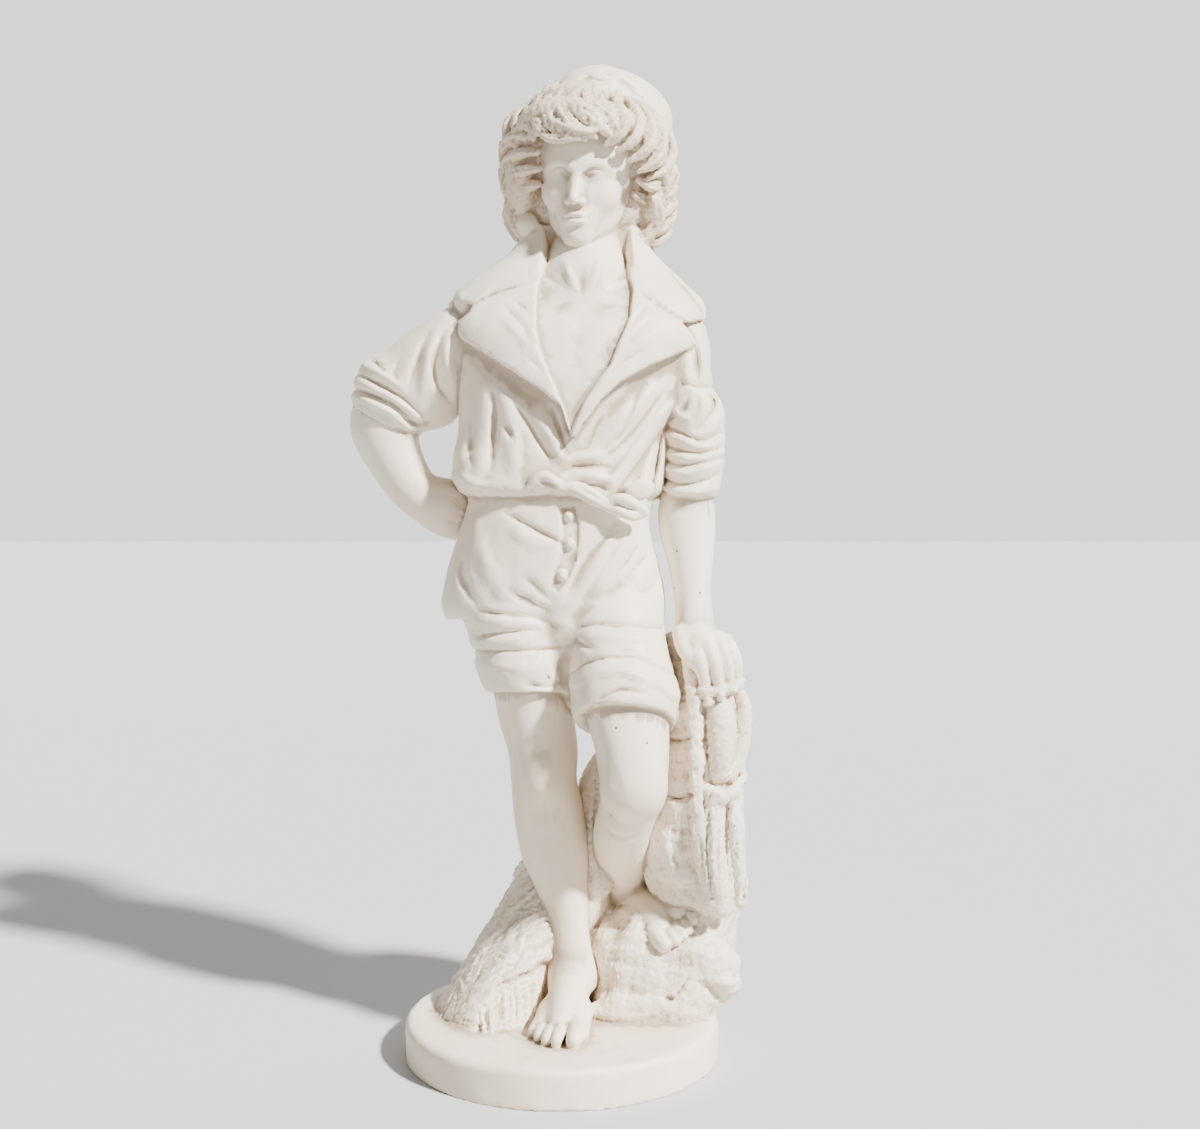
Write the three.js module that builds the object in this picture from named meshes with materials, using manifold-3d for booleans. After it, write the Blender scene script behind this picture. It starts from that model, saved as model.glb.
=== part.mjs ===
import * as THREE from 'three';
import { mergeVertices } from 'three/addons/utils/BufferGeometryUtils.js';
import Module from 'manifold-3d';

// Marble statue of a barefoot country boy in rolled shirt sleeves and short trousers.
// One hand rests on the hip, the other on a stump; figure, stump, netting and round
// plinth are carved from one block. Sizes in millimetres, +Z up, +X to the viewer's
// right, origin at the middle of the plinth's underside.

// Driving sizes
const FIGURE_HEIGHT = 1063;
const PLINTH_RADIUS = 176.5;
const PLINTH_HEIGHT = 44;
const PLINTH_EDGE = 9;
const PLINTH_FOOT_EDGE = 1.5;
const CELL = 5;
const HEAD_CELL = 3.4;
const TRIANGLES = 8700;

// Proportions of the figure are set out for this height and scaled to FIGURE_HEIGHT.
const DRAWN_HEIGHT = 1063;
// The figure is set out on an upright drawing plane, seen from a viewpoint in front of it.
// Control points are [across, up, depth]: their place on the drawing and their depth behind it.
const EYE_ACROSS = 43;
const EYE_AWAY = 1884;
const EYE_UP = 657;
// Pose of the head
const HEAD = [28.5, 936, 16];
const HEAD_TURN = -12;
const HEAD_TILT = -2;
// How far the worked block reaches above the head's middle
const HEAD_REACH = 136;
// Hair: the round it lies on, and the fall of its loose locks
const HAIR_CORE = [32.1, 1007.7, 34];
const HAIR_SIZE = [86, 70, 61];
const TIERS = 3;
const TUMBLE_TOP = [31, 1010, 44];
const TUMBLE_DROP = 158;
const TUMBLE_FALL = [0, 0.2, 0.4, 0.65, 0.85, 1];
const TUMBLE_WIDTH = [60, 80, 88, 87, 80, 64];
const TUMBLE_FLATNESS = 0.74;
// Parts of the block below the plinth's top are sunk in it by this much.
const SUNK = 8;
const FAR = 60;
const DEG = Math.PI / 180;

// Spaced stops along one axis: [place, step] pairs, finer where the carving is finer.
function stops(marks) {
  const out = [marks[0][0]];
  for (let i = 0; i + 1 < marks.length; i++) {
    const [a, step] = marks[i];
    const b = marks[i + 1][0];
    const n = Math.max(1, Math.round((b - a) / step));
    for (let j = 1; j <= n; j++) out.push(a + ((b - a) * j) / n);
  }
  return out;
}

const GX = stops([[-264, CELL], [HEAD[0] - 57, HEAD_CELL], [HEAD[0] + 56, CELL], [236]]);
const GH = stops([[-66, CELL], [HEAD[1] - 98, HEAD_CELL], [HEAD[1] + 80, CELL], [HEAD[1] + HEAD_REACH]]);
const GB = stops([[-188, CELL], [HEAD[2] - 82, HEAD_CELL], [HEAD[2] - 8, CELL], [188]]);
const NX = GX.length;
const NH = GH.length;
const NB = GB.length;
const whole = new Float32Array(NX * NH * NB).fill(FAR);
const layer = new Float32Array(NX * NH * NB).fill(FAR);

function firstStop(stopsList, value) {
  let lo = 0;
  let hi = stopsList.length;
  while (lo < hi) {
    const mid = (lo + hi) >> 1;
    if (stopsList[mid] < value) lo = mid + 1;
    else hi = mid;
  }
  return lo;
}

// Runs a rule on every grid point of a box, for the layer being carved.
function each(lo, hi, rule) {
  const [x0, h0, b0] = [firstStop(GX, lo[0]), firstStop(GH, lo[1]), firstStop(GB, lo[2])];
  const [x1, h1, b1] = [firstStop(GX, hi[0]), firstStop(GH, hi[1]), firstStop(GB, hi[2])];
  for (let i = x0; i < x1; i++) {
    for (let j = h0; j < h1; j++) {
      const row = (i * NH + j) * NB;
      for (let k = b0; k < b1; k++) {
        layer[row + k] = rule(layer[row + k], GX[i], GH[j], GB[k]);
      }
    }
  }
}

// Soft joining of two distances; k is how far the fillet reaches.
function blend(a, b, k) {
  const low = Math.min(a, b);
  const h = k - Math.abs(a - b);
  return k > 0 && h > 0 ? low - (h * h * 0.25) / k : low;
}

const grow = (p, m) => p.map((v) => v + m);

function join(shape, k = 0) {
  const m = Math.max(k, 14);
  each(grow(shape.lo, -m), grow(shape.hi, m), (d, x, h, b) => blend(d, shape.at(x, h, b), k));
}

function cut(shape, k = 0) {
  const m = Math.max(k, 6);
  each(grow(shape.lo, -m), grow(shape.hi, m), (d, x, h, b) => -blend(-d, shape.at(x, h, b), k));
}

// Takes away all that lies beyond a plane through p, on the side that n points away from.
function trim(p, n, k = 2) {
  const len = Math.hypot(...n);
  const lo = [GX[0], GH[0], GB[0]];
  const hi = [GX[NX - 1] + 1, GH[NH - 1] + 1, GB[NB - 1] + 1];
  each(lo, hi, (d, x, h, b) => {
    if (d >= FAR) return d;
    const s = ((x - p[0]) * n[0] + (h - p[1]) * n[1] + (b - p[2]) * n[2]) / len;
    return -blend(-d, -s, k);
  });
}

function begin() {
  layer.fill(FAR);
}

function settle(k = 0) {
  for (let i = 0; i < whole.length; i++) {
    if (layer[i] < FAR) whole[i] = blend(whole[i], layer[i], k);
  }
}

// Turning matrix, row by row: roll on the drawing, then pitch, then yaw about the upright.
function turn(roll, yaw, pitch) {
  const m = new THREE.Matrix4().makeRotationY(-yaw * DEG);
  m.multiply(new THREE.Matrix4().makeRotationX(pitch * DEG));
  m.multiply(new THREE.Matrix4().makeRotationZ(roll * DEG));
  const e = m.elements;
  return [[e[0], e[4], e[8]], [e[1], e[5], e[9]], [e[2], e[6], e[10]]];
}

function ball(c, r, roll = 0, yaw = 0, pitch = 0) {
  const m = turn(roll, yaw, pitch);
  const e = m.map((row) => Math.hypot(row[0] * r[0], row[1] * r[1], row[2] * r[2]));
  const at = (x, h, b) => {
    let k0 = 0;
    let k1 = 0;
    for (let i = 0; i < 3; i++) {
      const q = ((x - c[0]) * m[0][i] + (h - c[1]) * m[1][i] + (b - c[2]) * m[2][i]) / r[i];
      k0 += q * q;
      k1 += (q / r[i]) ** 2;
    }
    k0 = Math.sqrt(k0) + 1e-6;
    return (k0 * (k0 - 1)) / (Math.sqrt(k1) + 1e-6);
  };
  return { lo: c.map((v, i) => v - e[i]), hi: c.map((v, i) => v + e[i]), at };
}

// Rounds a chain of control points into a smooth run of short steps.
function smooth(points, n = 5) {
  if (points.length < 3) return points;
  const last = points.length - 1;
  const mirror = (p, q) => p.map((v, i) => 2 * v - q[i]);
  const e = [mirror(points[0], points[1]), ...points, mirror(points[last], points[last - 1])];
  const out = [];
  for (let i = 0; i < last; i++) {
    const [a, b, c, d] = e.slice(i, i + 4);
    for (let j = 0; j < n; j++) {
      const t = j / n;
      const mix = (v, k) => 2 * v + (c[k] - a[k]) * t + (2 * a[k] - 5 * v + 4 * c[k] - d[k]) * t * t;
      out.push(b.map((v, k) => 0.5 * (mix(v, k) + (3 * v - a[k] - 3 * c[k] + d[k]) * t ** 3)));
    }
  }
  out.push(points[last]);
  return out;
}

function reach(chain, widths) {
  const lo = [Infinity, Infinity, Infinity];
  const hi = [-Infinity, -Infinity, -Infinity];
  for (const p of chain) {
    for (let i = 0; i < 3; i++) {
      lo[i] = Math.min(lo[i], p[i] - Math.max(...widths.map((w) => p[w])));
      hi[i] = Math.max(hi[i], p[i] + Math.max(...widths.map((w) => p[w])));
    }
  }
  return { lo, hi };
}

// Round limb through [across, up, depth, radius] points.
function limb(points) {
  const p = smooth(points);
  const steps = p.slice(1).map((b, i) => {
    const a = p[i];
    const v = [b[0] - a[0], b[1] - a[1], b[2] - a[2]];
    return [a, v, v[0] ** 2 + v[1] ** 2 + v[2] ** 2 + 1e-9, b[3] - a[3]];
  });
  const at = (x, h, b) => {
    let best = FAR;
    for (const [a, v, vv, dr] of steps) {
      const [px, ph, pb] = [x - a[0], h - a[1], b - a[2]];
      const w = Math.min(1, Math.max(0, (px * v[0] + ph * v[1] + pb * v[2]) / vv));
      const [qx, qh, qb] = [px - w * v[0], ph - w * v[1], pb - w * v[2]];
      best = Math.min(best, Math.sqrt(qx * qx + qh * qh + qb * qb) - a[3] - w * dr);
    }
    return best;
  };
  return { ...reach(p, [3]), at };
}

// Body of changing oval section: rows of [up, left, right, front, back], lowest power = oval.
function loft(rows, power = 2, cap = 4) {
  const r = [...rows].sort((p, q) => p[0] - q[0]);
  const last = r.length - 1;
  const slope = r.map((row, i) => {
    const [a, b] = [r[Math.max(i - 1, 0)], r[Math.min(i + 1, last)]];
    if (i === 0 || i === last) return row.map((v, k) => (b[k] - a[k]) / (b[0] - a[0]));
    const [u, w] = [row[0] - a[0], b[0] - row[0]];
    return row.map((v, k) => (((v - a[k]) / u) * w + ((b[k] - v) / w) * u) / (u + w));
  });
  const section = (h) => {
    const z = Math.min(r[last][0], Math.max(r[0][0], h));
    let i = 0;
    while (i < last - 1 && r[i + 1][0] <= z) i++;
    const w = r[i + 1][0] - r[i][0];
    const t = (z - r[i][0]) / w;
    const [t2, t3] = [t * t, t ** 3];
    return [1, 2, 3, 4].map((k) => {
      const ends = (2 * t3 - 3 * t2 + 1) * r[i][k] + (3 * t2 - 2 * t3) * r[i + 1][k];
      return ends + w * ((t3 - 2 * t2 + t) * slope[i][k] + (t3 - t2) * slope[i + 1][k]);
    });
  };
  const sections = new Map(GH.map((h) => [h, section(h)]));
  const at = (x, h, b) => {
    const [left, right, front, back] = sections.get(h);
    const rx = Math.max((right - left) / 2, 2);
    const rb = Math.max((back - front) / 2, 2);
    const p = Math.abs(x - (left + right) / 2) / rx;
    const q = Math.abs(b - (front + back) / 2) / rb;
    const pp = p ** (power - 1);
    const qq = q ** (power - 1);
    const k0 = (pp * p + qq * q) ** (1 / power) + 1e-6;
    const steep = Math.hypot(pp / rx, qq / rb) / k0 ** (power - 1) + 1e-6;
    const side = power === 2 ? (k0 * (k0 - 1)) / (Math.hypot(p / rx, q / rb) + 1e-6) : (k0 - 1) / steep;
    return -blend(-side, -Math.max(r[0][0] - h, h - r[last][0]), cap);
  };
  const low = (k) => Math.min(...r.map((row) => row[k]));
  const high = (k) => Math.max(...r.map((row) => row[k]));
  join({ lo: [low(1), r[0][0], low(3)], hi: [high(2), r[last][0], high(4)], at });
}

// Raises the layer by a height that depends on the drawing plane only, through a range of depth.
function relief(x0, x1, h0, h1, b0, b1, height) {
  const [kStart, kEnd] = [firstStop(GB, b0), firstStop(GB, b1)];
  for (let i = firstStop(GX, x0); i < firstStop(GX, x1); i++) {
    for (let j = firstStop(GH, h0); j < firstStop(GH, h1); j++) {
      const v = height(GX[i], GH[j]);
      const row = (i * NH + j) * NB;
      for (let k = kStart; v !== 0 && k < kEnd; k++) layer[row + k] -= v;
    }
  }
}

function lineDistance(x, h, a, b) {
  const [vx, vh] = [b[0] - a[0], b[1] - a[1]];
  const w = Math.min(1, Math.max(0, ((x - a[0]) * vx + (h - a[1]) * vh) / (vx * vx + vh * vh + 1e-9)));
  return [Math.hypot(x - a[0] - w * vx, h - a[1] - w * vh), w];
}

// Fold of cloth: raised or sunk line of [across, up, half width, height] points.
function fold(points, b0 = -190, b1 = 190) {
  const p = smooth(points, 4);
  const m = Math.max(...p.map((q) => q[2]));
  const xs = p.map((q) => q[0]);
  const hs = p.map((q) => q[1]);
  const height = (x, h) => {
    let out = 0;
    for (let i = 0; i + 1 < p.length; i++) {
      const [a, b] = [p[i], p[i + 1]];
      const [d, w] = lineDistance(x, h, a, b);
      const s = 1 - (d / (a[2] + w * (b[2] - a[2]))) ** 2;
      const q = s > 0 ? s * s * (a[3] + w * (b[3] - a[3])) : 0;
      if (Math.abs(q) > Math.abs(out)) out = q;
    }
    return out;
  };
  const [x0, x1] = [Math.min(...xs) - m, Math.max(...xs) + m];
  relief(x0, x1, Math.min(...hs) - m, Math.max(...hs) + m, b0, b1, height);
}

// Area of the drawing raised or sunk by an even height, with an edge of given softness.
function patch(outline, height, edge, b0 = -190, b1 = 190) {
  const xs = outline.map((q) => q[0]);
  const hs = outline.map((q) => q[1]);
  const rise = (x, h) => {
    let near = Infinity;
    let inside = false;
    for (let i = 0; i < outline.length; i++) {
      const [a, b] = [outline[i], outline[(i + 1) % outline.length]];
      near = Math.min(near, lineDistance(x, h, a, b)[0]);
      const crosses = a[1] > h !== b[1] > h;
      if (crosses && x < ((b[0] - a[0]) * (h - a[1])) / (b[1] - a[1]) + a[0]) inside = !inside;
    }
    const t = Math.min(1, Math.max(0, (inside ? near : -near) / edge + 0.5));
    return height * t * t * (3 - 2 * t);
  };
  const [x0, x1] = [Math.min(...xs) - edge, Math.max(...xs) + edge];
  relief(x0, x1, Math.min(...hs) - edge, Math.max(...hs) + edge, b0, b1, rise);
}

// Places of the head's own frame, taken through its turn and tilt.
function onHead(points) {
  const m = turn(HEAD_TILT, HEAD_TURN, 0);
  const set = (p) => m.map((row, i) => row[0] * p[0] + row[1] * p[1] + row[2] * p[2] + HEAD[i]);
  return points.map((p) => [...set(p), ...p.slice(3)]);
}

const headBall = (c, r, roll = 0, yaw = 0, pitch = 0) =>
  ball(onHead([c])[0], r, roll + HEAD_TILT, yaw + HEAD_TURN, pitch);

const headLimb = (points) => limb(onHead(points));

// Even scatter between 0 and 1, the same every time.
function chance(n) {
  const v = Math.sin(n * 12.9898) * 43758.5453;
  return v - Math.floor(v);
}

const sum = (...terms) => terms[0][1].map((v, i) => terms.reduce((t, [w, p]) => t + w * p[i], 0));

function along(line, t) {
  const q = t * (line.length - 1);
  const i = Math.min(Math.floor(q), line.length - 2);
  return sum([1 - (q - i), line[i]], [q - i, line[i + 1]]);
}

// One lock of hair through [across, up, depth, radius] points.
const bundle = (chain) => join(limb(chain), 1.5);

// Lock drawn over the hair as [across, up, height over the core, radius] points.
function lock(points) {
  bundle(
    points.map(([x, h, out, r]) => {
      const over = ((x - HAIR_CORE[0]) / HAIR_SIZE[0]) ** 2 + ((h - HAIR_CORE[1]) / HAIR_SIZE[1]) ** 2;
      return [x, h, HAIR_CORE[2] - HAIR_SIZE[2] * Math.sqrt(Math.max(1 - over, 0)) - out, r];
    }),
  );
}

// Width of the falling hair at a share t of its drop.
function tumbleWidth(t) {
  const i = Math.min(TUMBLE_FALL.filter((v) => v <= t).length, TUMBLE_FALL.length - 1);
  const w = (t - TUMBLE_FALL[i - 1]) / (TUMBLE_FALL[i] - TUMBLE_FALL[i - 1]);
  return TUMBLE_WIDTH[i - 1] + (TUMBLE_WIDTH[i] - TUMBLE_WIDTH[i - 1]) * Math.min(w, 1);
}

// Three tiers of falling locks around the head, from one bearing to another in degrees.
function tumble(start, stop, count, r) {
  for (let i = 0; i < count * TIERS; i++) {
    const [tier, column] = [i % TIERS, Math.floor(i / TIERS)];
    const a = (Math.PI / 180) * (start + ((stop - start) * (column + 0.3 + 0.4 * chance(i))) / count);
    const sway = 0.06 + 0.1 * chance(i + 0.4);
    const chain = [0, 1, 2, 3, 4].map((k) => {
      const t = (tier + 0.34 * k + 0.25 * chance(i + 0.8)) / (TIERS + 0.4);
      const wide = tumbleWidth(t) + 3 * Math.sin(k * 1.57);
      const turned = a + sway * Math.sin(k * 1.5 + 2 * Math.PI * chance(i + 0.1));
      return [
        TUMBLE_TOP[0] + wide * Math.cos(turned),
        TUMBLE_TOP[1] - TUMBLE_DROP * t,
        TUMBLE_TOP[2] + wide * TUMBLE_FLATNESS * Math.sin(turned),
        r * (0.55 + 0.45 * Math.sin(0.6 + k * 0.6)),
      ];
    });
    bundle(chain);
  }
}

// Broad grooves between two guide lines, one for every three fine strokes of the finished surface.
function grooves(starts, ends, count, width, height, seed) {
  const broad = Math.max(2, Math.round(count / 3));
  for (let i = 0; i < broad; i++) {
    const t = (i + 0.5) / broad;
    const a = along(starts, t);
    const c = along(ends, Math.min(1, t + (0.2 * chance(seed + i)) / broad));
    const m = [(a[0] + c[0]) / 2, (a[1] + c[1]) / 2 + width * (chance(seed + i + 0.8) - 0.5)];
    fold([[...a, width, height * 0.4], [...m, 1.6 * width, height], [...c, width, height * 0.4]], -130, 60);
  }
}

// chest, belly and shoulders under the shirt
function shirt() {
  begin();
  loft([
    [819, -40.4, 76, -24, 52],
    [798.3, -91, 126.5, -40, 60],
    [774.3, -115.3, 146.4, -52, 68],
    [736, -114.5, 144.3, -63, 72],
    [692, -112.6, 131.3, -67, 72],
    [648, -111.7, 120.4, -65, 66],
    [619.5, -118.6, 117, -67, 62],
    [595, -115.4, 117, -69, 58],
    [578.5, -101, 106, -62, 54]], 2.4, 10);
  // open front, cut down to the skin
  patch([
    [-14, 843], [-23, 823.3], [-27.3, 801.5], [-27.4, 769], [-23, 747], [-10, 714], [1, 689],
    [8.7, 657], [26.5, 692], [43, 716.3], [54, 730.6], [67, 763.4], [76, 785], [79, 812.4],
    [73.7, 834], [67, 883], [-1, 883],
  ], -4, 6, -120, 0);
  // long soft folds of the blouse falling to the waist
  fold([
    [-102.6, 701, 8, 1], [-108.3, 661.4, 12, 4], [-112, 628.3, 13, 6], [-105.4, 599.6, 10, 3],
  ], -120, 40);
  fold([
    [-85, 707.6, 8, 1], [-88.4, 670, 14, 3], [-93, 631.6, 17, 5], [-96.6, 597.4, 13, 3],
  ], -120, 0);
  fold([[-77, 710, 5, -1], [-73, 679, 7, -4], [-75.3, 642.7, 6, -5], [-77.6, 615, 4, -1]], -120, 0);
  fold([[-63, 710, 8, 1], [-58.6, 674.6, 14, 4], [-54.3, 637, 15, 4], [-52, 608.4, 10, 1]], -120, 0);
  fold([[-52, 688, 3, -1], [-38.7, 670, 5, -4], [-25.5, 647, 5, -4], [-11, 625, 3, -1]], -120, 0);
  fold([[-34, 696.6, 8, 1], [-17.7, 666, 12, 5], [-4.5, 639.4, 11, 5], [6.5, 621.7, 7, 1]], -120, 0);
  fold([[-11, 683.4, 4, -1], [-2.3, 657, 5, -4], [5.4, 635, 4, -2]], -120, 0);
  fold([[-65, 670, 4, 0], [-57.5, 657, 6, -4.5], [-52, 644, 4, 0]], -120, 0);
  fold([[-96, 659, 4, 0], [-101, 635, 5, -2], [-96.5, 615, 4, 0]], -120, 0);
  fold([[104.7, 718.5, 7, 1], [84, 688, 12, 4], [57.4, 657, 12, 4], [32, 634, 8, 1]], -120, 0);
  fold([[90.4, 710, 3, -1], [76, 679, 5, -4], [63, 652.6, 4, -1]], -120, 0);
  fold([[71.7, 710, 6, 1], [49.6, 685.6, 10, 4], [29.7, 659, 9, 3], [18.7, 641.6, 6, 0]], -120, 0);
  fold([[49.6, 679, 3, 0], [38.6, 662.5, 4, -3.5], [29.7, 641.6, 3, 0]], -120, 0);
  fold([[111.4, 701, 4, -1], [92.7, 673.5, 5, -4], [68.4, 646, 5, -4], [44, 625, 4, -1]], -120, 0);
  fold([[80.5, 672.4, 3, 0], [63, 651.5, 3.5, -2.5], [46.3, 637, 3, 0]], -120, 0);
  // the cloth falls back under the lapels
  fold([
    [-104.5, 751.4, 12, -3], [-67, 720.7, 17, -8], [-27.6, 690, 17, -8], [-1, 659, 12, -3],
  ], -120, 20);
  fold([
    [135.5, 734, 12, -3], [98, 714, 16, -7], [56, 683.4, 15, -7], [27.5, 652.6, 10, -2],
  ], -120, 20);
  // the front laps over, its edge slanting down to the waist knot
  patch([
    [153, 716.3], [140, 699], [123.6, 678], [105, 652.6], [86, 627], [68.5, 604], [53, 578.5],
    [87.4, 565], [143, 565], [160.3, 615],
  ], -9, 3.5, -120, 10);
  fold([
    [133.4, 702, 6, 1], [115, 679, 8, 4], [96, 653.7, 8, 4], [77.3, 628.3, 8, 4],
    [58.5, 603, 8, 3], [46.3, 585, 6, 1],
  ], -120, 0);
  fold([[118, 666, 7, 2], [114, 631.6, 11, 9], [105, 590.7, 11, 8]], -120, 10);
  fold([[104, 641.6, 5, 1], [96, 613, 8, 6], [84, 584, 8, 4]], -120, 0);
  fold([[110.4, 652.6, 3, -1], [105, 617.3, 4, -5], [96, 579.6, 3, -2]], -120, 0);
  // soft cross folds gathered over the waist
  fold([[-5.7, 625, 6, 1], [21, 629.4, 9, 5], [47.4, 631.6, 8, 2]], -120, 0);
  fold([[-1.3, 615, 4, -1], [26.4, 619.5, 5, -4], [54, 619.5, 4, -1]], -120, 0);
  fold([[1, 606, 6, 1], [32, 609.5, 9, 6], [56.3, 604, 7, 2]], -120, 0);
  fold([[12, 595, 4, -1], [38.6, 597.4, 5, -4], [56.3, 590.7, 4, -1]], -120, 0);
  fold([[-117.5, 608.4, 9, 5], [-92, 597.4, 12, 3], [-54.5, 595, 12, 2], [-18, 593, 9, 1]], -120, 20);
  fold([[-93, 613, 3, 0], [-89, 588.5, 4, -2]], -120, 10);
  fold([[-67.7, 604, 3, 0], [-59, 586.3, 3, -2]], -120, 0);
  fold([[-44.5, 610.6, 3, 0], [-32.3, 590.7, 3, -2]], -120, 0);
  fold([
    [-112, 588.5, 3, -3], [-85.6, 583, 4, -5], [-48, 584, 4, -6], [-14.6, 585, 4, -6],
    [12, 582, 4, -6], [43, 571, 4, -6], [104, 569.7, 4, -4],
  ], -120, 20);
  // shoulder cloth seen in the collar's notch
  join(ball([-103, 798.3, 24], [16, 18, 44], 0, 0, 0), 14);
  // folds down the back
  fold([[-70, 800, 10, 2], [-50, 720, 14, 6], [-60, 610, 14, 5]], 20, 190);
  fold([[-20, 800, 10, -2], [-10, 700, 12, -5], [0, 605, 12, -4]], 20, 190);
  fold([[90, 800, 10, 2], [60, 700, 14, 6], [50, 605, 14, 5]], 20, 190);
  fold([[40, 780, 10, -2], [30, 700, 10, -5], [25, 600, 12, -4]], 20, 190);
  settle(0);
}

// knotted roll of the shirt at the waist
function knot() {
  begin();
  join(limb([
    [-37, 596.3, -69, 3], [-28, 606, -72, 5], [-18, 609.5, -73, 5.4], [-8, 603, -73, 5],
    [-2.4, 594, -70, 4],
  ]), 4);
  join(ball([-19, 599.6, -68], [15, 7, 6], -8, 0, 0), 5);
  join(limb([[-5.7, 600.7, -64, 5], [13, 595, -67, 8], [33, 586.3, -68, 9], [52, 575, -67, 6]]), 9);
  join(ball([87.3, 593, -52], [17, 12, 6], 20, 0, 0), 14);
  join(limb([
    [51, 576.3, -66, 4], [59.6, 583, -70, 5.5], [73, 582, -70, 6.4], [84, 575, -67, 6],
    [93, 568.6, -60, 5],
  ]), 3);
  join(limb([
    [53, 572, -66, 4], [66.3, 568.6, -69, 6], [79.6, 564, -66, 6], [90.7, 566.3, -58, 4],
  ]), 4);
  join(ball([72, 574, -66], [16, 6, 6], -16, 0, 0), 5);
  fold([[60.7, 577.4, 2.5, -1], [74, 572, 3, -3], [88.5, 569.7, 2.5, -1]], -120, 0);
  fold([[-23.4, 600.7, 2, -1], [-10, 598.5, 2.5, -3], [1, 589.6, 2, -1]], -120, 0);
  fold([[15.3, 597.4, 3, -1], [34, 587.4, 3, -3], [49.7, 578.5, 3, -1]], -120, 0);
  settle(3);
}

// collar and lapels lying open over the shoulders
function collar() {
  begin();
  loft([
    [882, -33.6, 87, -4, 58],
    [856, -53.4, 100, -20, 62],
    [821, -99.7, 135, -40, 70],
    [798.3, -122, 157, -52, 76],
    [774.3, -126.3, 159.5, -68, 78],
    [736, -120, 153, -78, 78],
    [692, -105, 142.3, -83, 74],
    [648, -89.6, 131.4, -81, 70]], 2.3, 4);
  // cut to the outline of the cloth in front
  patch([
    [-132, 910], [-27, 884], [-26, 878.6], [-99.6, 823.3], [-118.4, 811.3], [-119.5, 806],
    [-98.7, 796], [-101, 789.6], [-113, 778.7], [-114.3, 767.7], [-109, 757], [-89, 746],
    [-67, 731.7], [-45, 717.4], [-23, 703], [-1, 685.6], [11, 651.5], [16.5, 651.5], [24, 664.7],
    [45, 692], [65, 711], [98, 729.5], [122.3, 739.3], [140, 747], [149.7, 753.5], [144, 764.5],
    [135.4, 776.5], [159.5, 778.7], [157.3, 786.3], [147.3, 799.4], [131, 819], [109, 848],
    [88, 864.5], [86.7, 910], [218, 910], [220, 626], [-178.3, 626], [-175.7, 910],
  ], -60, 3, -200, 4);
  // bare breast in the open front, a little under the cloth
  patch([
    [-14, 893.7], [-14, 839.6], [-23, 823.3], [-27.3, 801.5], [-27.4, 769], [-23, 747], [-10, 714],
    [1, 689], [11, 657], [26.5, 692], [43, 716.3], [54, 730.6], [67, 763.4], [76, 785],
    [79, 812.4], [73.7, 834], [67, 883], [67, 893.7],
  ], -8, 2.2, -200, 8);
  patch([
    [-10.5, 931.4], [-10.7, 847], [-13, 834], [4.6, 825.5], [43, 824.4], [66, 832], [70.4, 840.7],
    [66, 883], [66, 931.4],
  ], -60, 24, -200, 8);
  fold([[-8.6, 801.5, 9, 1], [8, 806, 8, 2.4], [21, 801.5, 6, 0.5]], -120, 0);
  fold([[27.6, 801.5, 6, 0.5], [43, 805, 8, 2.4], [63, 799.4, 9, 1]], -120, 0);
  fold([[24.3, 788.5, 10, 0], [21, 758, 12, -1.4], [15.5, 723, 9, 0]], -120, 0);
  // back of the collar
  patch([
    [-140, 1000], [-140, 852], [-134, 812], [-122, 790], [-60, 766], [40, 756], [140, 762],
    [160, 780], [170, 812], [176, 852], [176, 1000], [260, 1000], [260, 560], [-260, 560],
    [-260, 1000],
  ], -60, 3, 4, 200);
  // gorge seams, notches and the pull of the turned lapels
  fold([
    [-100, 794, 3, -4], [-80, 805, 3.5, -4], [-53.6, 814.6, 3.5, -3], [-29.4, 819, 3, 0],
  ], -120, 0);
  fold([
    [137.6, 776.5, 3, -4], [117.7, 788.5, 3.5, -4], [95.7, 803.7, 3.5, -3], [80.3, 821, 3, 0],
  ], -120, 0);
  fold([[-67, 799.4, 3, 0], [-49.3, 782, 4.5, -2.2], [-28.5, 754.6, 3, -0.5]], -120, 0);
  fold([[-58, 806, 3, 0], [-40.5, 793, 4, -2], [-27.4, 777.6, 3, -0.5]], -120, 0);
  fold([[-73.5, 788.5, 4, 0], [-51.6, 769, 6, 1.8], [-27.5, 740.4, 4, 0]], -120, 0);
  fold([[-45, 745, 3, 0], [-29.7, 734, 4, -1.6], [-13, 712, 3, 0]], -120, 0);
  fold([[106.7, 788.5, 3, 0], [89, 771, 4.5, -2.2], [67, 745, 3, -0.5]], -120, 0);
  fold([[98, 797, 3, 0], [85, 784, 4, -2], [72.7, 764.5, 3, -0.5]], -120, 0);
  fold([[113.4, 777.6, 4, 0], [92.5, 758, 6, 1.8], [63, 734, 4, 0]], -120, 0);
  fold([[87, 745, 3, 0], [67, 734, 4, -1.6], [47.4, 710, 3, 0]], -120, 0);
  settle(0);
}

// skin of the neck and breast
function neck() {
  begin();
  join(limb([[32, 910, 24, 38], [29, 866.7, 19, 37], [25.4, 827.6, 5, 46]]), 8);
  join(ball([23, 777.6, 10], [60, 66, 56]), 24);
  join(ball([-37, 884, 26], [13, 15, 24]), 8);
  fold([[3.5, 849.3, 7, 0], [8, 832, 7, 3], [15.6, 814.6, 5, 1]], -120, 0);
  fold([[47.4, 856, 7, 0], [39.7, 834, 7, 3], [31, 814.6, 5, 1]], -120, 0);
  fold([[23.3, 836.3, 7, 0], [23, 821, 7, -3], [23, 810, 6, -1]], -120, 0);
  settle(10);
}

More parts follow.
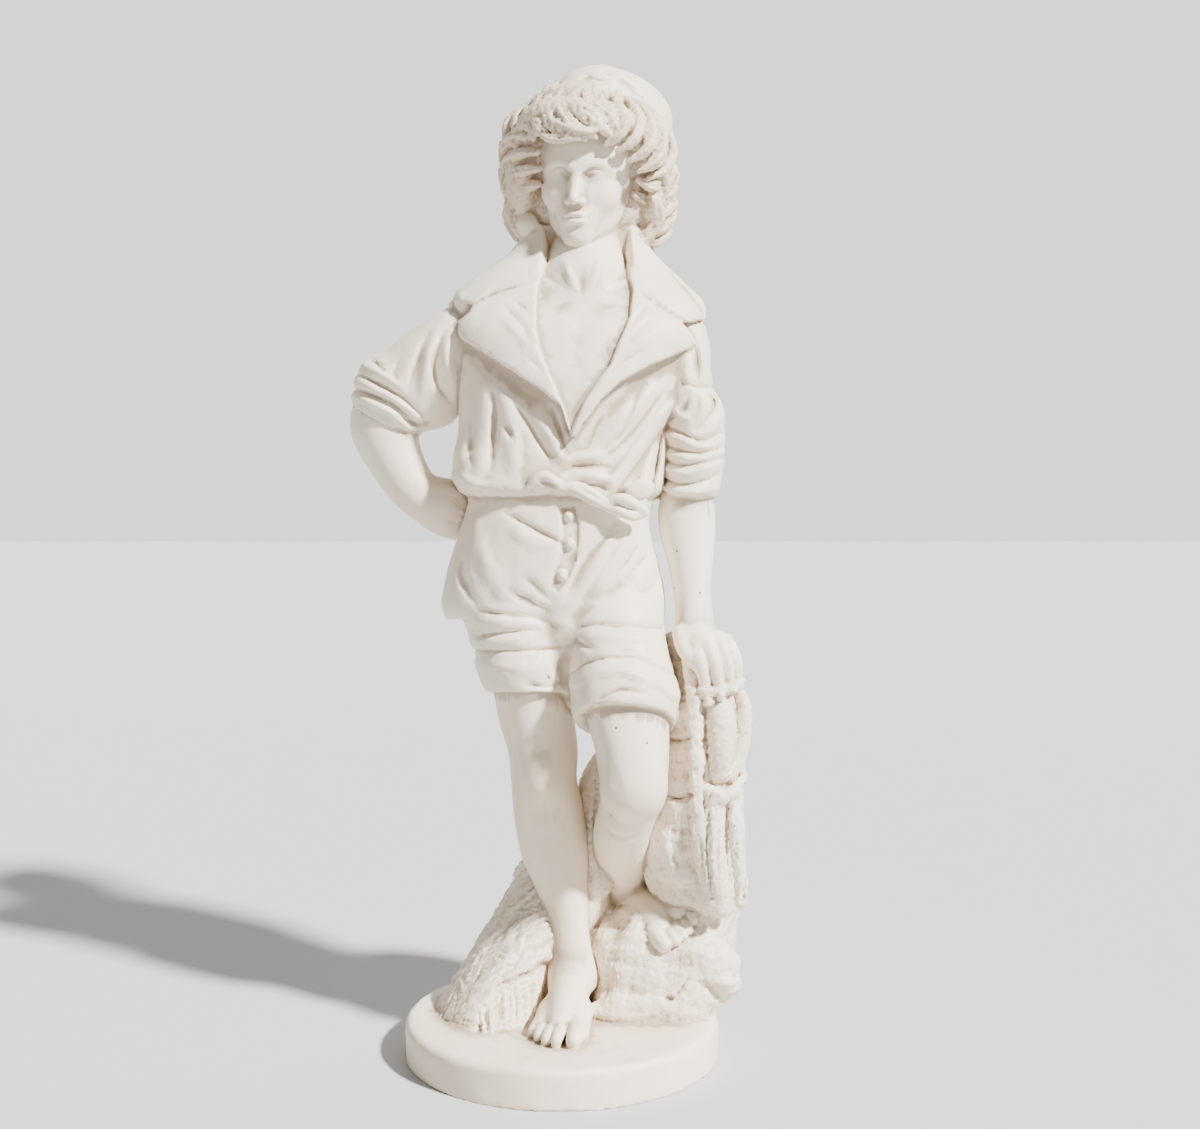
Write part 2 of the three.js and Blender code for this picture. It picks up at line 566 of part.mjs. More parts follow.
// bent arm, hand behind the hip
function bentArm() {
  begin();
  join(limb([
    [-109, 751.4, 20, 44], [-137.7, 729.5, 26, 47], [-166.5, 705.4, 32, 47], [-192, 679, 34, 42],
  ]), 6);
  join(ball([-190.7, 707.6, 32], [37, 36, 40]), 8);
  trim([-194.4, 669, 34], [-0.49, -0.87, 0.1], 4);
  join(ball([-136, 688, 28], [26, 26, 28]), 14);
  // rolls of the turned-up sleeve
  fold([[-233, 697.7, 4, 1], [-213, 690, 6, 5], [-189, 678, 6, 5], [-169, 661.4, 5, 3]], -60, 100);
  fold([
    [-230.5, 705.4, 3, -2], [-208.5, 697.7, 4, -5], [-184.3, 686.7, 4, -5], [-161.3, 666, 3, -2],
  ], -60, 100);
  fold([
    [-226, 713, 5, 2], [-199.6, 701, 7, 4], [-173.3, 685.6, 6, 4], [-153.6, 666, 5, 1],
  ], -60, 100);
  fold([
    [-225, 722, 3, -2], [-201.7, 710, 5, -5], [-175.4, 694.4, 5, -4], [-151.3, 672.4, 4, -1],
  ], -60, 100);
  fold([[-217, 730.6, 5, 2], [-197, 720.7, 7, 4], [-177.5, 707.6, 6, 2]], -60, 100);
  fold([[-210.3, 736, 3, -1], [-201.5, 730.6, 4, -4], [-193, 720.7, 3, -1]], -60, 100);
  // pulls from the armpit
  fold([[-146, 766.7, 4, 0], [-155, 745, 5, -3], [-164, 718.5, 5, -3], [-169, 699, 4, 0]], -60, 100);
  fold([[-135, 771, 6, 1], [-144, 745, 10, 5], [-151, 714, 9, 4], [-155.6, 690, 6, 0]], -60, 100);
  fold([
    [-132, 760, 4, -1], [-140, 734, 7, -6], [-135.6, 707.6, 6, -5], [-122.5, 688, 4, -1],
  ], -60, 100);
  fold([
    [-122, 769, 6, 1], [-126.5, 742.6, 9, 5], [-120, 710, 8, 4], [-113.7, 683.4, 5, 1],
  ], -60, 100);
  fold([[-173, 745, 4, 0], [-182, 723, 5, -2], [-179.7, 705.4, 4, 0]], -60, 100);
  fold([[-186.6, 677, 4, 0], [-160, 666, 5, -3], [-133.7, 670, 4, 0]], -60, 100);
  settle(3);
  begin();
  join(limb([
    [-194.3, 683.4, 34, 35], [-195.6, 661.4, 34, 37], [-184, 628.3, 30, 31], [-164, 595, 26, 27],
    [-141, 577.4, 26, 27],
  ]), 6);
  // hand closed behind the hip
  join(ball([-123.3, 572, 28], [30, 33, 26], 12, 0, 0), 12);
  join(ball([-110, 568.6, 38], [26, 31, 22]), 10);
  fold([[-130, 590.7, 4, 0], [-116.6, 582, 5, -2], [-108, 568.6, 4, 0]], -60, 100);
  fold([[-139, 557.5, 4, 0], [-123.4, 557.5, 5, -2], [-108, 551, 4, 0]], -60, 100);
  settle(0);
}

// straight arm and its sleeve
function straightArm() {
  begin();
  loft([
    [777.6, 118, 157.3, -20, 50],
    [758, 104.6, 163, -28, 56],
    [730.6, 103.6, 165.3, -33, 58],
    [703, 109, 168.7, -34, 54],
    [679, 111.4, 177.7, -34, 50],
    [653.7, 112.6, 181, -34, 48],
    [620.6, 111.6, 180, -36, 48],
    [602, 113, 177, -34, 46],
    [583, 115, 171.6, -30, 42]], 2.2, 8);
  fold([[153, 773, 5, 1], [156.4, 745, 7, 4], [160, 710, 5, 1]], -120, 10);
  fold([[148.7, 752.5, 3, 0], [149, 729.5, 5, -4], [152, 707.6, 3, -1]], -120, 10);
  fold([[140, 745, 5, 1], [138, 723, 8, 4], [142.3, 701, 5, 1]], -120, 10);
  // seam and the gathers of the turned-up sleeve
  fold([
    [135.6, 710, 3, -3], [151, 706.5, 3, -4], [167.6, 706.5, 3, -3], [179.7, 707.6, 3, -2],
  ], -120, 100);
  fold([[153.3, 703, 4, 1], [158, 690, 6, 4], [153.4, 674.6, 6, 3], [142.4, 661.4, 5, 0]], -120, 40);
  fold([[163, 702, 3, -1], [167.7, 688, 5, -5], [161, 672.4, 5, -5], [147, 657, 4, -1]], -120, 40);
  fold([[173, 699, 5, 2], [177.7, 681, 7, 4], [171, 663.6, 7, 4], [153.5, 650.4, 5, 1]], -120, 40);
  fold([[142.3, 701, 3, 0], [135.7, 683.4, 5, -4], [120.3, 670, 4, -1]], -120, 40);
  fold([[122.4, 690, 5, 1], [129, 677, 7, 4], [142.4, 670, 5, 1]], -120, 40);
  fold([
    [110.4, 666, 4, -1], [131.4, 657, 4, -4], [153.5, 648, 4, -4], [178, 657, 3, -1.5],
  ], -120, 100);
  fold([[110.4, 655, 5, 2], [136, 647, 7, 4], [158, 640.5, 6, 3], [178, 648, 5, 1]], -120, 100);
  fold([
    [110.4, 644, 3, -1], [131.5, 637, 4, -4], [158, 634, 4, -4], [180, 641.6, 3, -1.5],
  ], -120, 100);
  fold([[111.6, 634, 4, 1], [136, 628.3, 6, 4], [160.3, 628.3, 5, 2], [178, 635, 5, 1]], -120, 100);
  fold([
    [111.6, 627, 3, -2], [131.5, 620.6, 4, -4], [153.6, 623, 4, -3], [180, 628.3, 3, -1.5],
  ], -120, 100);
  fold([[112.7, 617.3, 5, 2], [136, 610.6, 6, 4], [160.3, 617.3, 6, 3], [178, 623, 4, 1]], -120, 100);
  fold([
    [111.6, 606, 3, -3], [131.6, 599.6, 4, -5], [153.7, 602, 4, -5], [173.6, 610.6, 3, -2],
  ], -120, 100);
  fold([[114, 595, 5, 3], [140.5, 589.6, 6, 4], [173.7, 595, 5, 2]], -120, 100);
  settle(3);
  begin();
  loft([
    [598.5, 114, 167, -24, 38],
    [568.6, 107.3, 170.5, -24, 38],
    [543, 109.6, 170.7, -26, 36],
    [515, 117.5, 168.6, -28, 30],
    [487.3, 123, 166.5, -30, 24],
    [465, 126.5, 167.7, -32, 18],
    [446, 126.6, 170, -36, 14],
    [430, 125.5, 172.4, -42, 10]], 2.0, 8);
  // back of the hand, fingers over the top of the support
  join(ball([157, 421, -24], [27, 22, 26], -20, 0, 0), 8);
  join(limb([
    [151, 420, -38, 10], [154.6, 403, -50, 8.5], [159, 385, -50, 7.5], [161.5, 371.7, -46, 6.5],
  ]), 3);
  join(limb([
    [163.5, 423.4, -38, 10], [169, 405.5, -50, 8.5], [173.7, 387.5, -50, 7.5],
    [176, 373, -46, 6.5],
  ]), 2);
  join(limb([
    [174.6, 427, -32, 10], [181.4, 410, -44, 8.5], [186, 392, -44, 7.5], [187, 379.6, -40, 6.5],
  ]), 2);
  join(limb([
    [182.4, 425.7, -22, 9], [191.4, 411, -32, 8], [196, 395.3, -33, 7], [195, 383, -30, 6],
  ]), 2);
  join(limb([
    [134.4, 432.4, -30, 11], [136.7, 416.7, -42, 9], [145.7, 403, -46, 8], [153.6, 395.3, -46, 7],
  ]), 4);
  settle(2);
}

// short trousers
function shorts() {
  begin();
  loft([
    [588.5, -101, 106, -60, 52],
    [568.6, -105.6, 98.4, -62, 54],
    [537.4, -116, 99.6, -64, 62],
    [502, -127, 109.7, -64, 70],
    [475, -133, 114, -62, 74],
    [459.3, -133, 114.3, -60, 72],
    [449, -128.6, 112, -56, 68]], 2.3, 4);
  // fly with its edge and buttons
  patch([
    [0, 573], [15.3, 574], [19.7, 557.5], [19.7, 535], [16.3, 514], [7.4, 493], [-3.7, 479.5],
    [-11.5, 484], [-6, 503], [1, 525], [3, 547.5],
  ], -3, 2.4, -120, 0);
  fold([
    [-1.4, 571, 2.4, -1.5], [1, 547.5, 2.6, -2.5], [-1.4, 525, 2.6, -2.5], [-8, 502, 2.6, -2],
    [-12.6, 483, 2.4, -1],
  ], -120, 0);
  join(ball([8.6, 564, -60], [5.6, 6, 6]), 0.6);
  join(ball([9.7, 533, -62], [5.8, 6.2, 5]), 0.6);
  join(ball([0.7, 498.4, -62], [5.6, 6, 5]), 0.6);
  // pulls across the lap
  fold([[-68, 571, 4, 0], [-48, 559.7, 5, -3], [-23.6, 546.3, 5, -4], [-0.3, 534, 4, -2]], -120, 0);
  fold([[-70, 559.7, 9, 0], [-43.6, 543, 12, 3], [-15, 524, 9, 0]], -120, 0);
  fold([[-93.4, 559.7, 9, 1], [-88, 520.7, 14, 3], [-66, 481.7, 14, 2], [-46, 466, 10, 0]], -120, 0);
  fold([[-66, 486, 5, 0], [-48.3, 475, 7, -3], [-26, 464, 6, -3], [-6, 457, 5, 0]], -120, 0);
  fold([[-46, 502, 5, 0], [-27, 484, 7, -3], [-10.4, 468.3, 5, -1]], -120, 0);
  fold([[-110.3, 528.5, 6, 0], [-109.4, 495, 9, -4], [-95, 466, 7, -2]], -120, 20);
  fold([
    [55, 544, 4, 0], [41, 529.7, 5, -4], [25, 509.6, 6, -7], [13, 487.3, 6, -6], [3, 468.3, 5, -2],
  ], -120, 0);
  fold([[69.6, 555, 7, 0], [53, 532, 10, 3], [35, 504, 11, 4], [18.5, 475, 8, 1]], -120, 0);
  fold([[87.4, 537.4, 4, 0], [74, 515, 6, -3], [58.6, 498.4, 5, 0]], -120, 0);
  fold([[98.5, 528.5, 4, 0], [87.5, 513, 5, -2.5], [72, 497.3, 4, 0]], -120, 0);
  fold([[105, 519.6, 7, 1], [93, 493, 12, 3], [65.3, 475, 12, 2], [43, 470.5, 8, 0]], -120, 0);
  fold([[56.4, 464, 5, 0], [37.4, 457, 7, -4], [18.5, 448, 7, -4], [5, 446, 5, -1]], -120, 0);
  fold([[-18.3, 457, 12, -2], [0.7, 455, 15, -6], [18.5, 455, 12, -3]], -120, 0);
  // seat at the back
  fold([[10, 600, 7, -3], [8, 540, 8, -7], [6, 455, 8, -7]], 20, 190);
  settle(0);
  begin();
  loft([
    [490.6, -112.7, 8.5, -40, 62],
    [464, -113, 7.4, -59, 63],
    [441.4, -106.4, 7.3, -62, 60],
    [425.7, -102, 7.3, -62, 59],
    [401, -94.3, 8.4, -62, 57],
    [386.3, -93.3, 9.5, -62, 56],
    [367, -84.5, 10.6, -60, 54]], 2.2, 3);
  fold([[-114, 467, 4, -2], [-76, 456, 5, -4], [-34, 451.5, 5, -3], [-10.5, 446, 4, 0]], -120, 20);
  fold([[-104, 446, 9, 2], [-68.5, 445, 10, 3], [-33, 442.5, 8, 1]], -120, 20);
  fold([[-93, 430, 4, -1], [-68.5, 433.5, 4, -4], [-24, 437, 4, -1]], -120, 20);
  fold([[-97.6, 424.6, 5, 2], [-68.6, 423.4, 6, 2.5], [-35, 425.7, 6, 1]], -120, 20);
  fold([
    [-96.5, 414.5, 3.5, -3], [-63, 413.3, 4, -4], [-24, 414.5, 4, -4], [5, 416.7, 3.5, -2],
  ], -120, 20);
  fold([[-93, 398.7, 11, 3], [-57.5, 394, 13, 3.4], [-18.4, 394, 11, 2]], -120, 20);
  fold([[-46.4, 369.4, 4, 0], [-34, 375, 5, -4], [-18.5, 373, 5, -3], [5, 379.6, 4, 0]], -120, 20);
  fold([[-82, 394, 3, 0], [-62, 391, 3, -2], [-44, 385, 3, 0]], -120, 0);
  settle(3);
  begin();
  loft([
    [493, 9.6, 109.7, -38, 58],
    [466, 6.3, 113, -64, 56],
    [442.5, 6, 114.3, -76, 50],
    [414.5, 7.3, 119, -90, 40],
    [386.3, 8.4, 127, -101, 28],
    [369.4, 9.5, 131.3, -108, 20],
    [349, 11.7, 130.3, -112, 12],
    [318.6, 18.4, 123.7, -114, 6]], 2.3, 4);
  trim([67.6, 354.7, -112], [-0.06, -0.93, -0.36], 3);
  fold([[18.5, 439, 4, -1], [41, 442.5, 5, -4], [71, 440.3, 5, -4], [110, 439, 4, -3]], -140, 20);
  fold([[25, 429, 8, 1], [56.4, 430, 10, 3], [99, 429, 9, 2]], -140, 20);
  fold([[14, 425.7, 5, 0], [25, 420, 6, -3], [41, 412, 5, 0]], -140, 20);
  fold([[54, 414.5, 3, 0], [74.3, 412, 3.4, -2], [96.6, 414.5, 3, 0]], -140, 20);
  fold([
    [13, 388.6, 3, -2], [29.6, 400, 4, -4], [56.4, 405.5, 4, -4], [87.7, 403, 4, -3],
    [124.6, 387.5, 3, -2],
  ], -160, 40);
  fold([
    [14, 376, 8, 3], [38.5, 389.7, 10, 4], [71, 391, 10, 4], [104.5, 378.4, 9, 4],
    [128, 362.7, 8, 3],
  ], -160, 20);
  fold([
    [32, 351.4, 4, -1], [47.5, 361.5, 5, -5], [67.6, 369.4, 5, -5], [93.3, 365, 4, -2],
  ], -160, 20);
  fold([[5, 470.5, 5, -2], [20.7, 464, 6, -3], [43, 464, 5, 0]], -120, 0);
  settle(8);
  begin();
  join(limb([[0.7, 472.7, -34, 24], [4, 442.5, -38, 20], [8.4, 403, -34, 13], [13, 358, -22, 9]]), 3);
  settle(14);
}

// standing leg and foot
function standingLeg() {
  begin();
  loft([
    [403, -80, 8.4, -50, 48],
    [365, -75.5, 9.5, -48, 47],
    [333.3, -70, 15, -45, 46],
    [299.3, -60, 18.3, -42, 43],
    [270, -57, 17, -42, 42],
    [241.3, -55, 23, -37, 45],
    [210.5, -51.5, 28.4, -31, 52],
    [179.6, -45, 30.6, -28, 53],
    [147.5, -31.5, 30, -25, 47],
    [118.7, -21.4, 30, -22, 38],
    [90, -14.7, 31, -20, 31],
    [61, -12.5, 36, -20, 28],
    [43.7, -13.6, 39.6, -24, 28],
    [26.3, -13.7, 38.5, -26, 26]], 2.1, 8);
  join(ball([-21, 276.6, -22], [19, 28, 18], 4, 0, 0), 26);
  fold([[-43.4, 295, 10, 0], [-44.6, 272, 12, -1.4], [-38, 249.3, 10, 0]], -120, 0);
  fold([[2.6, 295, 10, 0], [1.5, 272, 12, -1.4], [-5.3, 249.3, 10, 0]], -120, 0);
  fold([[-35.5, 297, 6, 0], [-21, 301.6, 7, -1.5], [-5, 298, 6, 0]], -120, 0);
  fold([[-30, 257, 8, 0], [-19, 254, 9, 1.5], [-7.5, 257, 8, 0]], -120, 0);
  fold([[-13, 244.7, 11, 0], [-4.3, 187.6, 13, 1.5], [5.7, 124.5, 11, 1], [10, 78.4, 8, 0]], -120, 0);
  // heel, instep and toes
  join(ball([10.3, 24.7, 20], [23, 19, 24]), 10);
  join(limb([[10, 46, 6, 24], [7.6, 22.6, -22, 23], [3, -1, -52, 21], [-1.7, -14.7, -72, 16]]), 10);
  join(limb([[19.5, 2, -40, 16], [19, -14.7, -72, 13], [19, -26, -96, 11]]), 8);
  join(limb([[-13, 3.6, -30, 14], [-20, -9, -54, 12], [-24.4, -15.6, -66, 10]]), 8);
  join(limb([[17, -20, -84, 11], [15.5, -26.7, -101, 10.5], [13, -33, -112, 9]]), 2);
  join(limb([[0, -18, -78, 8], [-3.4, -24.4, -98, 7.5], [-7, -33.7, -111, 6.5]]), 1);
  join(limb([[-10, -16.7, -72, 7.5], [-15, -23, -91, 7], [-18.4, -31.6, -103, 6]]), 1);
  join(limb([[-19, -15, -65, 7], [-24, -20, -81, 6.5], [-27.4, -27.4, -92, 5.5]]), 1);
  join(limb([[-26, -12, -56, 7], [-30.7, -16.7, -69, 6.5], [-34, -22, -78, 5.5]]), 1);
  settle(2);
}

// bent leg, its foot drawn back on the rock
function bentLeg() {
  begin();
  loft([
    [392, 18.4, 114.5, -88, 14],
    [358, 25, 119, -98, 2],
    [331, 29.6, 120.3, -106, -8],
    [301.6, 37.4, 120.4, -114, -18],
    [273, 42, 119.3, -118, -22],
    [250.4, 46.4, 116, -117, -24],
    [231, 54, 109.3, -110, -30]], 2.3, 12);
  join(limb([
    [80, 249.3, -76, 33], [68, 210.5, -34, 32], [66.7, 180.7, 16, 29], [70, 148.6, 56, 24],
    [72.4, 132.5, 74, 22],
  ]), 10);
  join(ball([81, 258.4, -92], [34, 30, 24]), 14);
  fold([[47.5, 244.7, 5, 0], [55.4, 226.5, 7, -3], [72, 217.3, 7, -2], [88, 222, 5, 0]], -160, 20);
  fold([[46.4, 219.6, 4, 0], [56.5, 206, 5, -3], [79, 202.5, 5, -2], [93.6, 210.5, 4, 0]], -160, 20);
  fold([[56.5, 285.7, 8, 0], [61, 263, 9, -1.5], [70, 244.7, 8, 0]], -160, 20);
  // foot
  join(ball([66.7, 133.7, 86], [21, 20, 24]), 8);
  join(limb([
    [74.6, 137, 70, 23], [90.4, 121, 40, 22], [106.3, 105, 12, 20], [114, 95.7, -4, 15],
  ]), 8);
  join(limb([[95, 124.5, 40, 18], [120, 121, 16, 15], [133.4, 113, 0, 12]]), 8);
  join(limb([[105, 93.4, -6, 12], [111, 84, -20, 10.5], [115.4, 78.4, -28, 9]]), 3);
  join(limb([[120, 95.7, -8, 8], [125.6, 87.6, -20, 7.5], [129, 83, -27, 6.5]]), 1);
  join(limb([[126.6, 101.5, -6, 7.5], [133.5, 93.4, -17, 7], [137, 89, -23, 6]]), 1);
  join(limb([[133.4, 107, -3, 7], [140, 100.3, -13, 6.5], [143.6, 95.7, -18, 5.5]]), 1);
  join(limb([[138, 115.3, 2, 7], [144.7, 110.7, -7, 6.5], [148, 107, -12, 5.5]]), 1);
  settle(2);
}

// sheaf of netting that falls behind the standing leg
function sheaf() {
  begin();
  loft([
    [233.3, 5, 52, 20, 66],
    [199, -19, 56.5, 16, 76],
    [176, -45, 56.5, 10, 84],
    [147.5, -61, 54.3, 4, 92],
    [124.5, -74.4, 52, -4, 96],
    [93.4, -92.7, 31.7, -14, 100],
    [61, -112, 4.5, -28, 106],
    [35.6, -127, -2.3, -42, 108],
    [5.4, -142, -7, -58, 108],
    [-15.5, -144.4, -7, -68, 104],
    [-36.5, -139, -11.6, -70, 100]], 2.0, 4);
  join(limb([
    [49.7, 299.3, 24, 9], [43, 276.6, 22, 17], [38.5, 244.7, 24, 24], [34, 199, 26, 28],
    [34, 153, 24, 24],
  ]), 6);
  fold([[29.5, 256, 4, -1], [27, 199, 5, -4], [33, 130, 4, -2]], -120, 20);
  fold([[39.6, 279, 4, -1], [38.5, 210.5, 5, -4], [43, 153, 4, -1]], -120, 20);
  // lower layer set back under the ragged edge of the upper one
  patch([
    [-77, 28.6], [-67, 36.7], [-56.7, 38], [-45.4, 46], [-35, 48.3], [-24, 58.7], [-12.5, 60],
    [9, 67], [9, -55], [-70.7, -55], [-79.6, -8.5],
  ], -8, 3.5, -120, 0);
  fold([[-64.6, 42.5, 7, 1], [-42, 54, 7, 4], [-16, 68, 7, 2]], -120, 20);
  fold([[-45.3, 75, 4, -1], [-30.6, 72.6, 5, -4], [-13.6, 83, 4, -2]], -120, 20);
  fold([[-104.5, 14.7, 9, 2], [-81.6, 43.7, 11, 5], [-47.5, 78.4, 10, 3]], -120, 20);
  fold([[-93, 58.7, 7, 0], [-70, 90, 8, -4], [-36, 124.5, 7, -1]], -120, 20);
  fold([[-72.3, 95.7, 8, 1], [-53, 124.5, 9, 4], [-27, 153, 8, 1]], -120, 20);
  grooves([[-142, -6], [-131.6, 26.3], [-111, 61], [-87, 101.5], [-56, 155.5]],
    [[-59, 40], [-30.5, 93.4], [-15.7, 132.5], [-15.6, 164.7], [-31.4, 180.7]],
    24, 5, -4.2, 5);
  grooves([[-104.7, -20], [-86.3, 14.7], [-72.6, 24], [-47.7, 35.6], [-13.6, 49.5]],
    [[-98, -25], [-84, -22.5], [-70.6, -22.5], [-48, -18], [-16, 3]],
    12, 4.6, -4, 19);
  cut(ball([-71.5, 32, -58], [3.4, 3.6, 12]), 1);
  settle(1);
}

// rough rock under the bent leg
function rock() {
  begin();
  loft([
    [132.5, 68, 174, 20, 150],
    [105, 45.3, 187.7, -6, 156],
    [78.4, 37.3, 192.3, -22, 158],
    [52, 33, 198, -30, 160],
    [34.4, 34, 200.5, -33, 160],
    [18, 31.7, 197, -34, 158],
    [1, 29.4, 183.7, -34, 150],
    [-43.5, 29.4, 177, -30, 140]], 3.2, 6);
  join(limb([[149, 101.5, 40, 44], [160.4, 130, 34, 42], [161.4, 164.7, 30, 38]]), 16);
  join(ball([83.7, 86.5, 92], [60, 34, 50]), 16);
  join(ball([43, 61, 84], [54, 50, 56]), 20);
  join(ball([46.4, 116.4, 66], [26, 22, 26]), 12);
  // breaks and swellings of the quarried face
  join(ball([150, 96, 96], [44, 40, 50], 20, 30, 0), 12);
  join(ball([60, 80, 118], [60, 46, 34], -14, 0, 0), 12);
  cut(ball([104, 60, 168], [18, 60, 24], 12, 0, 0), 10);
  join(ball([170, 54, -12], [32, 28, 22], 20, 20, 0), 16);
  join(ball([183.5, 33.3, -6], [20, 13, 30], 0, 0, 0), 6);
  join(ball([88.4, 3, -22], [70, 16, 14], 2, 0, 0), 16);
  cut(ball([163, 86.5, -34], [22, 8, 10], -12, 0, 0), 10);
  cut(limb([[145, -6, -40, 4], [163.3, -4, -34, 4.5], [186, 3, -10, 5], [190.5, 3, 30, 5]]), 2);
  cut(ball([121.3, 17, -40], [7, 3.5, 9], 20, 0, 0), 2);
  fold([[127, 19.3, 2.5, -1], [135, 28.6, 3, -4], [146, 45, 2.5, -1]], -120, 20);
  fold([[47.5, 14.7, 9, 0], [88.3, 26.3, 12, -2], [124.6, 33.3, 9, 0]], -120, 20);
  fold([[50, 72.6, 9, 0], [77, 56.4, 12, -2], [115.5, 58.7, 9, 0]], -120, 20);
  fold([[115.4, 63.4, 9, 0], [145, 70.3, 12, 3], [181, 77, 8, 0]], -120, 20);
  fold([[145, 43.7, 7, 0], [170, 24, 9, -3], [186, 10, 7, 0]], -120, 20);
  settle(3);
}

// lopped stump that carries the hand
function stump() {
  begin();
  loft([
    [434.7, 114.4, 159, -6, 40],
    [414.5, 114.4, 183.6, -14, 56],
    [394, 116.7, 197, -26, 66],
    [375, 119, 200.6, -36, 74],
    [352.5, 119, 204, -42, 78],
    [313, 110, 204.4, -44, 82],
    [256, 105, 202.5, -43, 86],
    [210.5, 97, 205, -38, 92],
    [176, 91.5, 207.5, -30, 98],
    [141.7, 99.4, 208, -18, 100],
    [121, 115.3, 203.4, -12, 100],
    [109.5, 133.4, 196.7, -4, 100]], 2.4, 6);
  // bark ridges and a hollow down the back
  join(limb([[136, 432, 52, 9], [133, 380, 70, 11], [135, 290, 80, 12], [128, 170, 88, 14]]), 10);
  join(limb([[162, 424, 56, 9], [164, 350, 74, 12], [158, 240, 84, 12], [162, 150, 86, 14]]), 10);
  join(limb([[186, 400, 40, 8], [188, 340, 56, 10], [184, 240, 66, 10], [180, 160, 72, 10]]), 10);
  cut(ball([148, 350, 92], [7, 44, 12], 6, 0, 0), 8);
  cut(ball([173, 290, 86], [7, 40, 12], -8, 0, 0), 8);
  // draped netting over the foot of the stump
  patch([
    [117, 242.4], [106, 219.6], [95, 201.3], [91.4, 187.6], [97, 170.4], [116.3, 147.5],
    [144.6, 124.5], [163, 112], [173.7, 176], [157.6, 242.4],
  ], 5, 3.5, -120, 20);
  fold([[124, 222, 6, 1], [115, 187.6, 9, 4], [133.3, 147.5, 8, 2]], -120, 20);
  fold([[144, 231, 5, 0], [137.6, 193.3, 8, -4], [153.6, 141.7, 7, -1]], -120, 20);
  cut(ball([156, 146.3, -34], [6, 3.5, 7], -20, 0, 0), 2);
  // bark column, knot and lopped segment
  join(limb([
    [141.3, 398.7, -36, 8], [149.3, 358, -43, 8], [151.7, 301.6, -47, 9], [152, 244.7, -47, 9],
    [159, 187.6, -43, 10], [169.5, 128, -34, 10],
  ]), 8);
  join(ball([131.4, 339, -28], [14, 17, 11]), 10);
  cut(ball([129, 344.6, -46], [5, 7, 6], -20, 0, 0), 2.5);
  cut(ball([137, 327.6, -45], [3.5, 4, 5], 0, 0, 0), 2);
  fold([[114.7, 315, 3, -3], [130.4, 312, 3.5, -7], [145, 315, 3, -3]], -120, 20);
  fold([[117, 250.4, 3, -4], [130.6, 246, 3.5, -9], [146.4, 250.4, 3, -4]], -120, 20);
  fold([[117, 292.5, 3, 0], [132.7, 288, 4, -2.5], [144, 292.5, 3, 0]], -120, 20);
  fold([[117, 274.3, 3, 0], [130.6, 268.6, 4, -2], [144, 271, 3, 0]], -120, 20);
  grooves([[141.3, 394], [157, 394]], [[160.4, 130], [180.7, 130]], 4, 4, -2.6, 31);
  grooves([[117, 235.6], [128.4, 240], [148.7, 240]],
    [[101.5, 201.3], [124, 192], [155.6, 197]],
    8, 3.6, -2.2, 37);
  settle(3);
}

// netting, flask and straps hung on the stump
function bag() {
  begin();
  // ragged edge of the netting under the fingers
  join(limb([
    [148, 376, -34, 7], [161.5, 365, -46, 7], [175, 369.4, -46, 7], [188.3, 371.7, -42, 7],
    [199.5, 378.4, -26, 6],
  ]), 4);
  join(ball([158, 370.5, -50], [6, 5, 5]), 2);
  join(ball([165, 354.7, -50], [7, 5, 6], 20, 0, 0), 2);
  join(ball([178.3, 362.7, -54], [5, 6, 5]), 2);
  join(ball([191.7, 369.4, -46], [6, 5, 5]), 2);
  // swelling flask in it
  loft([
    [365, 159.3, 190.6, -46, 20],
    [344.6, 158.3, 196.3, -54, 30],
    [318.6, 158.4, 198.7, -58, 34],
    [292.5, 159.6, 198, -56, 30],
    [265, 164.3, 191, -48, 20]], 2.4, 6);
  fold([
    [192, 353.6, 2.5, -1], [197.6, 318.6, 3, -5], [192, 288, 3, -4], [182, 267.5, 2.5, -2],
  ], -120, 20);
  fold([[161.6, 353.6, 2.5, -1], [159.5, 318.6, 3, -4], [163, 281, 2.5, -2]], -120, 20);
  // second long form beside it
  join(limb([
    [198.4, 369.4, -24, 6], [204, 349, -24, 8], [203, 318.6, -24, 9], [200, 295, -26, 8],
    [190, 272, -32, 7],
  ]), 4);
  // strap with its loop and knob
  join(limb([[164.3, 255, -44, 8], [180, 248, -48, 8], [194.6, 255, -42, 8]]), 3);
  join(limb([[203.5, 277.7, -14, 4], [203.5, 270, -16, 4.4], [195.7, 258.4, -30, 6]]), 2);
  cut(ball([166.5, 273, -56], [3.4, 6.5, 11], 8, 0, 0), 1.2);
  // tails hanging down, with the channel between them
  join(limb([
    [172, 242.4, -42, 11], [171.3, 199, -45, 14], [174, 153, -42, 14], [178.5, 121, -30, 11],
  ]), 7);
  join(limb([
    [191.3, 242.4, -39, 8], [195, 210.5, -41, 10], [198.6, 167, -35, 9], [201, 128, -24, 7],
  ]), 4);
  fold([[187, 238, 3, -4], [186, 199, 3.5, -7], [192, 155.5, 3.5, -7], [193, 121, 3, -4]], -120, 20);
  fold([[201.6, 219.6, 2.5, -2], [205.3, 176, 3, -6], [203.3, 128, 2.5, -4]], -120, 20);
  fold([[165.6, 231, 2.5, -2], [163.5, 187.6, 3, -5], [169.4, 130, 2.5, -3]], -120, 20);
  grooves([[164.4, 238], [182.4, 238]], [[165, 123.3], [187.6, 121]], 4, 3.4, -2.4, 43);
  grooves([[192.6, 222], [202.7, 222]], [[197.7, 130], [208, 132.5]], 2, 3, -2, 47);
  settle(2);
}

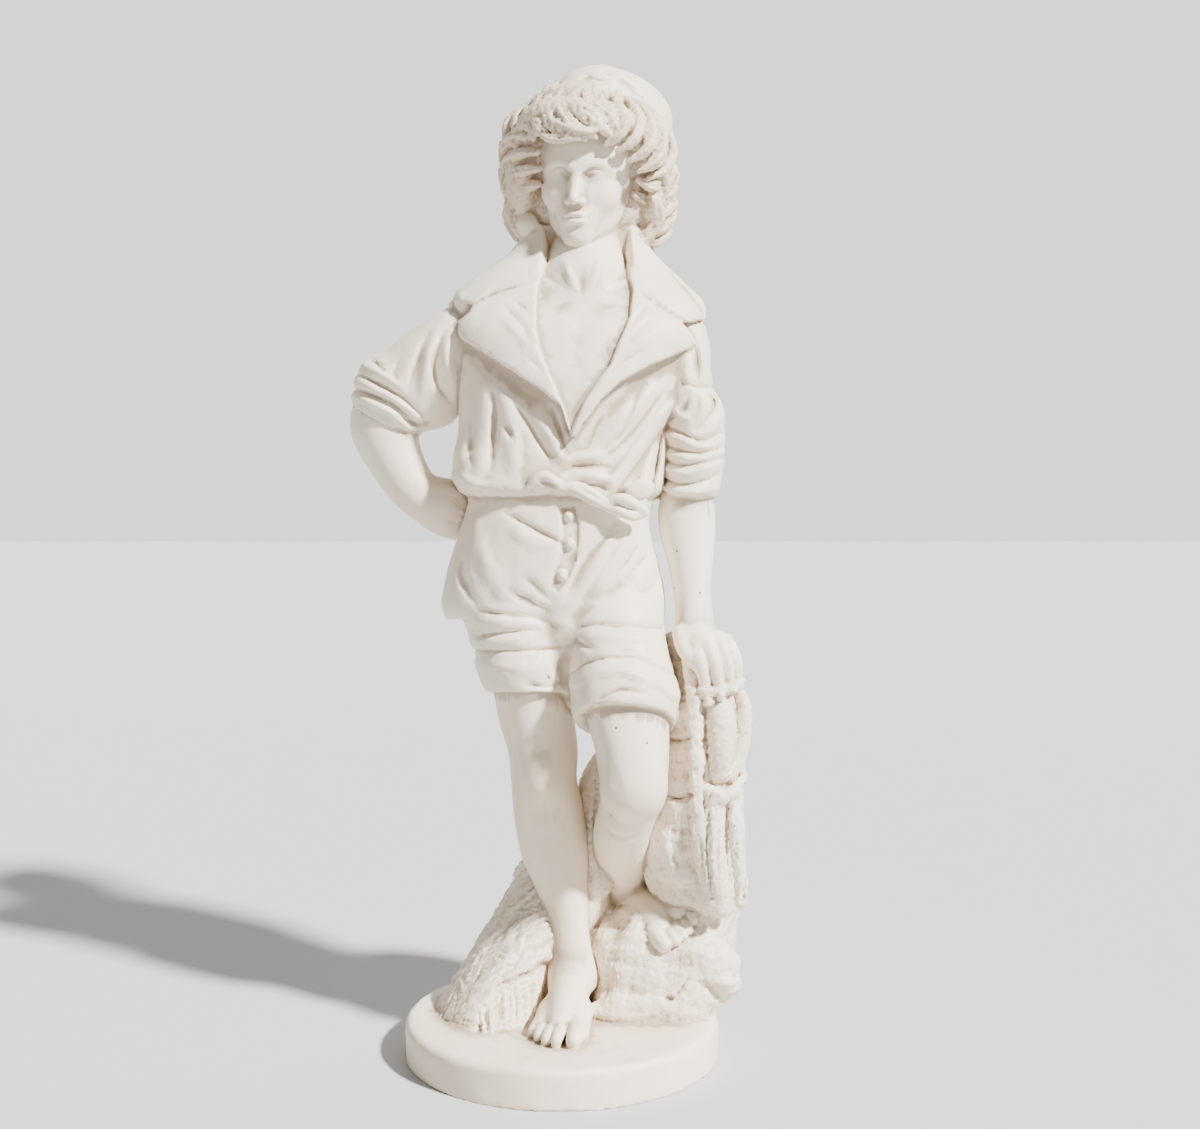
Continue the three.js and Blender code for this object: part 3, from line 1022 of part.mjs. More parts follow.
// skull and face of a plain youthful type, built on head heights: eyes at half, nose at seven tenths
function head() {
  begin();
  join(headBall([0, 22, 14], [56, 56, 66]), 10);
  join(headBall([0, 26, -16], [47, 36, 38]), 14);
  join(headBall([0, -8, -10], [43.5, 49, 40]), 16);
  join(headBall([0, -36, -20], [31, 32, 28]), 16);
  join(headLimb([
    [-43, -6, 10, 11], [-34, -32, 2, 11.5], [-21.5, -52, -16, 11], [-7, -63, -32, 10],
    [0, -64, -34, 10],
  ]), 14);
  join(headLimb([
    [43, -6, 10, 11], [34, -32, 2, 11.5], [21.5, -52, -16, 11], [7, -63, -32, 10],
    [0, -64, -34, 10],
  ]), 14);
  join(headBall([0, -65, -41], [14, 11, 12]), 10);
  join(headBall([-26, -20, -32], [15, 14, 13]), 14);
  join(headBall([26, -20, -32], [15, 14, 13]), 14);
  join(headBall([0, -45, -42], [19, 15, 13]), 10);
  cut(headBall([-19, 1, -58], [13.5, 8.5, 10.5], -4, 0, 0), 8);
  cut(headBall([19, 1, -58], [13.5, 8.5, 10.5], 4, 0, 0), 8);
  join(headLimb([
    [-36, 7, -36, 4], [-27, 14, -45, 4.6], [-14, 14, -51, 4.6], [-5, 9, -53, 5], [0, 8, -53, 5],
    [5, 9, -53, 5], [14, 14, -51, 4.6], [27, 14, -45, 4.6], [36, 7, -36, 4],
  ]), 7);
  join(headBall([-19.5, -0.5, -37.5], [12.4, 11, 11.5]), 1.5);
  join(headBall([19.5, -0.5, -37.5], [12.4, 11, 11.5]), 1.5);
  join(headLimb([
    [-30.5, -2.5, -40, 1.4], [-27, 2.6, -45, 2], [-20, 5.4, -48.6, 2.2], [-13, 3.8, -48.4, 2.1],
    [-8.5, -1.6, -45.6, 1.4],
  ]), 1.2);
  join(headLimb([
    [30.5, -2.5, -40, 1.4], [27, 2.6, -45, 2], [20, 5.4, -48.6, 2.2], [13, 3.8, -48.4, 2.1],
    [8.5, -1.6, -45.6, 1.4],
  ]), 1.2);
  join(headLimb([
    [-30, -3, -40, 1.2], [-26, -5.4, -44, 1.5], [-19.5, -7, -46.6, 1.6], [-13, -5.8, -46.4, 1.5],
    [-8.5, -2.4, -45, 1.2],
  ]), 1.6);
  join(headLimb([
    [30, -3, -40, 1.2], [26, -5.4, -44, 1.5], [19.5, -7, -46.6, 1.6], [13, -5.8, -46.4, 1.5],
    [8.5, -2.4, -45, 1.2],
  ]), 1.6);
  join(headBall([0, -15, -52], [9, 15, 9], 0, 0, 0), 6);
  join(headLimb([
    [0, 12, -48, 5.4], [0, 2, -52.5, 4.6], [0, -10, -58, 4.8], [0, -20, -63.5, 5.6],
    [0, -25, -65.5, 6.2],
  ]), 6);
  join(headBall([-7.4, -27.5, -57], [4.8, 4.4, 6.6]), 3);
  join(headBall([7.4, -27.5, -57], [4.8, 4.4, 6.6]), 3);
  cut(headLimb([[-4.6, -31, -56, 1.9], [-3.9, -31.6, -61, 1.9]]), 1.6);
  cut(headLimb([[4.6, -31, -56, 1.9], [3.9, -31.6, -61, 1.9]]), 1.6);
  join(headLimb([
    [-14.5, -44.6, -50.4, 1.4], [-9, -42.4, -54.4, 2.6], [-3.2, -40.6, -56.8, 3.2],
    [0, -41.4, -56.8, 3], [3.2, -40.6, -56.8, 3.2], [9, -42.4, -54.4, 2.6],
    [14.5, -44.6, -50.4, 1.4],
  ]), 2.4);
  join(headLimb([
    [-12, -47, -51, 2], [-6, -49.4, -54.4, 3.5], [0, -50, -55.6, 4], [6, -49.4, -54.4, 3.5],
    [12, -47, -51, 2],
  ]), 2.6);
  cut(headLimb([
    [-15.5, -45, -51, 1], [-8, -44.8, -57.6, 0.9], [-3, -44.4, -60, 0.9], [0, -45, -60.4, 0.9],
    [3, -44.4, -60, 0.9], [8, -44.8, -57.6, 0.9], [15.5, -45, -51, 1],
  ]), 1.4);
  cut(headBall([-17, -45.4, -52], [2.6, 3, 3]), 3);
  cut(headBall([17, -45.4, -52], [2.6, 3, 3]), 3);
  cut(headLimb([[0, -34, -61, 1.4], [0, -38.5, -60.6, 1.9]]), 2.6);
  cut(headBall([0, -56.5, -58.5], [11, 3.2, 4.4]), 5);
  // ear half under the hair
  join(headBall([55, -6, 10], [6, 15, 9], 0, 0, -10), 4);
  cut(headBall([60, -4, 8], [4, 9, 5], 0, 0, -10), 3);
  settle(2);
}

// hair in heavy wind-blown locks
function hair() {
  begin();
  join(ball([32, 966, 34], [80, 56, 58]), 10);
  join(ball([34.3, 905.6, 50], [76, 50, 56]), 14);
  join(ball([-42, 933.6, 28], [19, 42, 34]), 10);
  join(ball([103, 910, 36], [15, 46, 34]), 10);
  join(limb([
    [-37.7, 968, 4, 9], [-35.5, 991.6, -10, 12], [-13.6, 1004.4, -26, 15], [21, 1004.4, -33, 16],
    [56, 998, -30, 16], [84.4, 981, -18, 15], [103, 957, -2, 13],
  ]), 12);
  // filling between the brow locks and the cap
  join(limb([
    [-20, 1013, 6, 12], [6, 1021.5, -8, 14], [37.6, 1023.7, -10, 14], [67, 1014, -2, 13],
    [89, 998, 10, 12],
  ]), 8);
  // tousled locks swept across the forehead
  lock([
    [-12.5, 1030, 14, 5], [-23.4, 1013, 24, 6], [-26.7, 995, 28, 6.5], [-18, 982, 28, 6],
    [-5, 976.6, 25, 3.5],
  ]);
  lock([
    [-5, 1032, 16, 5], [-13.6, 1014, 26, 6.5], [-11.5, 996, 31, 7], [1.6, 983, 31, 6.5],
    [18, 975.5, 26, 3.5],
  ]);
  lock([
    [5, 1033.3, 17, 5], [-1.6, 1016, 27, 6.5], [4, 999, 33, 7.5], [20, 986, 32, 6.5],
    [38.6, 977.6, 26, 3.5],
  ]);
  lock([
    [16, 1034.4, 17, 5], [12.5, 1018.3, 27, 6.5], [21, 1003.4, 32, 7], [38.6, 991.6, 31, 7],
    [55, 978.7, 25, 4],
  ]);
  lock([
    [26.7, 1034.4, 16, 5], [28, 1020.5, 25, 6], [39.7, 1007.6, 30, 6.5], [55, 997, 29, 6.5],
    [62.6, 982, 25, 4],
  ]);
  lock([
    [1.6, 1008.7, 33, 3], [16, 1012, 36, 5.5], [32, 1006.6, 35, 5.5], [45, 997, 32, 4],
    [54, 995, 30, 3],
  ]);
  lock([
    [-13.6, 1000, 32, 3], [-4, 992.7, 36, 5], [12.5, 987.3, 37, 5.5], [30, 984, 34, 4.5],
    [41, 986, 31, 3],
  ]);
  lock([
    [-26.7, 987.3, 27, 3], [-16, 977.6, 30, 5], [-0.6, 975.5, 31, 5.5], [14.7, 978.7, 32, 5],
    [27.7, 976.6, 29, 3.5],
  ]);
  // locks falling over the temple
  lock([
    [45, 1032, 16, 6], [63.7, 1011, 25, 6], [71.3, 995, 28, 7], [63.7, 978.7, 27, 6.5],
    [49.5, 970, 22, 4],
  ]);
  lock([
    [56, 1032, 14, 6], [76.7, 1013, 22, 6], [86.6, 993.7, 26, 7.5], [79, 973.4, 26, 7],
    [62.6, 962.6, 20, 4],
  ]);
  lock([
    [67, 1030, 12, 6], [91, 1006.6, 20, 6.5], [99.7, 984, 24, 8], [92, 962.6, 24, 7.5],
    [74.7, 952, 17, 4],
  ]);
  lock([
    [80, 1021.5, 10, 6], [103, 995, 17, 7], [110.6, 972.3, 21, 8], [103, 949.7, 22, 7.5],
    [86.7, 941, 16, 4],
  ]);
  lock([
    [95.3, 1004.4, 4, 4], [114, 983, 12, 7], [120.5, 961.5, 17, 8], [113, 942, 19, 7],
    [96.5, 933.6, 14, 4],
  ]);
  // short upright curls at the other temple
  lock([[-14.7, 1026, 8, 4], [-23.4, 1011, 22, 6], [-22.4, 993.7, 28, 6.5], [-11.5, 984, 27, 4]]);
  lock([[-24.5, 1019.4, 8, 4], [-35.4, 1006.6, 20, 5.5], [-35.5, 990.5, 25, 6], [-25.7, 981, 23, 4]]);
  lock([[-35.4, 1013, 6, 4], [-47.4, 1000, 16, 5.5], [-47.5, 984, 21, 6], [-37.7, 974.4, 20, 4]]);
  lock([[-46.3, 1006.6, 2, 4], [-57, 992.7, 10, 5.5], [-57.3, 976.6, 16, 6], [-47.5, 968, 16, 4]]);
  // heavy waves beside the cheek
  lock([[-29, 976.6, 22, 4], [-46.4, 978.7, 18, 6.5], [-60.6, 968, 8, 7], [-64, 952, 2, 4.5]]);
  lock([[-24.6, 961.5, 20, 4], [-41, 961.5, 20, 7], [-57.4, 952, 11, 7.5], [-64, 935.7, 2, 5]]);
  lock([[-22.5, 944.4, 17, 4], [-36.7, 943.3, 20, 7], [-53, 934.7, 13, 7.5], [-61, 919.6, 4, 5]]);
  lock([[-23.6, 927, 13, 4], [-34.6, 925, 17, 6.5], [-47.7, 917.4, 14, 7], [-56.5, 904.5, 6, 4.5]]);
  lock([[-27, 914, 8, 4], [-37, 909, 12, 6], [-48, 901.3, 9, 5], [-50, 895, 4, 3.5]]);
  lock([[-51, 910, -6, 5], [-50, 893.7, -4, 7], [-45.7, 873, 0, 4]]);
  // rough stacked locks below the temple
  lock([[84.5, 931.4, 8, 4], [98.7, 925, 16, 6.5], [114, 929.3, 14, 6.5], [126, 938, 4, 4]]);
  lock([[80, 916.4, 8, 4], [96.6, 909, 17, 7], [114, 913, 15, 7], [127, 923, 3, 4]]);
  lock([[79, 900, 8, 4], [96.6, 892.6, 17, 7], [114, 897, 15, 7], [127, 906.6, 3, 4]]);
  lock([[80, 884, 8, 4], [96.6, 877.5, 16, 6.5], [113, 880.7, 14, 6.5], [125, 890.5, 3, 4]]);
  lock([[89, 869, 6, 4], [101, 863.4, 11, 5.5], [114, 869, 8, 5], [120.7, 877.5, 2, 3.5]]);
  // back and sides in long tumbling locks
  tumble(-38, 212, 13, 9);
  settle(1.5);
}

// soft cap set back over the hair
function cap() {
  begin();
  join(ball([54, 1000, 52], [69, 50, 58], -14, 0, 12), 10);
  join(ball([41, 1013, 26], [46, 40, 40], -6, 0, 0), 14);
  // turned rim all the way round
  join(limb([
    [-5, 1026, 4, 6], [32, 1033.3, -11, 6.5], [70, 1024.7, -6, 6.5], [102, 1002.3, 16, 6.5],
    [115, 978.7, 50, 7], [103, 963.7, 84, 7], [65, 959.4, 106, 7], [21, 970, 104, 7],
    [-9.3, 991.6, 78, 7], [-17, 1013, 36, 6.5], [-5, 1026, 4, 6],
  ]), 5);
  fold([[47.3, 1047, 4, -2], [73.5, 1032, 5, -4], [95.3, 1011, 4, -2]], -120, 60);
  fold([[16, 1034.4, 4, -1], [32, 1041, 4, -3], [49.5, 1036.5, 4, -1]], -120, 60);
  settle(2);
}

// Turns the grid of distances into a closed skin: one corner per crossed cell.
const at = (i, j, k) => (i * NH + j) * NB + k;

// Number of solid corners of the cell that starts at grid point n.
function solidCorners(field, n) {
  const [dx, dh] = [NH * NB, NB];
  let count = 0;
  for (let c = 0; c < 8; c++) {
    if (field[n + (c & 1) * dx + ((c >> 1) & 1) * dh + (c >> 2)] < 0) count++;
  }
  return count;
}

// Fills pinched corners, where two solid cells would meet only along an edge or at a point.
function openPinches(field) {
  const [dx, dh] = [NH * NB, NB];
  const mend = (a, b, c, d) => {
    const [sa, sb, sc, sd] = [field[a] < 0, field[b] < 0, field[c] < 0, field[d] < 0];
    if (sa !== sd || sb !== sc || sa === sb) return 0;
    field[sa ? b : a] = -0.3;
    return 1;
  };
  let filled = 1;
  while (filled > 0) {
    filled = 0;
    for (let i = 0; i < NX - 1; i++) {
      for (let j = 0; j < NH - 1; j++) {
        for (let k = 0; k < NB - 1; k++) {
          const n = at(i, j, k);
          const count = solidCorners(field, n);
          if (count === 0 || count === 8) continue;
          filled += mend(n, n + dx, n + dh, n + dx + dh);
          filled += mend(n, n + dx, n + 1, n + dx + 1);
          filled += mend(n, n + dh, n + 1, n + dh + 1);
          if (count !== 2 && count !== 6) continue;
          const ends = [
            [n, n + dx + dh + 1],
            [n + dx, n + dh + 1],
            [n + dh, n + dx + 1],
            [n + 1, n + dx + dh],
          ];
          for (const [a, b] of ends) {
            const alone = field[a] < 0 === (count === 2) && field[b] < 0 === (count === 2);
            if (!alone) continue;
            field[count === 6 ? a : a === n ? n + dx : n] = -0.3;
            filled++;
            break;
          }
        }
      }
    }
  }
}

function skin(field) {
  const corner = new Int32Array(field.length).fill(-1);
  const places = [];
  const [dx, dh] = [NH * NB, NB];
  const step = [dx, dh, 1];
  const stopsOf = [GX, GH, GB];
  for (let i = 0; i < NX - 1; i++) {
    for (let j = 0; j < NH - 1; j++) {
      for (let k = 0; k < NB - 1; k++) {
        const n = at(i, j, k);
        const solid = solidCorners(field, n);
        if (solid === 0 || solid === 8) continue;
        const cell = [i, j, k];
        const p = [0, 0, 0];
        let count = 0;
        for (let axis = 0; axis < 3; axis++) {
          const [e, f] = [(axis + 1) % 3, (axis + 2) % 3];
          for (let c = 0; c < 4; c++) {
            const [u, v] = [c & 1, c >> 1];
            const a = n + u * step[e] + v * step[f];
            const [fa, fb] = [field[a], field[a + step[axis]]];
            if (fa < 0 === fb < 0) continue;
            const [s, m] = [stopsOf[axis], cell[axis]];
            p[axis] += s[m] + (fa / (fa - fb)) * (s[m + 1] - s[m]);
            p[e] += stopsOf[e][cell[e] + u];
            p[f] += stopsOf[f][cell[f] + v];
            count++;
          }
        }
        corner[n] = places.length / 3;
        places.push(p[0] / count, p[1] / count, p[2] / count);
      }
    }
  }
  const faces = [];
  for (let i = 1; i < NX - 1; i++) {
    for (let j = 1; j < NH - 1; j++) {
      for (let k = 1; k < NB - 1; k++) {
        const n = at(i, j, k);
        const inside = field[n] < 0;
        for (let axis = 0; axis < 3; axis++) {
          if (inside === field[n + step[axis]] < 0) continue;
          const [e, f] = [step[(axis + 1) % 3], step[(axis + 2) % 3]];
          const ring = [corner[n - e - f], corner[n - f], corner[n], corner[n - e]];
          // depth runs away from the viewer, so the drawing's axes are left-handed
          const [a, b, c, d] = inside ? ring.reverse() : ring;
          faces.push(a, b, c, a, c, d);
        }
      }
    }
  }
  return { places: Float64Array.from(places), faces: Int32Array.from(faces) };
}

// Keeps the outer skin only, so that no sealed bubble stays inside.
function outerSkin({ places, faces }) {
  const group = Int32Array.from({ length: places.length / 3 }, (_, i) => i);
  const root = (v) => {
    while (group[v] !== v) {
      group[v] = group[group[v]];
      v = group[v];
    }
    return v;
  };
  for (let f = 0; f < faces.length; f += 3) {
    group[root(faces[f])] = root(faces[f + 1]);
    group[root(faces[f + 1])] = root(faces[f + 2]);
  }
  const sizes = new Map();
  for (let f = 0; f < faces.length; f += 3) {
    const r = root(faces[f]);
    sizes.set(r, (sizes.get(r) ?? 0) + 1);
  }
  const largest = [...sizes.entries()].sort((p, q) => q[1] - p[1])[0][0];
  const kept = [];
  for (let f = 0; f < faces.length; f += 3) {
    if (root(faces[f]) === largest) kept.push(faces[f], faces[f + 1], faces[f + 2]);
  }
  return { places, faces: Int32Array.from(kept) };
}

// Thins a skin to a number of triangles, always collapsing the edge that changes it least.
function thin({ places, faces }, target, weightAt) {
  const nv = places.length / 3;
  const around = Array.from({ length: nv }, () => new Set());
  const alive = new Uint8Array(faces.length / 3).fill(1);
  const quadric = new Float64Array(nv * 10);
  const normal = (a, b, c, out) => {
    const [ax, ay, az] = [places[3 * a], places[3 * a + 1], places[3 * a + 2]];
    const [ux, uy, uz] = [places[3 * b] - ax, places[3 * b + 1] - ay, places[3 * b + 2] - az];
    const [vx, vy, vz] = [places[3 * c] - ax, places[3 * c + 1] - ay, places[3 * c + 2] - az];
    out[0] = uy * vz - uz * vy;
    out[1] = uz * vx - ux * vz;
    out[2] = ux * vy - uy * vx;
    return Math.hypot(out[0], out[1], out[2]);
  };
  const n = [0, 0, 0];
  for (let f = 0; f < alive.length; f++) {
    const [a, b, c] = [faces[3 * f], faces[3 * f + 1], faces[3 * f + 2]];
    const area = normal(a, b, c, n) || 1e-12;
    const [x, y, z] = n.map((v) => v / area);
    const d = -(x * places[3 * a] + y * places[3 * a + 1] + z * places[3 * a + 2]);
    const w = area * weightAt(places[3 * a], places[3 * a + 1], places[3 * a + 2]);
    const q = [x * x, x * y, x * z, x * d, y * y, y * z, y * d, z * z, z * d, d * d];
    for (const v of [a, b, c]) {
      around[v].add(f);
      for (let i = 0; i < 10; i++) quadric[10 * v + i] += w * q[i];
    }
  }
  const stamp = new Int32Array(nv);
  const heap = [];
  const less = (p, q) => p[0] < q[0];
  const push = (item) => {
    let i = heap.push(item) - 1;
    while (i > 0) {
      const up = (i - 1) >> 1;
      if (!less(heap[i], heap[up])) break;
      [heap[i], heap[up]] = [heap[up], heap[i]];
      i = up;
    }
  };
  const pop = () => {
    const top = heap[0];
    const end = heap.pop();
    if (heap.length > 0) {
      heap[0] = end;
      let i = 0;
      for (;;) {
        const l = 2 * i + 1;
        if (l >= heap.length) break;
        const m = l + 1 < heap.length && less(heap[l + 1], heap[l]) ? l + 1 : l;
        if (!less(heap[m], heap[i])) break;
        [heap[i], heap[m]] = [heap[m], heap[i]];
        i = m;
      }
    }
    return top;
  };
  const cost = (q, x, y, z) =>
    q[0] * x * x + 2 * q[1] * x * y + 2 * q[2] * x * z + 2 * q[3] * x + q[4] * y * y +
    2 * q[5] * y * z + 2 * q[6] * y + q[7] * z * z + 2 * q[8] * z + q[9];
  const offer = (a, b) => {
    const q = new Array(10);
    for (let i = 0; i < 10; i++) q[i] = quadric[10 * a + i] + quadric[10 * b + i];
    const [mx, my, mz] = [0, 1, 2].map((i) => (places[3 * a + i] + places[3 * b + i]) / 2);
    const ease = 1e-3 * (q[0] + q[4] + q[7]);
    const [A, B, C, D, E, G] = [q[0] + ease, q[1], q[2], q[4] + ease, q[5], q[7] + ease];
    const [r, s, t] = [ease * mx - q[3], ease * my - q[6], ease * mz - q[8]];
    const det = A * (D * G - E * E) - B * (B * G - E * C) + C * (B * E - D * C);
    let p = [mx, my, mz];
    if (Math.abs(det) > 1e-12) {
      p = [
        (r * (D * G - E * E) - B * (s * G - E * t) + C * (s * E - D * t)) / det,
        (A * (s * G - E * t) - r * (B * G - E * C) + C * (B * t - s * C)) / det,
        (A * (D * t - s * E) - B * (B * t - s * C) + r * (B * E - D * C)) / det,
      ];
    }
    const span = Math.hypot(...[0, 1, 2].map((i) => places[3 * a + i] - places[3 * b + i]));
    const value = Math.max(cost(q, ...p), 0) + 0.02 * span * span;
    push([value, a, b, stamp[a], stamp[b], p]);
  };
  const ring = (v) => {
    const out = new Set();
    for (const f of around[v]) for (let i = 0; i < 3; i++) out.add(faces[3 * f + i]);
    out.delete(v);
    return out;
  };
  for (let v = 0; v < nv; v++) for (const w of ring(v)) if (v < w) offer(v, w);
  const staysSound = (v, other, p) => {
    const old = [places[3 * v], places[3 * v + 1], places[3 * v + 2]];
    const before = [0, 0, 0];
    const after = [0, 0, 0];
    for (const f of around[v]) {
      const t = [faces[3 * f], faces[3 * f + 1], faces[3 * f + 2]];
      if (t.includes(other)) continue;
      const la = normal(...t, before);
      places.set(p, 3 * v);
      const lb = normal(...t, after);
      let longest = 0;
      for (let i = 0; i < 3; i++) {
        const [a, b] = [3 * t[i], 3 * t[(i + 1) % 3]];
        const [dx, dy, dz] = [0, 1, 2].map((e) => places[a + e] - places[b + e]);
        const l = Math.hypot(dx, dy, dz);
        longest = Math.max(longest, l);
      }
      places.set(old, 3 * v);
      const dot = before[0] * after[0] + before[1] * after[1] + before[2] * after[2];
      if (dot < 0.25 * la * lb || lb < 0.09 * longest * longest) return false;
    }
    return true;
  };
  let left = alive.length;
  while (left > target && heap.length > 0) {
    const [, a, b, sa, sb, p] = pop();
    if (stamp[a] !== sa || stamp[b] !== sb) continue;
    const [ra, rb] = [ring(a), ring(b)];
    if (!ra.has(b)) continue;
    let common = 0;
    for (const v of ra) if (rb.has(v)) common++;
    if (common !== 2 || !staysSound(a, b, p) || !staysSound(b, a, p)) continue;
    places.set(p, 3 * a);
    for (const f of [...around[b]]) {
      const t = [faces[3 * f], faces[3 * f + 1], faces[3 * f + 2]];
      if (t.includes(a)) {
        alive[f] = 0;
        left--;
        for (const v of t) around[v].delete(f);
      } else {
        faces[3 * f + t.indexOf(b)] = a;
        around[a].add(f);
      }
    }
    around[b].clear();
    stamp[b] = -1;
    for (let i = 0; i < 10; i++) quadric[10 * a + i] += quadric[10 * b + i];
    stamp[a]++;
    for (const v of ring(a)) offer(Math.min(a, v), Math.max(a, v));
  }
  const index = new Map();
  const outPlaces = [];
  const outFaces = [];
  for (let f = 0; f < alive.length; f++) {
    if (!alive[f]) continue;
    for (let i = 0; i < 3; i++) {
      const v = faces[3 * f + i];
      if (!index.has(v)) {
        index.set(v, index.size);
        outPlaces.push(places[3 * v], places[3 * v + 1], places[3 * v + 2]);
      }
      outFaces.push(index.get(v));
    }
  }
  return { places: Float64Array.from(outPlaces), faces: Int32Array.from(outFaces) };
}

// From the drawing plane and depth to true places above the plinth's top.
function trueHeight(h, b) {
  return EYE_UP + ((h - EYE_UP) * (EYE_AWAY + b)) / EYE_AWAY;
}

function trueAcross(x, b) {
  return EYE_ACROSS + ((x - EYE_ACROSS) * (EYE_AWAY + b)) / EYE_AWAY;
}

// Points of finer carving: [x, y, z, reach, weight], in the figure's own millimetres
const FINE_SPOTS = [
  [28, -30, 930, 90, 5],
  [20, 30, 1000, 110, 1.5],
  [150, -30, 440, 60, 2.5],
  [5, -70, 20, 90, 2.5],
  [110, 0, 110, 70, 2.5],
];

function weightAt(x, y, z) {
  let w = 1;
  for (const [a, b, c, r, more] of FINE_SPOTS) {
    if (Math.hypot(x - a, y - b, z - c) < r) w = Math.max(w, more);
  }
  return w;
}

// Everything below the plinth's top is sunk in it; what stands out past its edge is undercut.
function clipAtPlinth(scale) {
  const radius = PLINTH_RADIUS / scale;
  for (let i = 0; i < NX; i++) {
    for (let j = 0; j < NH; j++) {
      for (let k = 0; k < NB; k++) {
        const n = at(i, j, k);
        const z = trueHeight(GH[j], GB[k]);
        if (z > 60) continue;
        const r = Math.hypot(trueAcross(GX[i], GB[k]), GB[k]);
        const floor = Math.max(-SUNK, (r - radius) * 0.5 + 1);
        whole[n] = Math.max(whole[n], floor - z);
      }
    }
  }
}

function carveFigure() {
  const pieces = [
    shirt, knot, collar, neck, bentArm, straightArm, shorts, standingLeg, bentLeg, sheaf, rock,
    stump, bag, head, hair, cap,
  ];
  for (const piece of pieces) piece();
  const scale = FIGURE_HEIGHT / DRAWN_HEIGHT;
  clipAtPlinth(scale);
  openPinches(whole);
  const rough = outerSkin(skin(whole));
  const p = rough.places;
  for (let i = 0; i < p.length; i += 3) {
    const [x, h, b] = [p[i], p[i + 1], p[i + 2]];
    p[i] = trueAcross(x, b);
    p[i + 1] = b;
    p[i + 2] = trueHeight(h, b);
  }
  const fine = thin(rough, TRIANGLES, weightAt);
  for (let i = 0; i < fine.places.length; i += 3) {
    fine.places[i] *= scale;
    fine.places[i + 1] *= scale;
    fine.places[i + 2] = fine.places[i + 2] * scale + PLINTH_HEIGHT;
  }
  return fine;
}

function plinthGeometry() {
  const profile = [new THREE.Vector2(0, 0), new THREE.Vector2(PLINTH_RADIUS - PLINTH_FOOT_EDGE, 0)];
  profile.push(new THREE.Vector2(PLINTH_RADIUS, PLINTH_FOOT_EDGE));
  for (let i = 0; i <= 4; i++) {
    const a = (i / 4) * 90 * DEG;
    const r = PLINTH_RADIUS - PLINTH_EDGE * (1 - Math.cos(a));
    profile.push(new THREE.Vector2(r, PLINTH_HEIGHT - PLINTH_EDGE * (1 - Math.sin(a))));
  }
  profile.push(new THREE.Vector2(0, PLINTH_HEIGHT));
  return new THREE.LatheGeometry(profile, 72).rotateX(Math.PI / 2);
}

const wasm = await Module();
wasm.setup();

function solidOf(vertProperties, triVerts) {
  return new wasm.Manifold(new wasm.Mesh({ numProp: 3, vertProperties, triVerts }));
}

function solidOfGeometry(geometry) {
  geometry.deleteAttribute('normal');
  geometry.deleteAttribute('uv');
  const merged = mergeVertices(geometry, 1e-4);
  return solidOf(new Float32Array(merged.attributes.position.array), new Uint32Array(merged.index.array));
}

const figure = carveFigure();
const carved = solidOf(Float32Array.from(figure.places), Uint32Array.from(figure.faces));
const statueMesh = solidOfGeometry(plinthGeometry()).add(carved).getMesh();
const geometry = new THREE.BufferGeometry();
geometry.setAttribute('position', new THREE.BufferAttribute(statueMesh.vertProperties, 3));
geometry.setIndex(new THREE.BufferAttribute(statueMesh.triVerts, 1));
geometry.computeVertexNormals();

const marble = new THREE.MeshStandardMaterial({ color: 0xe6e2da, roughness: 0.55, metalness: 0 });
const statue = new THREE.Mesh(geometry, marble);
statue.name = 'marble_statue';

const group = new THREE.Group();
group.add(statue);

export default group;
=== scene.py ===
"""Marble statue of a barefoot country boy, carved with its stump, netting and round plinth.

The piece is worked as a field of distances on a grid, the way a carver roughs out and then
refines a block: masses first, then cloth, hair and face, then folds and tool marks. Control
points are [across, up, depth] on an upright drawing plane seen from in front, in millimetres.
"""

import bpy
import numpy as np
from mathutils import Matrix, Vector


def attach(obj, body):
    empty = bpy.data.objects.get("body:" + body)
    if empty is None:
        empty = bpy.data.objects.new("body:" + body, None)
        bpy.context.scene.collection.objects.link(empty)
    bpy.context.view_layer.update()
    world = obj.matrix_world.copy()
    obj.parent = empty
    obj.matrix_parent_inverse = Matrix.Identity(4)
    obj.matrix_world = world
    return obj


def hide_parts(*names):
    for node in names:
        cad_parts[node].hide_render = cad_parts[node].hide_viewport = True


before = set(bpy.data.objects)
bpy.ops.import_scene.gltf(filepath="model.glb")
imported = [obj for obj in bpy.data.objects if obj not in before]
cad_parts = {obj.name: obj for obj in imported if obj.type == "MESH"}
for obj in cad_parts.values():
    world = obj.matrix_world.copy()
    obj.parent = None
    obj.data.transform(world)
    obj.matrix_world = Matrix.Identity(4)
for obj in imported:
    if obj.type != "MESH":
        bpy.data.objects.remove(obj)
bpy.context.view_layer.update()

# Sizes in millimetres
PLINTH_RADIUS = 176.5
PLINTH_HEIGHT = 44.0
PLINTH_EDGE = 9.0
# Viewpoint that the drawing plane is seen from
EYE_ACROSS, EYE_AWAY, EYE_UP = 43.0, 1884.0, 657.0
# Grid steps, triangles of the finished mesh and strands in a lock of hair
CELL = 2.2
HEAD_CELL = 1.35
TRIANGLES = 192000
STRANDS = 5
# Distance that stands for empty space
FAR = 60.0
WHOLE_TURN = 6.283
# The worked block on the drawing plane and in depth, and how deep its foot is sunk in the plinth
BLOCK_ACROSS = (-264, 236)
BLOCK_UP = (-124, 1076)
BLOCK_DEPTH = (-188, 190)
SUNK = 8
PLINTH_FILLET = 5
# Lowest height that still counts as the underside
UNDERSIDE = 0.9
# Pose of the head
HEAD = (28.5, 936.0, 16.0)
HEAD_TURN = -12.0
HEAD_TILT = -2.0
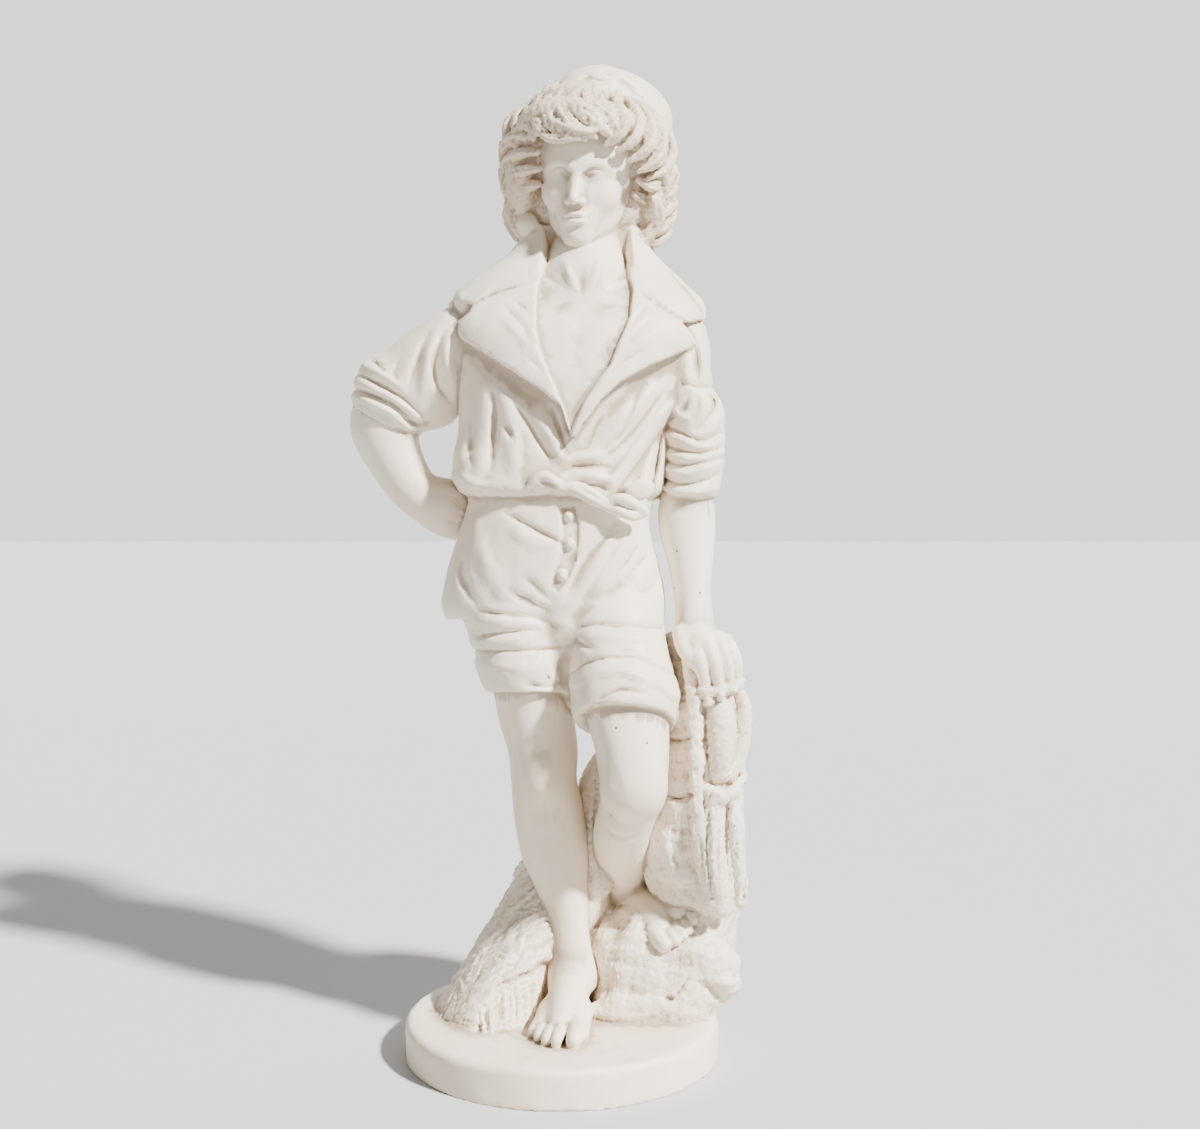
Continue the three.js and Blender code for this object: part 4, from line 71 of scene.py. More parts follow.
# Hair: the round it lies on, and the fall of its loose locks
HAIR_CORE = (32.1, 963.7, 34.0)
HAIR_SIZE = (86.0, 70.0, 61.0)
TIERS = 3
TUMBLE_TOP = (31.0, 1010.0, 44.0)
TUMBLE_DROP = 158.0
TUMBLE_FALL = (0.0, 0.2, 0.4, 0.65, 0.85, 1.0)
TUMBLE_WIDTH = (60.0, 80.0, 88.0, 87.0, 80.0, 64.0)
TUMBLE_FLATNESS = 0.74
# Small drilled holes on the forearm and the legs, painted as dark spots of shade and not carved: [across,
# up] on the drawing plane
PIN_HOLE_RADIUS = 1.3
PIN_HOLES = ((128.5, 525.0), (126.5, 484.0), (154.3, 478.3), (61.0, 326.5), (95.7, 309.5), (55.4, 227.6))

# Finishes of the surface, told apart by number
SKIN, CLOTH, HAIR, NET, ROCK, STONE = range(6)


def stops(marks):
    """Grid stops along one axis from [place, step] pairs."""
    out = [marks[0][0]]
    for (a, step), (b, _) in zip(marks[:-1], marks[1:]):
        n = max(1, int(round((b - a) / step)))
        out += list(a + (b - a) * np.arange(1, n + 1) / n)
    return np.array(out, np.float32)


GX = stops([(BLOCK_ACROSS[0], CELL), (-28, HEAD_CELL), (84, CELL), (BLOCK_ACROSS[1], CELL)])
GH = stops([(BLOCK_UP[0], CELL), (838, HEAD_CELL), (985, CELL), (BLOCK_UP[1], CELL)])
GB = stops([(BLOCK_DEPTH[0], CELL), (-66, HEAD_CELL), (8, CELL), (BLOCK_DEPTH[1], CELL)])
whole = np.full((len(GX), len(GH), len(GB)), FAR, np.float32)
finish = np.full(whole.shape, STONE, np.uint8)
layer = np.full_like(whole, FAR)
used = []


def cells(lo, hi):
    """Slices of the grid that hold a box."""
    out = []
    for g, a, b in zip((GX, GH, GB), lo, hi):
        i = int(np.searchsorted(g, a))
        out.append(slice(i, max(i, int(np.searchsorted(g, b, "right")))))
    return tuple(out)


def places(s):
    """Across, up and depth of the grid points in slices, ready to broadcast."""
    return GX[s[0]][:, None, None], GH[s[1]][None, :, None], GB[s[2]][None, None, :]


def blend(a, b, k):
    """Soft joining of two distances; k is how far the fillet reaches."""
    if k <= 0:
        return np.minimum(a, b)
    h = np.maximum(k - np.abs(a - b), 0)
    return np.minimum(a, b) - h * h * (0.25 / k)


def begin():
    used.clear()


def join(shape, k=0.0, margin=14.0):
    lo, hi, distance = shape
    m = max(k, margin)
    s = cells(np.array(lo) - m, np.array(hi) + m)
    used.append(s)
    layer[s] = blend(layer[s], distance(s), k)


def cut(shape, k=0.0):
    lo, hi, distance = shape
    m = max(k, 6.0)
    s = cells(np.array(lo) - m, np.array(hi) + m)
    layer[s] = -blend(-layer[s], distance(s), k)


def used_box():
    return tuple(slice(min(s[i].start for s in used), max(s[i].stop for s in used)) for i in range(3))


def trim(p, n, k=2.0):
    """Takes away what lies beyond a plane through p, on the side that n points away from."""
    n = np.array(n, float) / np.linalg.norm(n)
    s = used_box()
    x, h, b = places(s)
    d = (x - p[0]) * n[0] + (h - p[1]) * n[1] + (b - p[2]) * n[2]
    layer[s] = -blend(-layer[s], -d, k)


def settle(k=0.0, kind=CLOTH):
    """Joins the finished layer to the whole figure and notes its kind of surface."""
    s = used_box()
    nearer = layer[s] < whole[s]
    finish[s][nearer] = kind
    whole[s] = blend(whole[s], layer[s], k)
    layer[s] = FAR


def turn(roll, yaw, pitch):
    a, b, c = np.radians([roll, yaw, pitch])
    r = np.array([[np.cos(a), -np.sin(a), 0], [np.sin(a), np.cos(a), 0], [0, 0, 1]])
    y = np.array([[np.cos(b), 0, -np.sin(b)], [0, 1, 0], [np.sin(b), 0, np.cos(b)]])
    p = np.array([[1, 0, 0], [0, np.cos(c), -np.sin(c)], [0, np.sin(c), np.cos(c)]])
    return y @ p @ r


def oval(terms):
    """Distance to an oval from (offset, radius) pairs."""
    k0 = np.sqrt(sum((q / r) ** 2 for q, r in terms)) + 1e-6
    k1 = np.sqrt(sum((q / r**2) ** 2 for q, r in terms)) + 1e-6
    return (k0 * (k0 - 1) / k1).astype(np.float32)


def ball(c, r, roll=0.0, yaw=0.0, pitch=0.0):
    m = turn(roll, yaw, pitch)
    e = np.sqrt(((m * np.array(r, float)) ** 2).sum(1))

    def distance(s):
        p = [g - v for g, v in zip(places(s), c)]
        return oval([(p[0] * m[0, i] + p[1] * m[1, i] + p[2] * m[2, i], r[i]) for i in range(3)])

    return np.array(c) - e, np.array(c) + e, distance


def smooth(points, n=5):
    """Rounds a chain of control points into a smooth run of short steps."""
    p = np.array(points, float)
    if len(p) < 3:
        return p
    e = np.vstack([2 * p[0] - p[1], p, 2 * p[-1] - p[-2]])
    t = np.arange(n)[:, None] / n
    out = []
    for a, b, c, d in zip(e[:-3], e[1:-2], e[2:-1], e[3:]):
        bend = (2 * a - 5 * b + 4 * c - d) * t**2 + (3 * b - a - 3 * c + d) * t**3
        out.append(0.5 * (2 * b + (c - a) * t + bend))
    return np.vstack(out + [p[-1:]])


def limb(points, reach=26.0):
    """Round limb through [across, up, depth, radius] points; reach is how far its field goes."""
    p = smooth(points)
    lo = (p[:, :3] - p[:, 3:4]).min(0)
    hi = (p[:, :3] + p[:, 3:4]).max(0)

    def distance(s):
        out = np.full([q.stop - q.start for q in s], FAR, np.float32)
        for a, b in zip(p[:-1], p[1:]):
            m = max(a[3], b[3]) + reach
            near = cells(np.minimum(a, b)[:3] - m, np.maximum(a, b)[:3] + m)
            t = tuple(slice(max(i.start, j.start), min(i.stop, j.stop)) for i, j in zip(s, near))
            if any(i.stop <= i.start for i in t):
                continue
            v = (b - a)[:3]
            q = [g - w for g, w in zip(places(t), a)]
            w = np.clip((q[0] * v[0] + q[1] * v[1] + q[2] * v[2]) / (v @ v + 1e-9), 0, 1)
            d = np.sqrt(sum((q[i] - w * v[i]) ** 2 for i in range(3))) - (a[3] + w * (b[3] - a[3]))
            o = tuple(slice(i.start - j.start, i.stop - j.start) for i, j in zip(t, s))
            out[o] = np.minimum(out[o], d)
        return out

    return lo, hi, distance


def loft(rows, power=2.0, cap=4.0):
    """Body of changing oval section: rows of [up, left, right, front, back]."""
    r = np.array(sorted(rows), float)
    z = r[:, 0]
    slope = np.gradient(r[:, 1:], z, axis=0)

    def distance(s):
        x, h, b = places(s)
        up = np.clip(GH[s[1]], z[0], z[-1])
        i = np.clip(np.searchsorted(z, up, "right") - 1, 0, len(z) - 2)
        w = (z[i + 1] - z[i])[:, None]
        t = (up - z[i])[:, None] / w
        v = (2 * t**3 - 3 * t**2 + 1) * r[i, 1:] + (3 * t**2 - 2 * t**3) * r[i + 1, 1:]
        v = v + w * ((t**3 - 2 * t**2 + t) * slope[i] + (t**3 - t**2) * slope[i + 1])
        left, right, front, back = v.astype(np.float32).T[:, None, :, None]
        rx = np.maximum((right - left) / 2, 2)
        rb = np.maximum((back - front) / 2, 2)
        p = np.abs(x - (left + right) / 2)
        q = np.abs(b - (front + back) / 2)
        if power == 2.0:
            d = oval([(p, rx), (q, rb)])
        else:
            pp = (p / rx) ** (power - 1)
            qq = (q / rb) ** (power - 1)
            k0 = (pp * p / rx + qq * q / rb) ** (1 / power) + 1e-6
            d = (k0 - 1) / (np.sqrt((pp / rx) ** 2 + (qq / rb) ** 2) / k0 ** (power - 1) + 1e-6)
        ends = np.maximum(z[0] - h, h - z[-1]) + 0 * d
        return -blend(-d, -ends, cap)

    lo = (r[:, 1].min(), z[0], r[:, 3].min())
    join((lo, (r[:, 2].max(), z[-1], r[:, 4].max()), distance))


def line_distance(x, h, a, b):
    v = (b - a)[:2]
    w = np.clip(((x - a[0]) * v[0] + (h - a[1]) * v[1]) / (v @ v + 1e-9), 0, 1)
    return np.hypot(x - a[0] - w * v[0], h - a[1] - w * v[1]), w


def fold(points, b0=-190.0, b1=190.0):
    """Fold of cloth: raised or sunk line of [across, up, half width, height] points."""
    p = smooth(points, 4)
    m = p[:, 2].max()
    s = cells((*(p[:, :2].min(0) - m), b0), (*(p[:, :2].max(0) + m), b1))
    x, h = GX[s[0]][:, None], GH[s[1]][None, :]
    out = np.zeros((x.shape[0], h.shape[1]), np.float32)
    for a, b in zip(p[:-1], p[1:]):
        d, w = line_distance(x, h, a, b)
        q = np.clip(1 - (d / (a[2] + w * (b[2] - a[2]))) ** 2, 0, 1) ** 2 * (a[3] + w * (b[3] - a[3]))
        out = np.where(np.abs(q) > np.abs(out), q, out)
    layer[s] -= out[:, :, None]


def folds(b0, b1, *lines):
    """Several folds through the same range of depth."""
    for points in lines:
        fold(points, b0, b1)


def lump(c, r, k, roll=0.0, yaw=0.0, pitch=0.0):
    join(ball(c, r, roll, yaw, pitch), k)


def rod(points, k):
    join(limb(points), k)


def grooves(starts, ends, count, width, height, seed):
    """Tool grooves between two guide lines, each a little out of true with its neighbour."""
    for i in range(count):
        a, c, m = [
            along(line, min(max((i + 0.5 + 0.7 * (chance(seed + i + k) - 0.5)) / count, 0), 1))
            for line, k in ((starts, 0.0), (ends, 0.3), (starts, 0.6))
        ]
        m = (m + c) / 2 + (chance(seed + i + 0.8) - 0.5) * width
        w = width * (0.7 + 0.5 * chance(seed + i + 0.9))
        fold([[*a, w * 0.7, height * 0.4], [*m, w, height], [*c, w * 0.7, height * 0.4]], -130, 60)


def patch(outline, height, edge, b0=-190.0, b1=190.0):
    """Area of the drawing raised or sunk by an even height, with an edge of given softness."""
    p = np.array(outline, float)
    s = cells((*(p.min(0) - edge), b0), (*(p.max(0) + edge), b1))
    x, h = GX[s[0]][:, None], GH[s[1]][None, :]
    near = np.full((x.shape[0], h.shape[1]), 1e9)
    inside = np.zeros(near.shape, bool)
    for a, b in zip(p, np.roll(p, -1, 0)):
        near = np.minimum(near, line_distance(x, h, a, b)[0])
        if a[1] != b[1]:
            inside ^= ((a[1] > h) != (b[1] > h)) & (x < (b[0] - a[0]) * (h - a[1]) / (b[1] - a[1]) + a[0])
    t = np.clip(np.where(inside, near, -near) / edge + 0.5, 0, 1)
    layer[s] -= (height * t * t * (3 - 2 * t)).astype(np.float32)[:, :, None]


def on_head(points):
    """Places of the head's own frame, taken through its turn and tilt."""
    m = turn(HEAD_TILT, HEAD_TURN, 0)
    return [[*(m @ np.array(p[:3], float) + HEAD), *p[3:]] for p in points]


def head_ball(c, r, roll=0.0, yaw=0.0, pitch=0.0):
    return ball(on_head([c])[0], r, roll + HEAD_TILT, yaw + HEAD_TURN, pitch)


def head_limb(points):
    return limb(on_head(points))


def both_sides(work, k, points, size=None, roll=0.0):
    """Joins or cuts a ball or a limb on one side of the face, then its mirror image."""
    for side in (1, -1):
        mirrored = [[side * p[0], *p[1:]] for p in points]
        work(head_ball(mirrored[0], size, side * roll) if size else head_limb(mirrored), k)


def chance(n):
    """Even scatter between 0 and 1, the same every time."""
    v = np.sin(n * 12.9898) * 43758.5453
    return v - np.floor(v)


def along(line, t):
    q = t * (len(line) - 1)
    i = min(int(q), len(line) - 2)
    return np.array(line[i], float) * (1 - q + i) + np.array(line[i + 1], float) * (q - i)


def bundle(chain, seed=0.0):
    """One lock of hair along [across, up, depth, radius] points, drawn out into twisted strands."""
    p = np.array(chain, float)
    run = p[-1, :3] - p[0, :3]
    out = p[len(p) // 2, :3] - HAIR_CORE
    side = np.cross(run, out)
    side /= np.linalg.norm(side) + 1e-6
    lift = np.cross(side, run)
    lift /= np.linalg.norm(lift) + 1e-6
    turns = np.linspace(0, 1, len(p))[:, None]
    r = p[:, 3:4]
    join(limb(np.hstack([p[:, :3], r * 0.62]), 5.0), 1.0, 5.0)
    for j in range(STRANDS):
        a = WHOLE_TURN * (j + 0.4 * chance(seed + j)) / STRANDS + 1.3 * turns + chance(seed)
        far = r * (0.52 + 0.2 * chance(seed + j + 0.5))
        q = p[:, :3] + far * (np.cos(a) * side + np.sin(a) * lift)
        join(limb(np.hstack([q, r * (0.36 + 0.14 * chance(seed + j + 0.2))]), 5.0), 0.8, 5.0)


def lock(points):
    """Lock drawn over the hair as [across, up, height over the core, radius] points."""
    chain = []
    for x, h, out, r in points:
        round_off = 1 - ((x - HAIR_CORE[0]) / HAIR_SIZE[0]) ** 2 - ((h - HAIR_CORE[1]) / HAIR_SIZE[1]) ** 2
        chain.append([x, h, HAIR_CORE[2] - HAIR_SIZE[2] * max(round_off, 0) ** 0.5 - out, r])
    bundle(chain, points[0][0] + points[0][1])


def tumble(start, stop, count, r):
    """Three tiers of falling locks around the head, from one bearing to another in degrees."""
    for i in range(count * TIERS):
        tier, column = i % TIERS, i // TIERS
        a = np.radians(start + (stop - start) * (column + 0.3 + 0.4 * chance(i)) / count)
        sway = 0.06 + 0.1 * chance(i + 0.4)
        chain = []
        for k in range(5):
            t = (tier + 0.34 * k + 0.25 * chance(i + 0.8)) / (TIERS + 0.4)
            wide = np.interp(t, TUMBLE_FALL, TUMBLE_WIDTH) + 3.0 * np.sin(k * 1.57)
            turned = a + sway * np.sin(k * 1.5 + WHOLE_TURN * chance(i + 0.1))
            chain.append([
                TUMBLE_TOP[0] + wide * np.cos(turned),
                TUMBLE_TOP[1] - TUMBLE_DROP * t,
                TUMBLE_TOP[2] + wide * TUMBLE_FLATNESS * np.sin(turned),
                r * (0.55 + 0.45 * np.sin(0.6 + k * 0.6)),
            ])
        bundle(chain, i * 1.7)


def shirt():
    """Chest, belly and shoulders under the shirt."""
    begin()
    loft([
        [819, -40.4, 76, -24, 52],
        [798.3, -91, 126.5, -40, 60],
        [774.3, -115.3, 146.4, -52, 68],
        [736, -114.5, 144.3, -63, 72],
        [692, -112.6, 131.3, -67, 72],
        [648, -111.7, 120.4, -65, 66],
        [619.5, -118.6, 117, -67, 62],
        [595, -115.4, 117, -69, 58],
        [578.5, -101, 106, -62, 54]], 2.4, 10)
    # open front, cut down to the skin
    patch([[-14, 843], [-23, 823.3], [-27.3, 801.5], [-27.4, 769], [-23, 747], [-10, 714], [1, 689],
        [8.7, 657], [26.5, 692], [43, 716.3], [54, 730.6], [67, 763.4], [76, 785], [79, 812.4], [73.7, 834],
        [67, 883], [-1, 883]], -4, 6, -120, 0)
    # long soft folds of the blouse falling to the waist
    fold([[-102.6, 701, 8, 1], [-108.3, 661.4, 12, 4], [-112, 628.3, 13, 6], [-105.4, 599.6, 10, 3]],
        -120, 40)
    folds(-120, 0,
        [[-85, 707.6, 8, 1], [-88.4, 670, 14, 3], [-93, 631.6, 17, 5], [-96.6, 597.4, 13, 3]],
        [[-77, 710, 5, -1], [-73, 679, 7, -4], [-75.3, 642.7, 6, -5], [-77.6, 615, 4, -1]],
        [[-63, 710, 8, 1], [-58.6, 674.6, 14, 4], [-54.3, 637, 15, 4], [-52, 608.4, 10, 1]],
        [[-52, 688, 3, -1], [-38.7, 670, 5, -4], [-25.5, 647, 5, -4], [-11, 625, 3, -1]],
        [[-34, 696.6, 8, 1], [-17.7, 666, 12, 5], [-4.5, 639.4, 11, 5], [6.5, 621.7, 7, 1]],
        [[-11, 683.4, 4, -1], [-2.3, 657, 5, -4], [5.4, 635, 4, -2]],
        [[-65, 670, 4, 0], [-57.5, 657, 6, -4.5], [-52, 644, 4, 0]],
        [[-96, 659, 4, 0], [-101, 635, 5, -2], [-96.5, 615, 4, 0]],
        [[104.7, 718.5, 7, 1], [84, 688, 12, 4], [57.4, 657, 12, 4], [32, 634, 8, 1]],
        [[90.4, 710, 3, -1], [76, 679, 5, -4], [63, 652.6, 4, -1]],
        [[71.7, 710, 6, 1], [49.6, 685.6, 10, 4], [29.7, 659, 9, 3], [18.7, 641.6, 6, 0]],
        [[49.6, 679, 3, 0], [38.6, 662.5, 4, -3.5], [29.7, 641.6, 3, 0]],
        [[111.4, 701, 4, -1], [92.7, 673.5, 5, -4], [68.4, 646, 5, -4], [44, 625, 4, -1]],
        [[80.5, 672.4, 3, 0], [63, 651.5, 3.5, -2.5], [46.3, 637, 3, 0]])
    # the cloth falls back under the lapels
    folds(-120, 20,
        [[-104.5, 751.4, 12, -3], [-67, 720.7, 17, -8], [-27.6, 690, 17, -8], [-1, 659, 12, -3]],
        [[135.5, 734, 12, -3], [98, 714, 16, -7], [56, 683.4, 15, -7], [27.5, 652.6, 10, -2]])
    # the front laps over, its edge slanting down to the waist knot
    patch([[153, 716.3], [140, 699], [123.6, 678], [105, 652.6], [86, 627], [68.5, 604], [53, 578.5],
        [87.4, 565], [143, 565], [160.3, 615]], -9, 3.5, -120, 10)
    fold([[133.4, 702, 6, 1], [115, 679, 8, 4], [96, 653.7, 8, 4], [77.3, 628.3, 8, 4], [58.5, 603, 8, 3],
        [46.3, 585, 6, 1]], -120, 0)
    fold([[118, 666, 7, 2], [114, 631.6, 11, 9], [105, 590.7, 11, 8]], -120, 10)
    folds(-120, 0,
        [[104, 641.6, 5, 1], [96, 613, 8, 6], [84, 584, 8, 4]],
        [[110.4, 652.6, 3, -1], [105, 617.3, 4, -5], [96, 579.6, 3, -2]])
    # soft cross folds gathered over the waist
    folds(-120, 0,
        [[-5.7, 625, 6, 1], [21, 629.4, 9, 5], [47.4, 631.6, 8, 2]],
        [[-1.3, 615, 4, -1], [26.4, 619.5, 5, -4], [54, 619.5, 4, -1]],
        [[1, 606, 6, 1], [32, 609.5, 9, 6], [56.3, 604, 7, 2]],
        [[12, 595, 4, -1], [38.6, 597.4, 5, -4], [56.3, 590.7, 4, -1]])
    fold([[-117.5, 608.4, 9, 5], [-92, 597.4, 12, 3], [-54.5, 595, 12, 2], [-18, 593, 9, 1]], -120, 20)
    fold([[-93, 613, 3, 0], [-89, 588.5, 4, -2]], -120, 10)
    folds(-120, 0,
        [[-67.7, 604, 3, 0], [-59, 586.3, 3, -2]],
        [[-44.5, 610.6, 3, 0], [-32.3, 590.7, 3, -2]])
    fold([[-112, 588.5, 3, -3], [-85.6, 583, 4, -5], [-48, 584, 4, -6], [-14.6, 585, 4, -6],
        [12, 582, 4, -6], [43, 571, 4, -6], [104, 569.7, 4, -4]], -120, 20)
    # shoulder cloth seen in the collar's notch
    lump([-103, 798.3, 24], [16, 18, 44], 14)
    # folds down the back
    folds(20, 190,
        [[-70, 800, 10, 2], [-50, 720, 14, 6], [-60, 610, 14, 5]],
        [[-20, 800, 10, -2], [-10, 700, 12, -5], [0, 605, 12, -4]],
        [[90, 800, 10, 2], [60, 700, 14, 6], [50, 605, 14, 5]],
        [[40, 780, 10, -2], [30, 700, 10, -5], [25, 600, 12, -4]])
    settle(0)


def knot():
    """Knotted roll of the shirt at the waist."""
    begin()
    rod([[-37, 596.3, -69, 3], [-28, 606, -72, 5], [-18, 609.5, -73, 5.4], [-8, 603, -73, 5],
        [-2.4, 594, -70, 4]], 4)
    lump([-19, 599.6, -68], [15, 7, 6], 5, -8)
    rod([[-5.7, 600.7, -64, 5], [13, 595, -67, 8], [33, 586.3, -68, 9], [52, 575, -67, 6]], 9)
    lump([87.3, 593, -52], [17, 12, 6], 14, 20)
    rod([[51, 576.3, -66, 4], [59.6, 583, -70, 5.5], [73, 582, -70, 6.4], [84, 575, -67, 6],
        [93, 568.6, -60, 5]], 3)
    rod([[53, 572, -66, 4], [66.3, 568.6, -69, 6], [79.6, 564, -66, 6], [90.7, 566.3, -58, 4]], 4)
    lump([72, 574, -66], [16, 6, 6], 5, -16)
    folds(-120, 0,
        [[60.7, 577.4, 2.5, -1], [74, 572, 3, -3], [88.5, 569.7, 2.5, -1]],
        [[-23.4, 600.7, 2, -1], [-10, 598.5, 2.5, -3], [1, 589.6, 2, -1]],
        [[15.3, 597.4, 3, -1], [34, 587.4, 3, -3], [49.7, 578.5, 3, -1]])
    settle(3)


def collar():
    """Collar and lapels lying open over the shoulders."""
    begin()
    loft([
        [882, -33.6, 87, -4, 58],
        [856, -53.4, 100, -20, 62],
        [821, -99.7, 135, -40, 70],
        [798.3, -122, 157, -52, 76],
        [774.3, -126.3, 159.5, -68, 78],
        [736, -120, 153, -78, 78],
        [692, -105, 142.3, -83, 74],
        [648, -89.6, 131.4, -81, 70]], 2.3, 4)
    # cut to the outline of the cloth in front
    patch([[-132, 910], [-27, 884], [-26, 878.6], [-99.6, 823.3], [-118.4, 811.3], [-119.5, 806],
        [-98.7, 796], [-101, 789.6], [-113, 778.7], [-114.3, 767.7], [-109, 757], [-89, 746], [-67, 731.7],
        [-45, 717.4], [-23, 703], [-1, 685.6], [11, 651.5], [16.5, 651.5], [24, 664.7], [45, 692],
        [65, 711], [98, 729.5], [122.3, 739.3], [140, 747], [149.7, 753.5], [144, 764.5], [135.4, 776.5],
        [159.5, 778.7], [157.3, 786.3], [147.3, 799.4], [131, 819], [109, 848], [88, 864.5], [86.7, 910],
        [218, 910], [220, 626], [-178.3, 626], [-175.7, 910]], -60, 3, -200, 4)
    # bare breast in the open front, a little under the cloth
    patch([[-14, 893.7], [-14, 839.6], [-23, 823.3], [-27.3, 801.5], [-27.4, 769], [-23, 747], [-10, 714],
        [1, 689], [11, 657], [26.5, 692], [43, 716.3], [54, 730.6], [67, 763.4], [76, 785], [79, 812.4],
        [73.7, 834], [67, 883], [67, 893.7]], -8, 2.2, -200, 8)
    patch([[-10.5, 931.4], [-10.7, 847], [-13, 834], [4.6, 825.5], [43, 824.4], [66, 832], [70.4, 840.7],
        [66, 883], [66, 931.4]], -60, 24, -200, 8)
    folds(-120, 0,
        [[-8.6, 801.5, 9, 1], [8, 806, 8, 2.4], [21, 801.5, 6, 0.5]],
        [[27.6, 801.5, 6, 0.5], [43, 805, 8, 2.4], [63, 799.4, 9, 1]],
        [[24.3, 788.5, 10, 0], [21, 758, 12, -1.4], [15.5, 723, 9, 0]])
    # back of the collar
    patch([[-140, 1000], [-140, 852], [-134, 812], [-122, 790], [-60, 766], [40, 756], [140, 762],
        [160, 780], [170, 812], [176, 852], [176, 1000], [260, 1000], [260, 560], [-260, 560],
        [-260, 1000]], -60, 3, 4, 200)
    # gorge seams, notches and the pull of the turned lapels
    folds(-120, 0,
        [[-100, 794, 3, -4], [-80, 805, 3.5, -4], [-53.6, 814.6, 3.5, -3], [-29.4, 819, 3, 0]],
        [[137.6, 776.5, 3, -4], [117.7, 788.5, 3.5, -4], [95.7, 803.7, 3.5, -3], [80.3, 821, 3, 0]],
        [[-67, 799.4, 3, 0], [-49.3, 782, 4.5, -2.2], [-28.5, 754.6, 3, -0.5]],
        [[-58, 806, 3, 0], [-40.5, 793, 4, -2], [-27.4, 777.6, 3, -0.5]],
        [[-73.5, 788.5, 4, 0], [-51.6, 769, 6, 1.8], [-27.5, 740.4, 4, 0]],
        [[-45, 745, 3, 0], [-29.7, 734, 4, -1.6], [-13, 712, 3, 0]],
        [[106.7, 788.5, 3, 0], [89, 771, 4.5, -2.2], [67, 745, 3, -0.5]],
        [[98, 797, 3, 0], [85, 784, 4, -2], [72.7, 764.5, 3, -0.5]],
        [[113.4, 777.6, 4, 0], [92.5, 758, 6, 1.8], [63, 734, 4, 0]],
        [[87, 745, 3, 0], [67, 734, 4, -1.6], [47.4, 710, 3, 0]])
    settle(0)


def neck():
    """Skin of the neck and breast."""
    begin()
    rod([[32, 910, 24, 38], [29, 866.7, 19, 37], [25.4, 827.6, 5, 46]], 8)
    lump([23, 777.6, 10], [60, 66, 56], 24)
    lump([-37, 884, 26], [13, 15, 24], 8)
    folds(-120, 0,
        [[3.5, 849.3, 7, 0], [8, 832, 7, 3], [15.6, 814.6, 5, 1]],
        [[47.4, 856, 7, 0], [39.7, 834, 7, 3], [31, 814.6, 5, 1]],
        [[23.3, 836.3, 7, 0], [23, 821, 7, -3], [23, 810, 6, -1]])
    settle(10, SKIN)


def bent_arm():
    """Bent arm, hand behind the hip."""
    begin()
    rod([[-109, 751.4, 20, 44], [-137.7, 729.5, 26, 47], [-166.5, 705.4, 32, 47], [-192, 679, 34, 42]], 6)
    lump([-190.7, 707.6, 32], [37, 36, 40], 8)
    trim([-194.4, 669, 34], [-0.49, -0.87, 0.1], 4)
    lump([-136, 688, 28], [26, 26, 28], 14)
    # rolls of the turned-up sleeve
    folds(-60, 100,
        [[-233, 697.7, 4, 1], [-213, 690, 6, 5], [-189, 678, 6, 5], [-169, 661.4, 5, 3]],
        [[-230.5, 705.4, 3, -2], [-208.5, 697.7, 4, -5], [-184.3, 686.7, 4, -5], [-161.3, 666, 3, -2]],
        [[-226, 713, 5, 2], [-199.6, 701, 7, 4], [-173.3, 685.6, 6, 4], [-153.6, 666, 5, 1]],
        [[-225, 722, 3, -2], [-201.7, 710, 5, -5], [-175.4, 694.4, 5, -4], [-151.3, 672.4, 4, -1]],
        [[-217, 730.6, 5, 2], [-197, 720.7, 7, 4], [-177.5, 707.6, 6, 2]],
        [[-210.3, 736, 3, -1], [-201.5, 730.6, 4, -4], [-193, 720.7, 3, -1]])
    # pulls from the armpit
    folds(-60, 100,
        [[-146, 766.7, 4, 0], [-155, 745, 5, -3], [-164, 718.5, 5, -3], [-169, 699, 4, 0]],
        [[-135, 771, 6, 1], [-144, 745, 10, 5], [-151, 714, 9, 4], [-155.6, 690, 6, 0]],
        [[-132, 760, 4, -1], [-140, 734, 7, -6], [-135.6, 707.6, 6, -5], [-122.5, 688, 4, -1]],
        [[-122, 769, 6, 1], [-126.5, 742.6, 9, 5], [-120, 710, 8, 4], [-113.7, 683.4, 5, 1]],
        [[-173, 745, 4, 0], [-182, 723, 5, -2], [-179.7, 705.4, 4, 0]],
        [[-186.6, 677, 4, 0], [-160, 666, 5, -3], [-133.7, 670, 4, 0]])
    settle(3)
    begin()
    rod([[-194.3, 683.4, 34, 35], [-195.6, 661.4, 34, 37], [-184, 628.3, 30, 31], [-164, 595, 26, 27],
        [-141, 577.4, 26, 27]], 6)
    # hand closed behind the hip
    lump([-123.3, 572, 28], [30, 33, 26], 12, 12)
    lump([-110, 568.6, 38], [26, 31, 22], 10)
    folds(-60, 100,
        [[-130, 590.7, 4, 0], [-116.6, 582, 5, -2], [-108, 568.6, 4, 0]],
        [[-139, 557.5, 4, 0], [-123.4, 557.5, 5, -2], [-108, 551, 4, 0]])
    settle(0, SKIN)


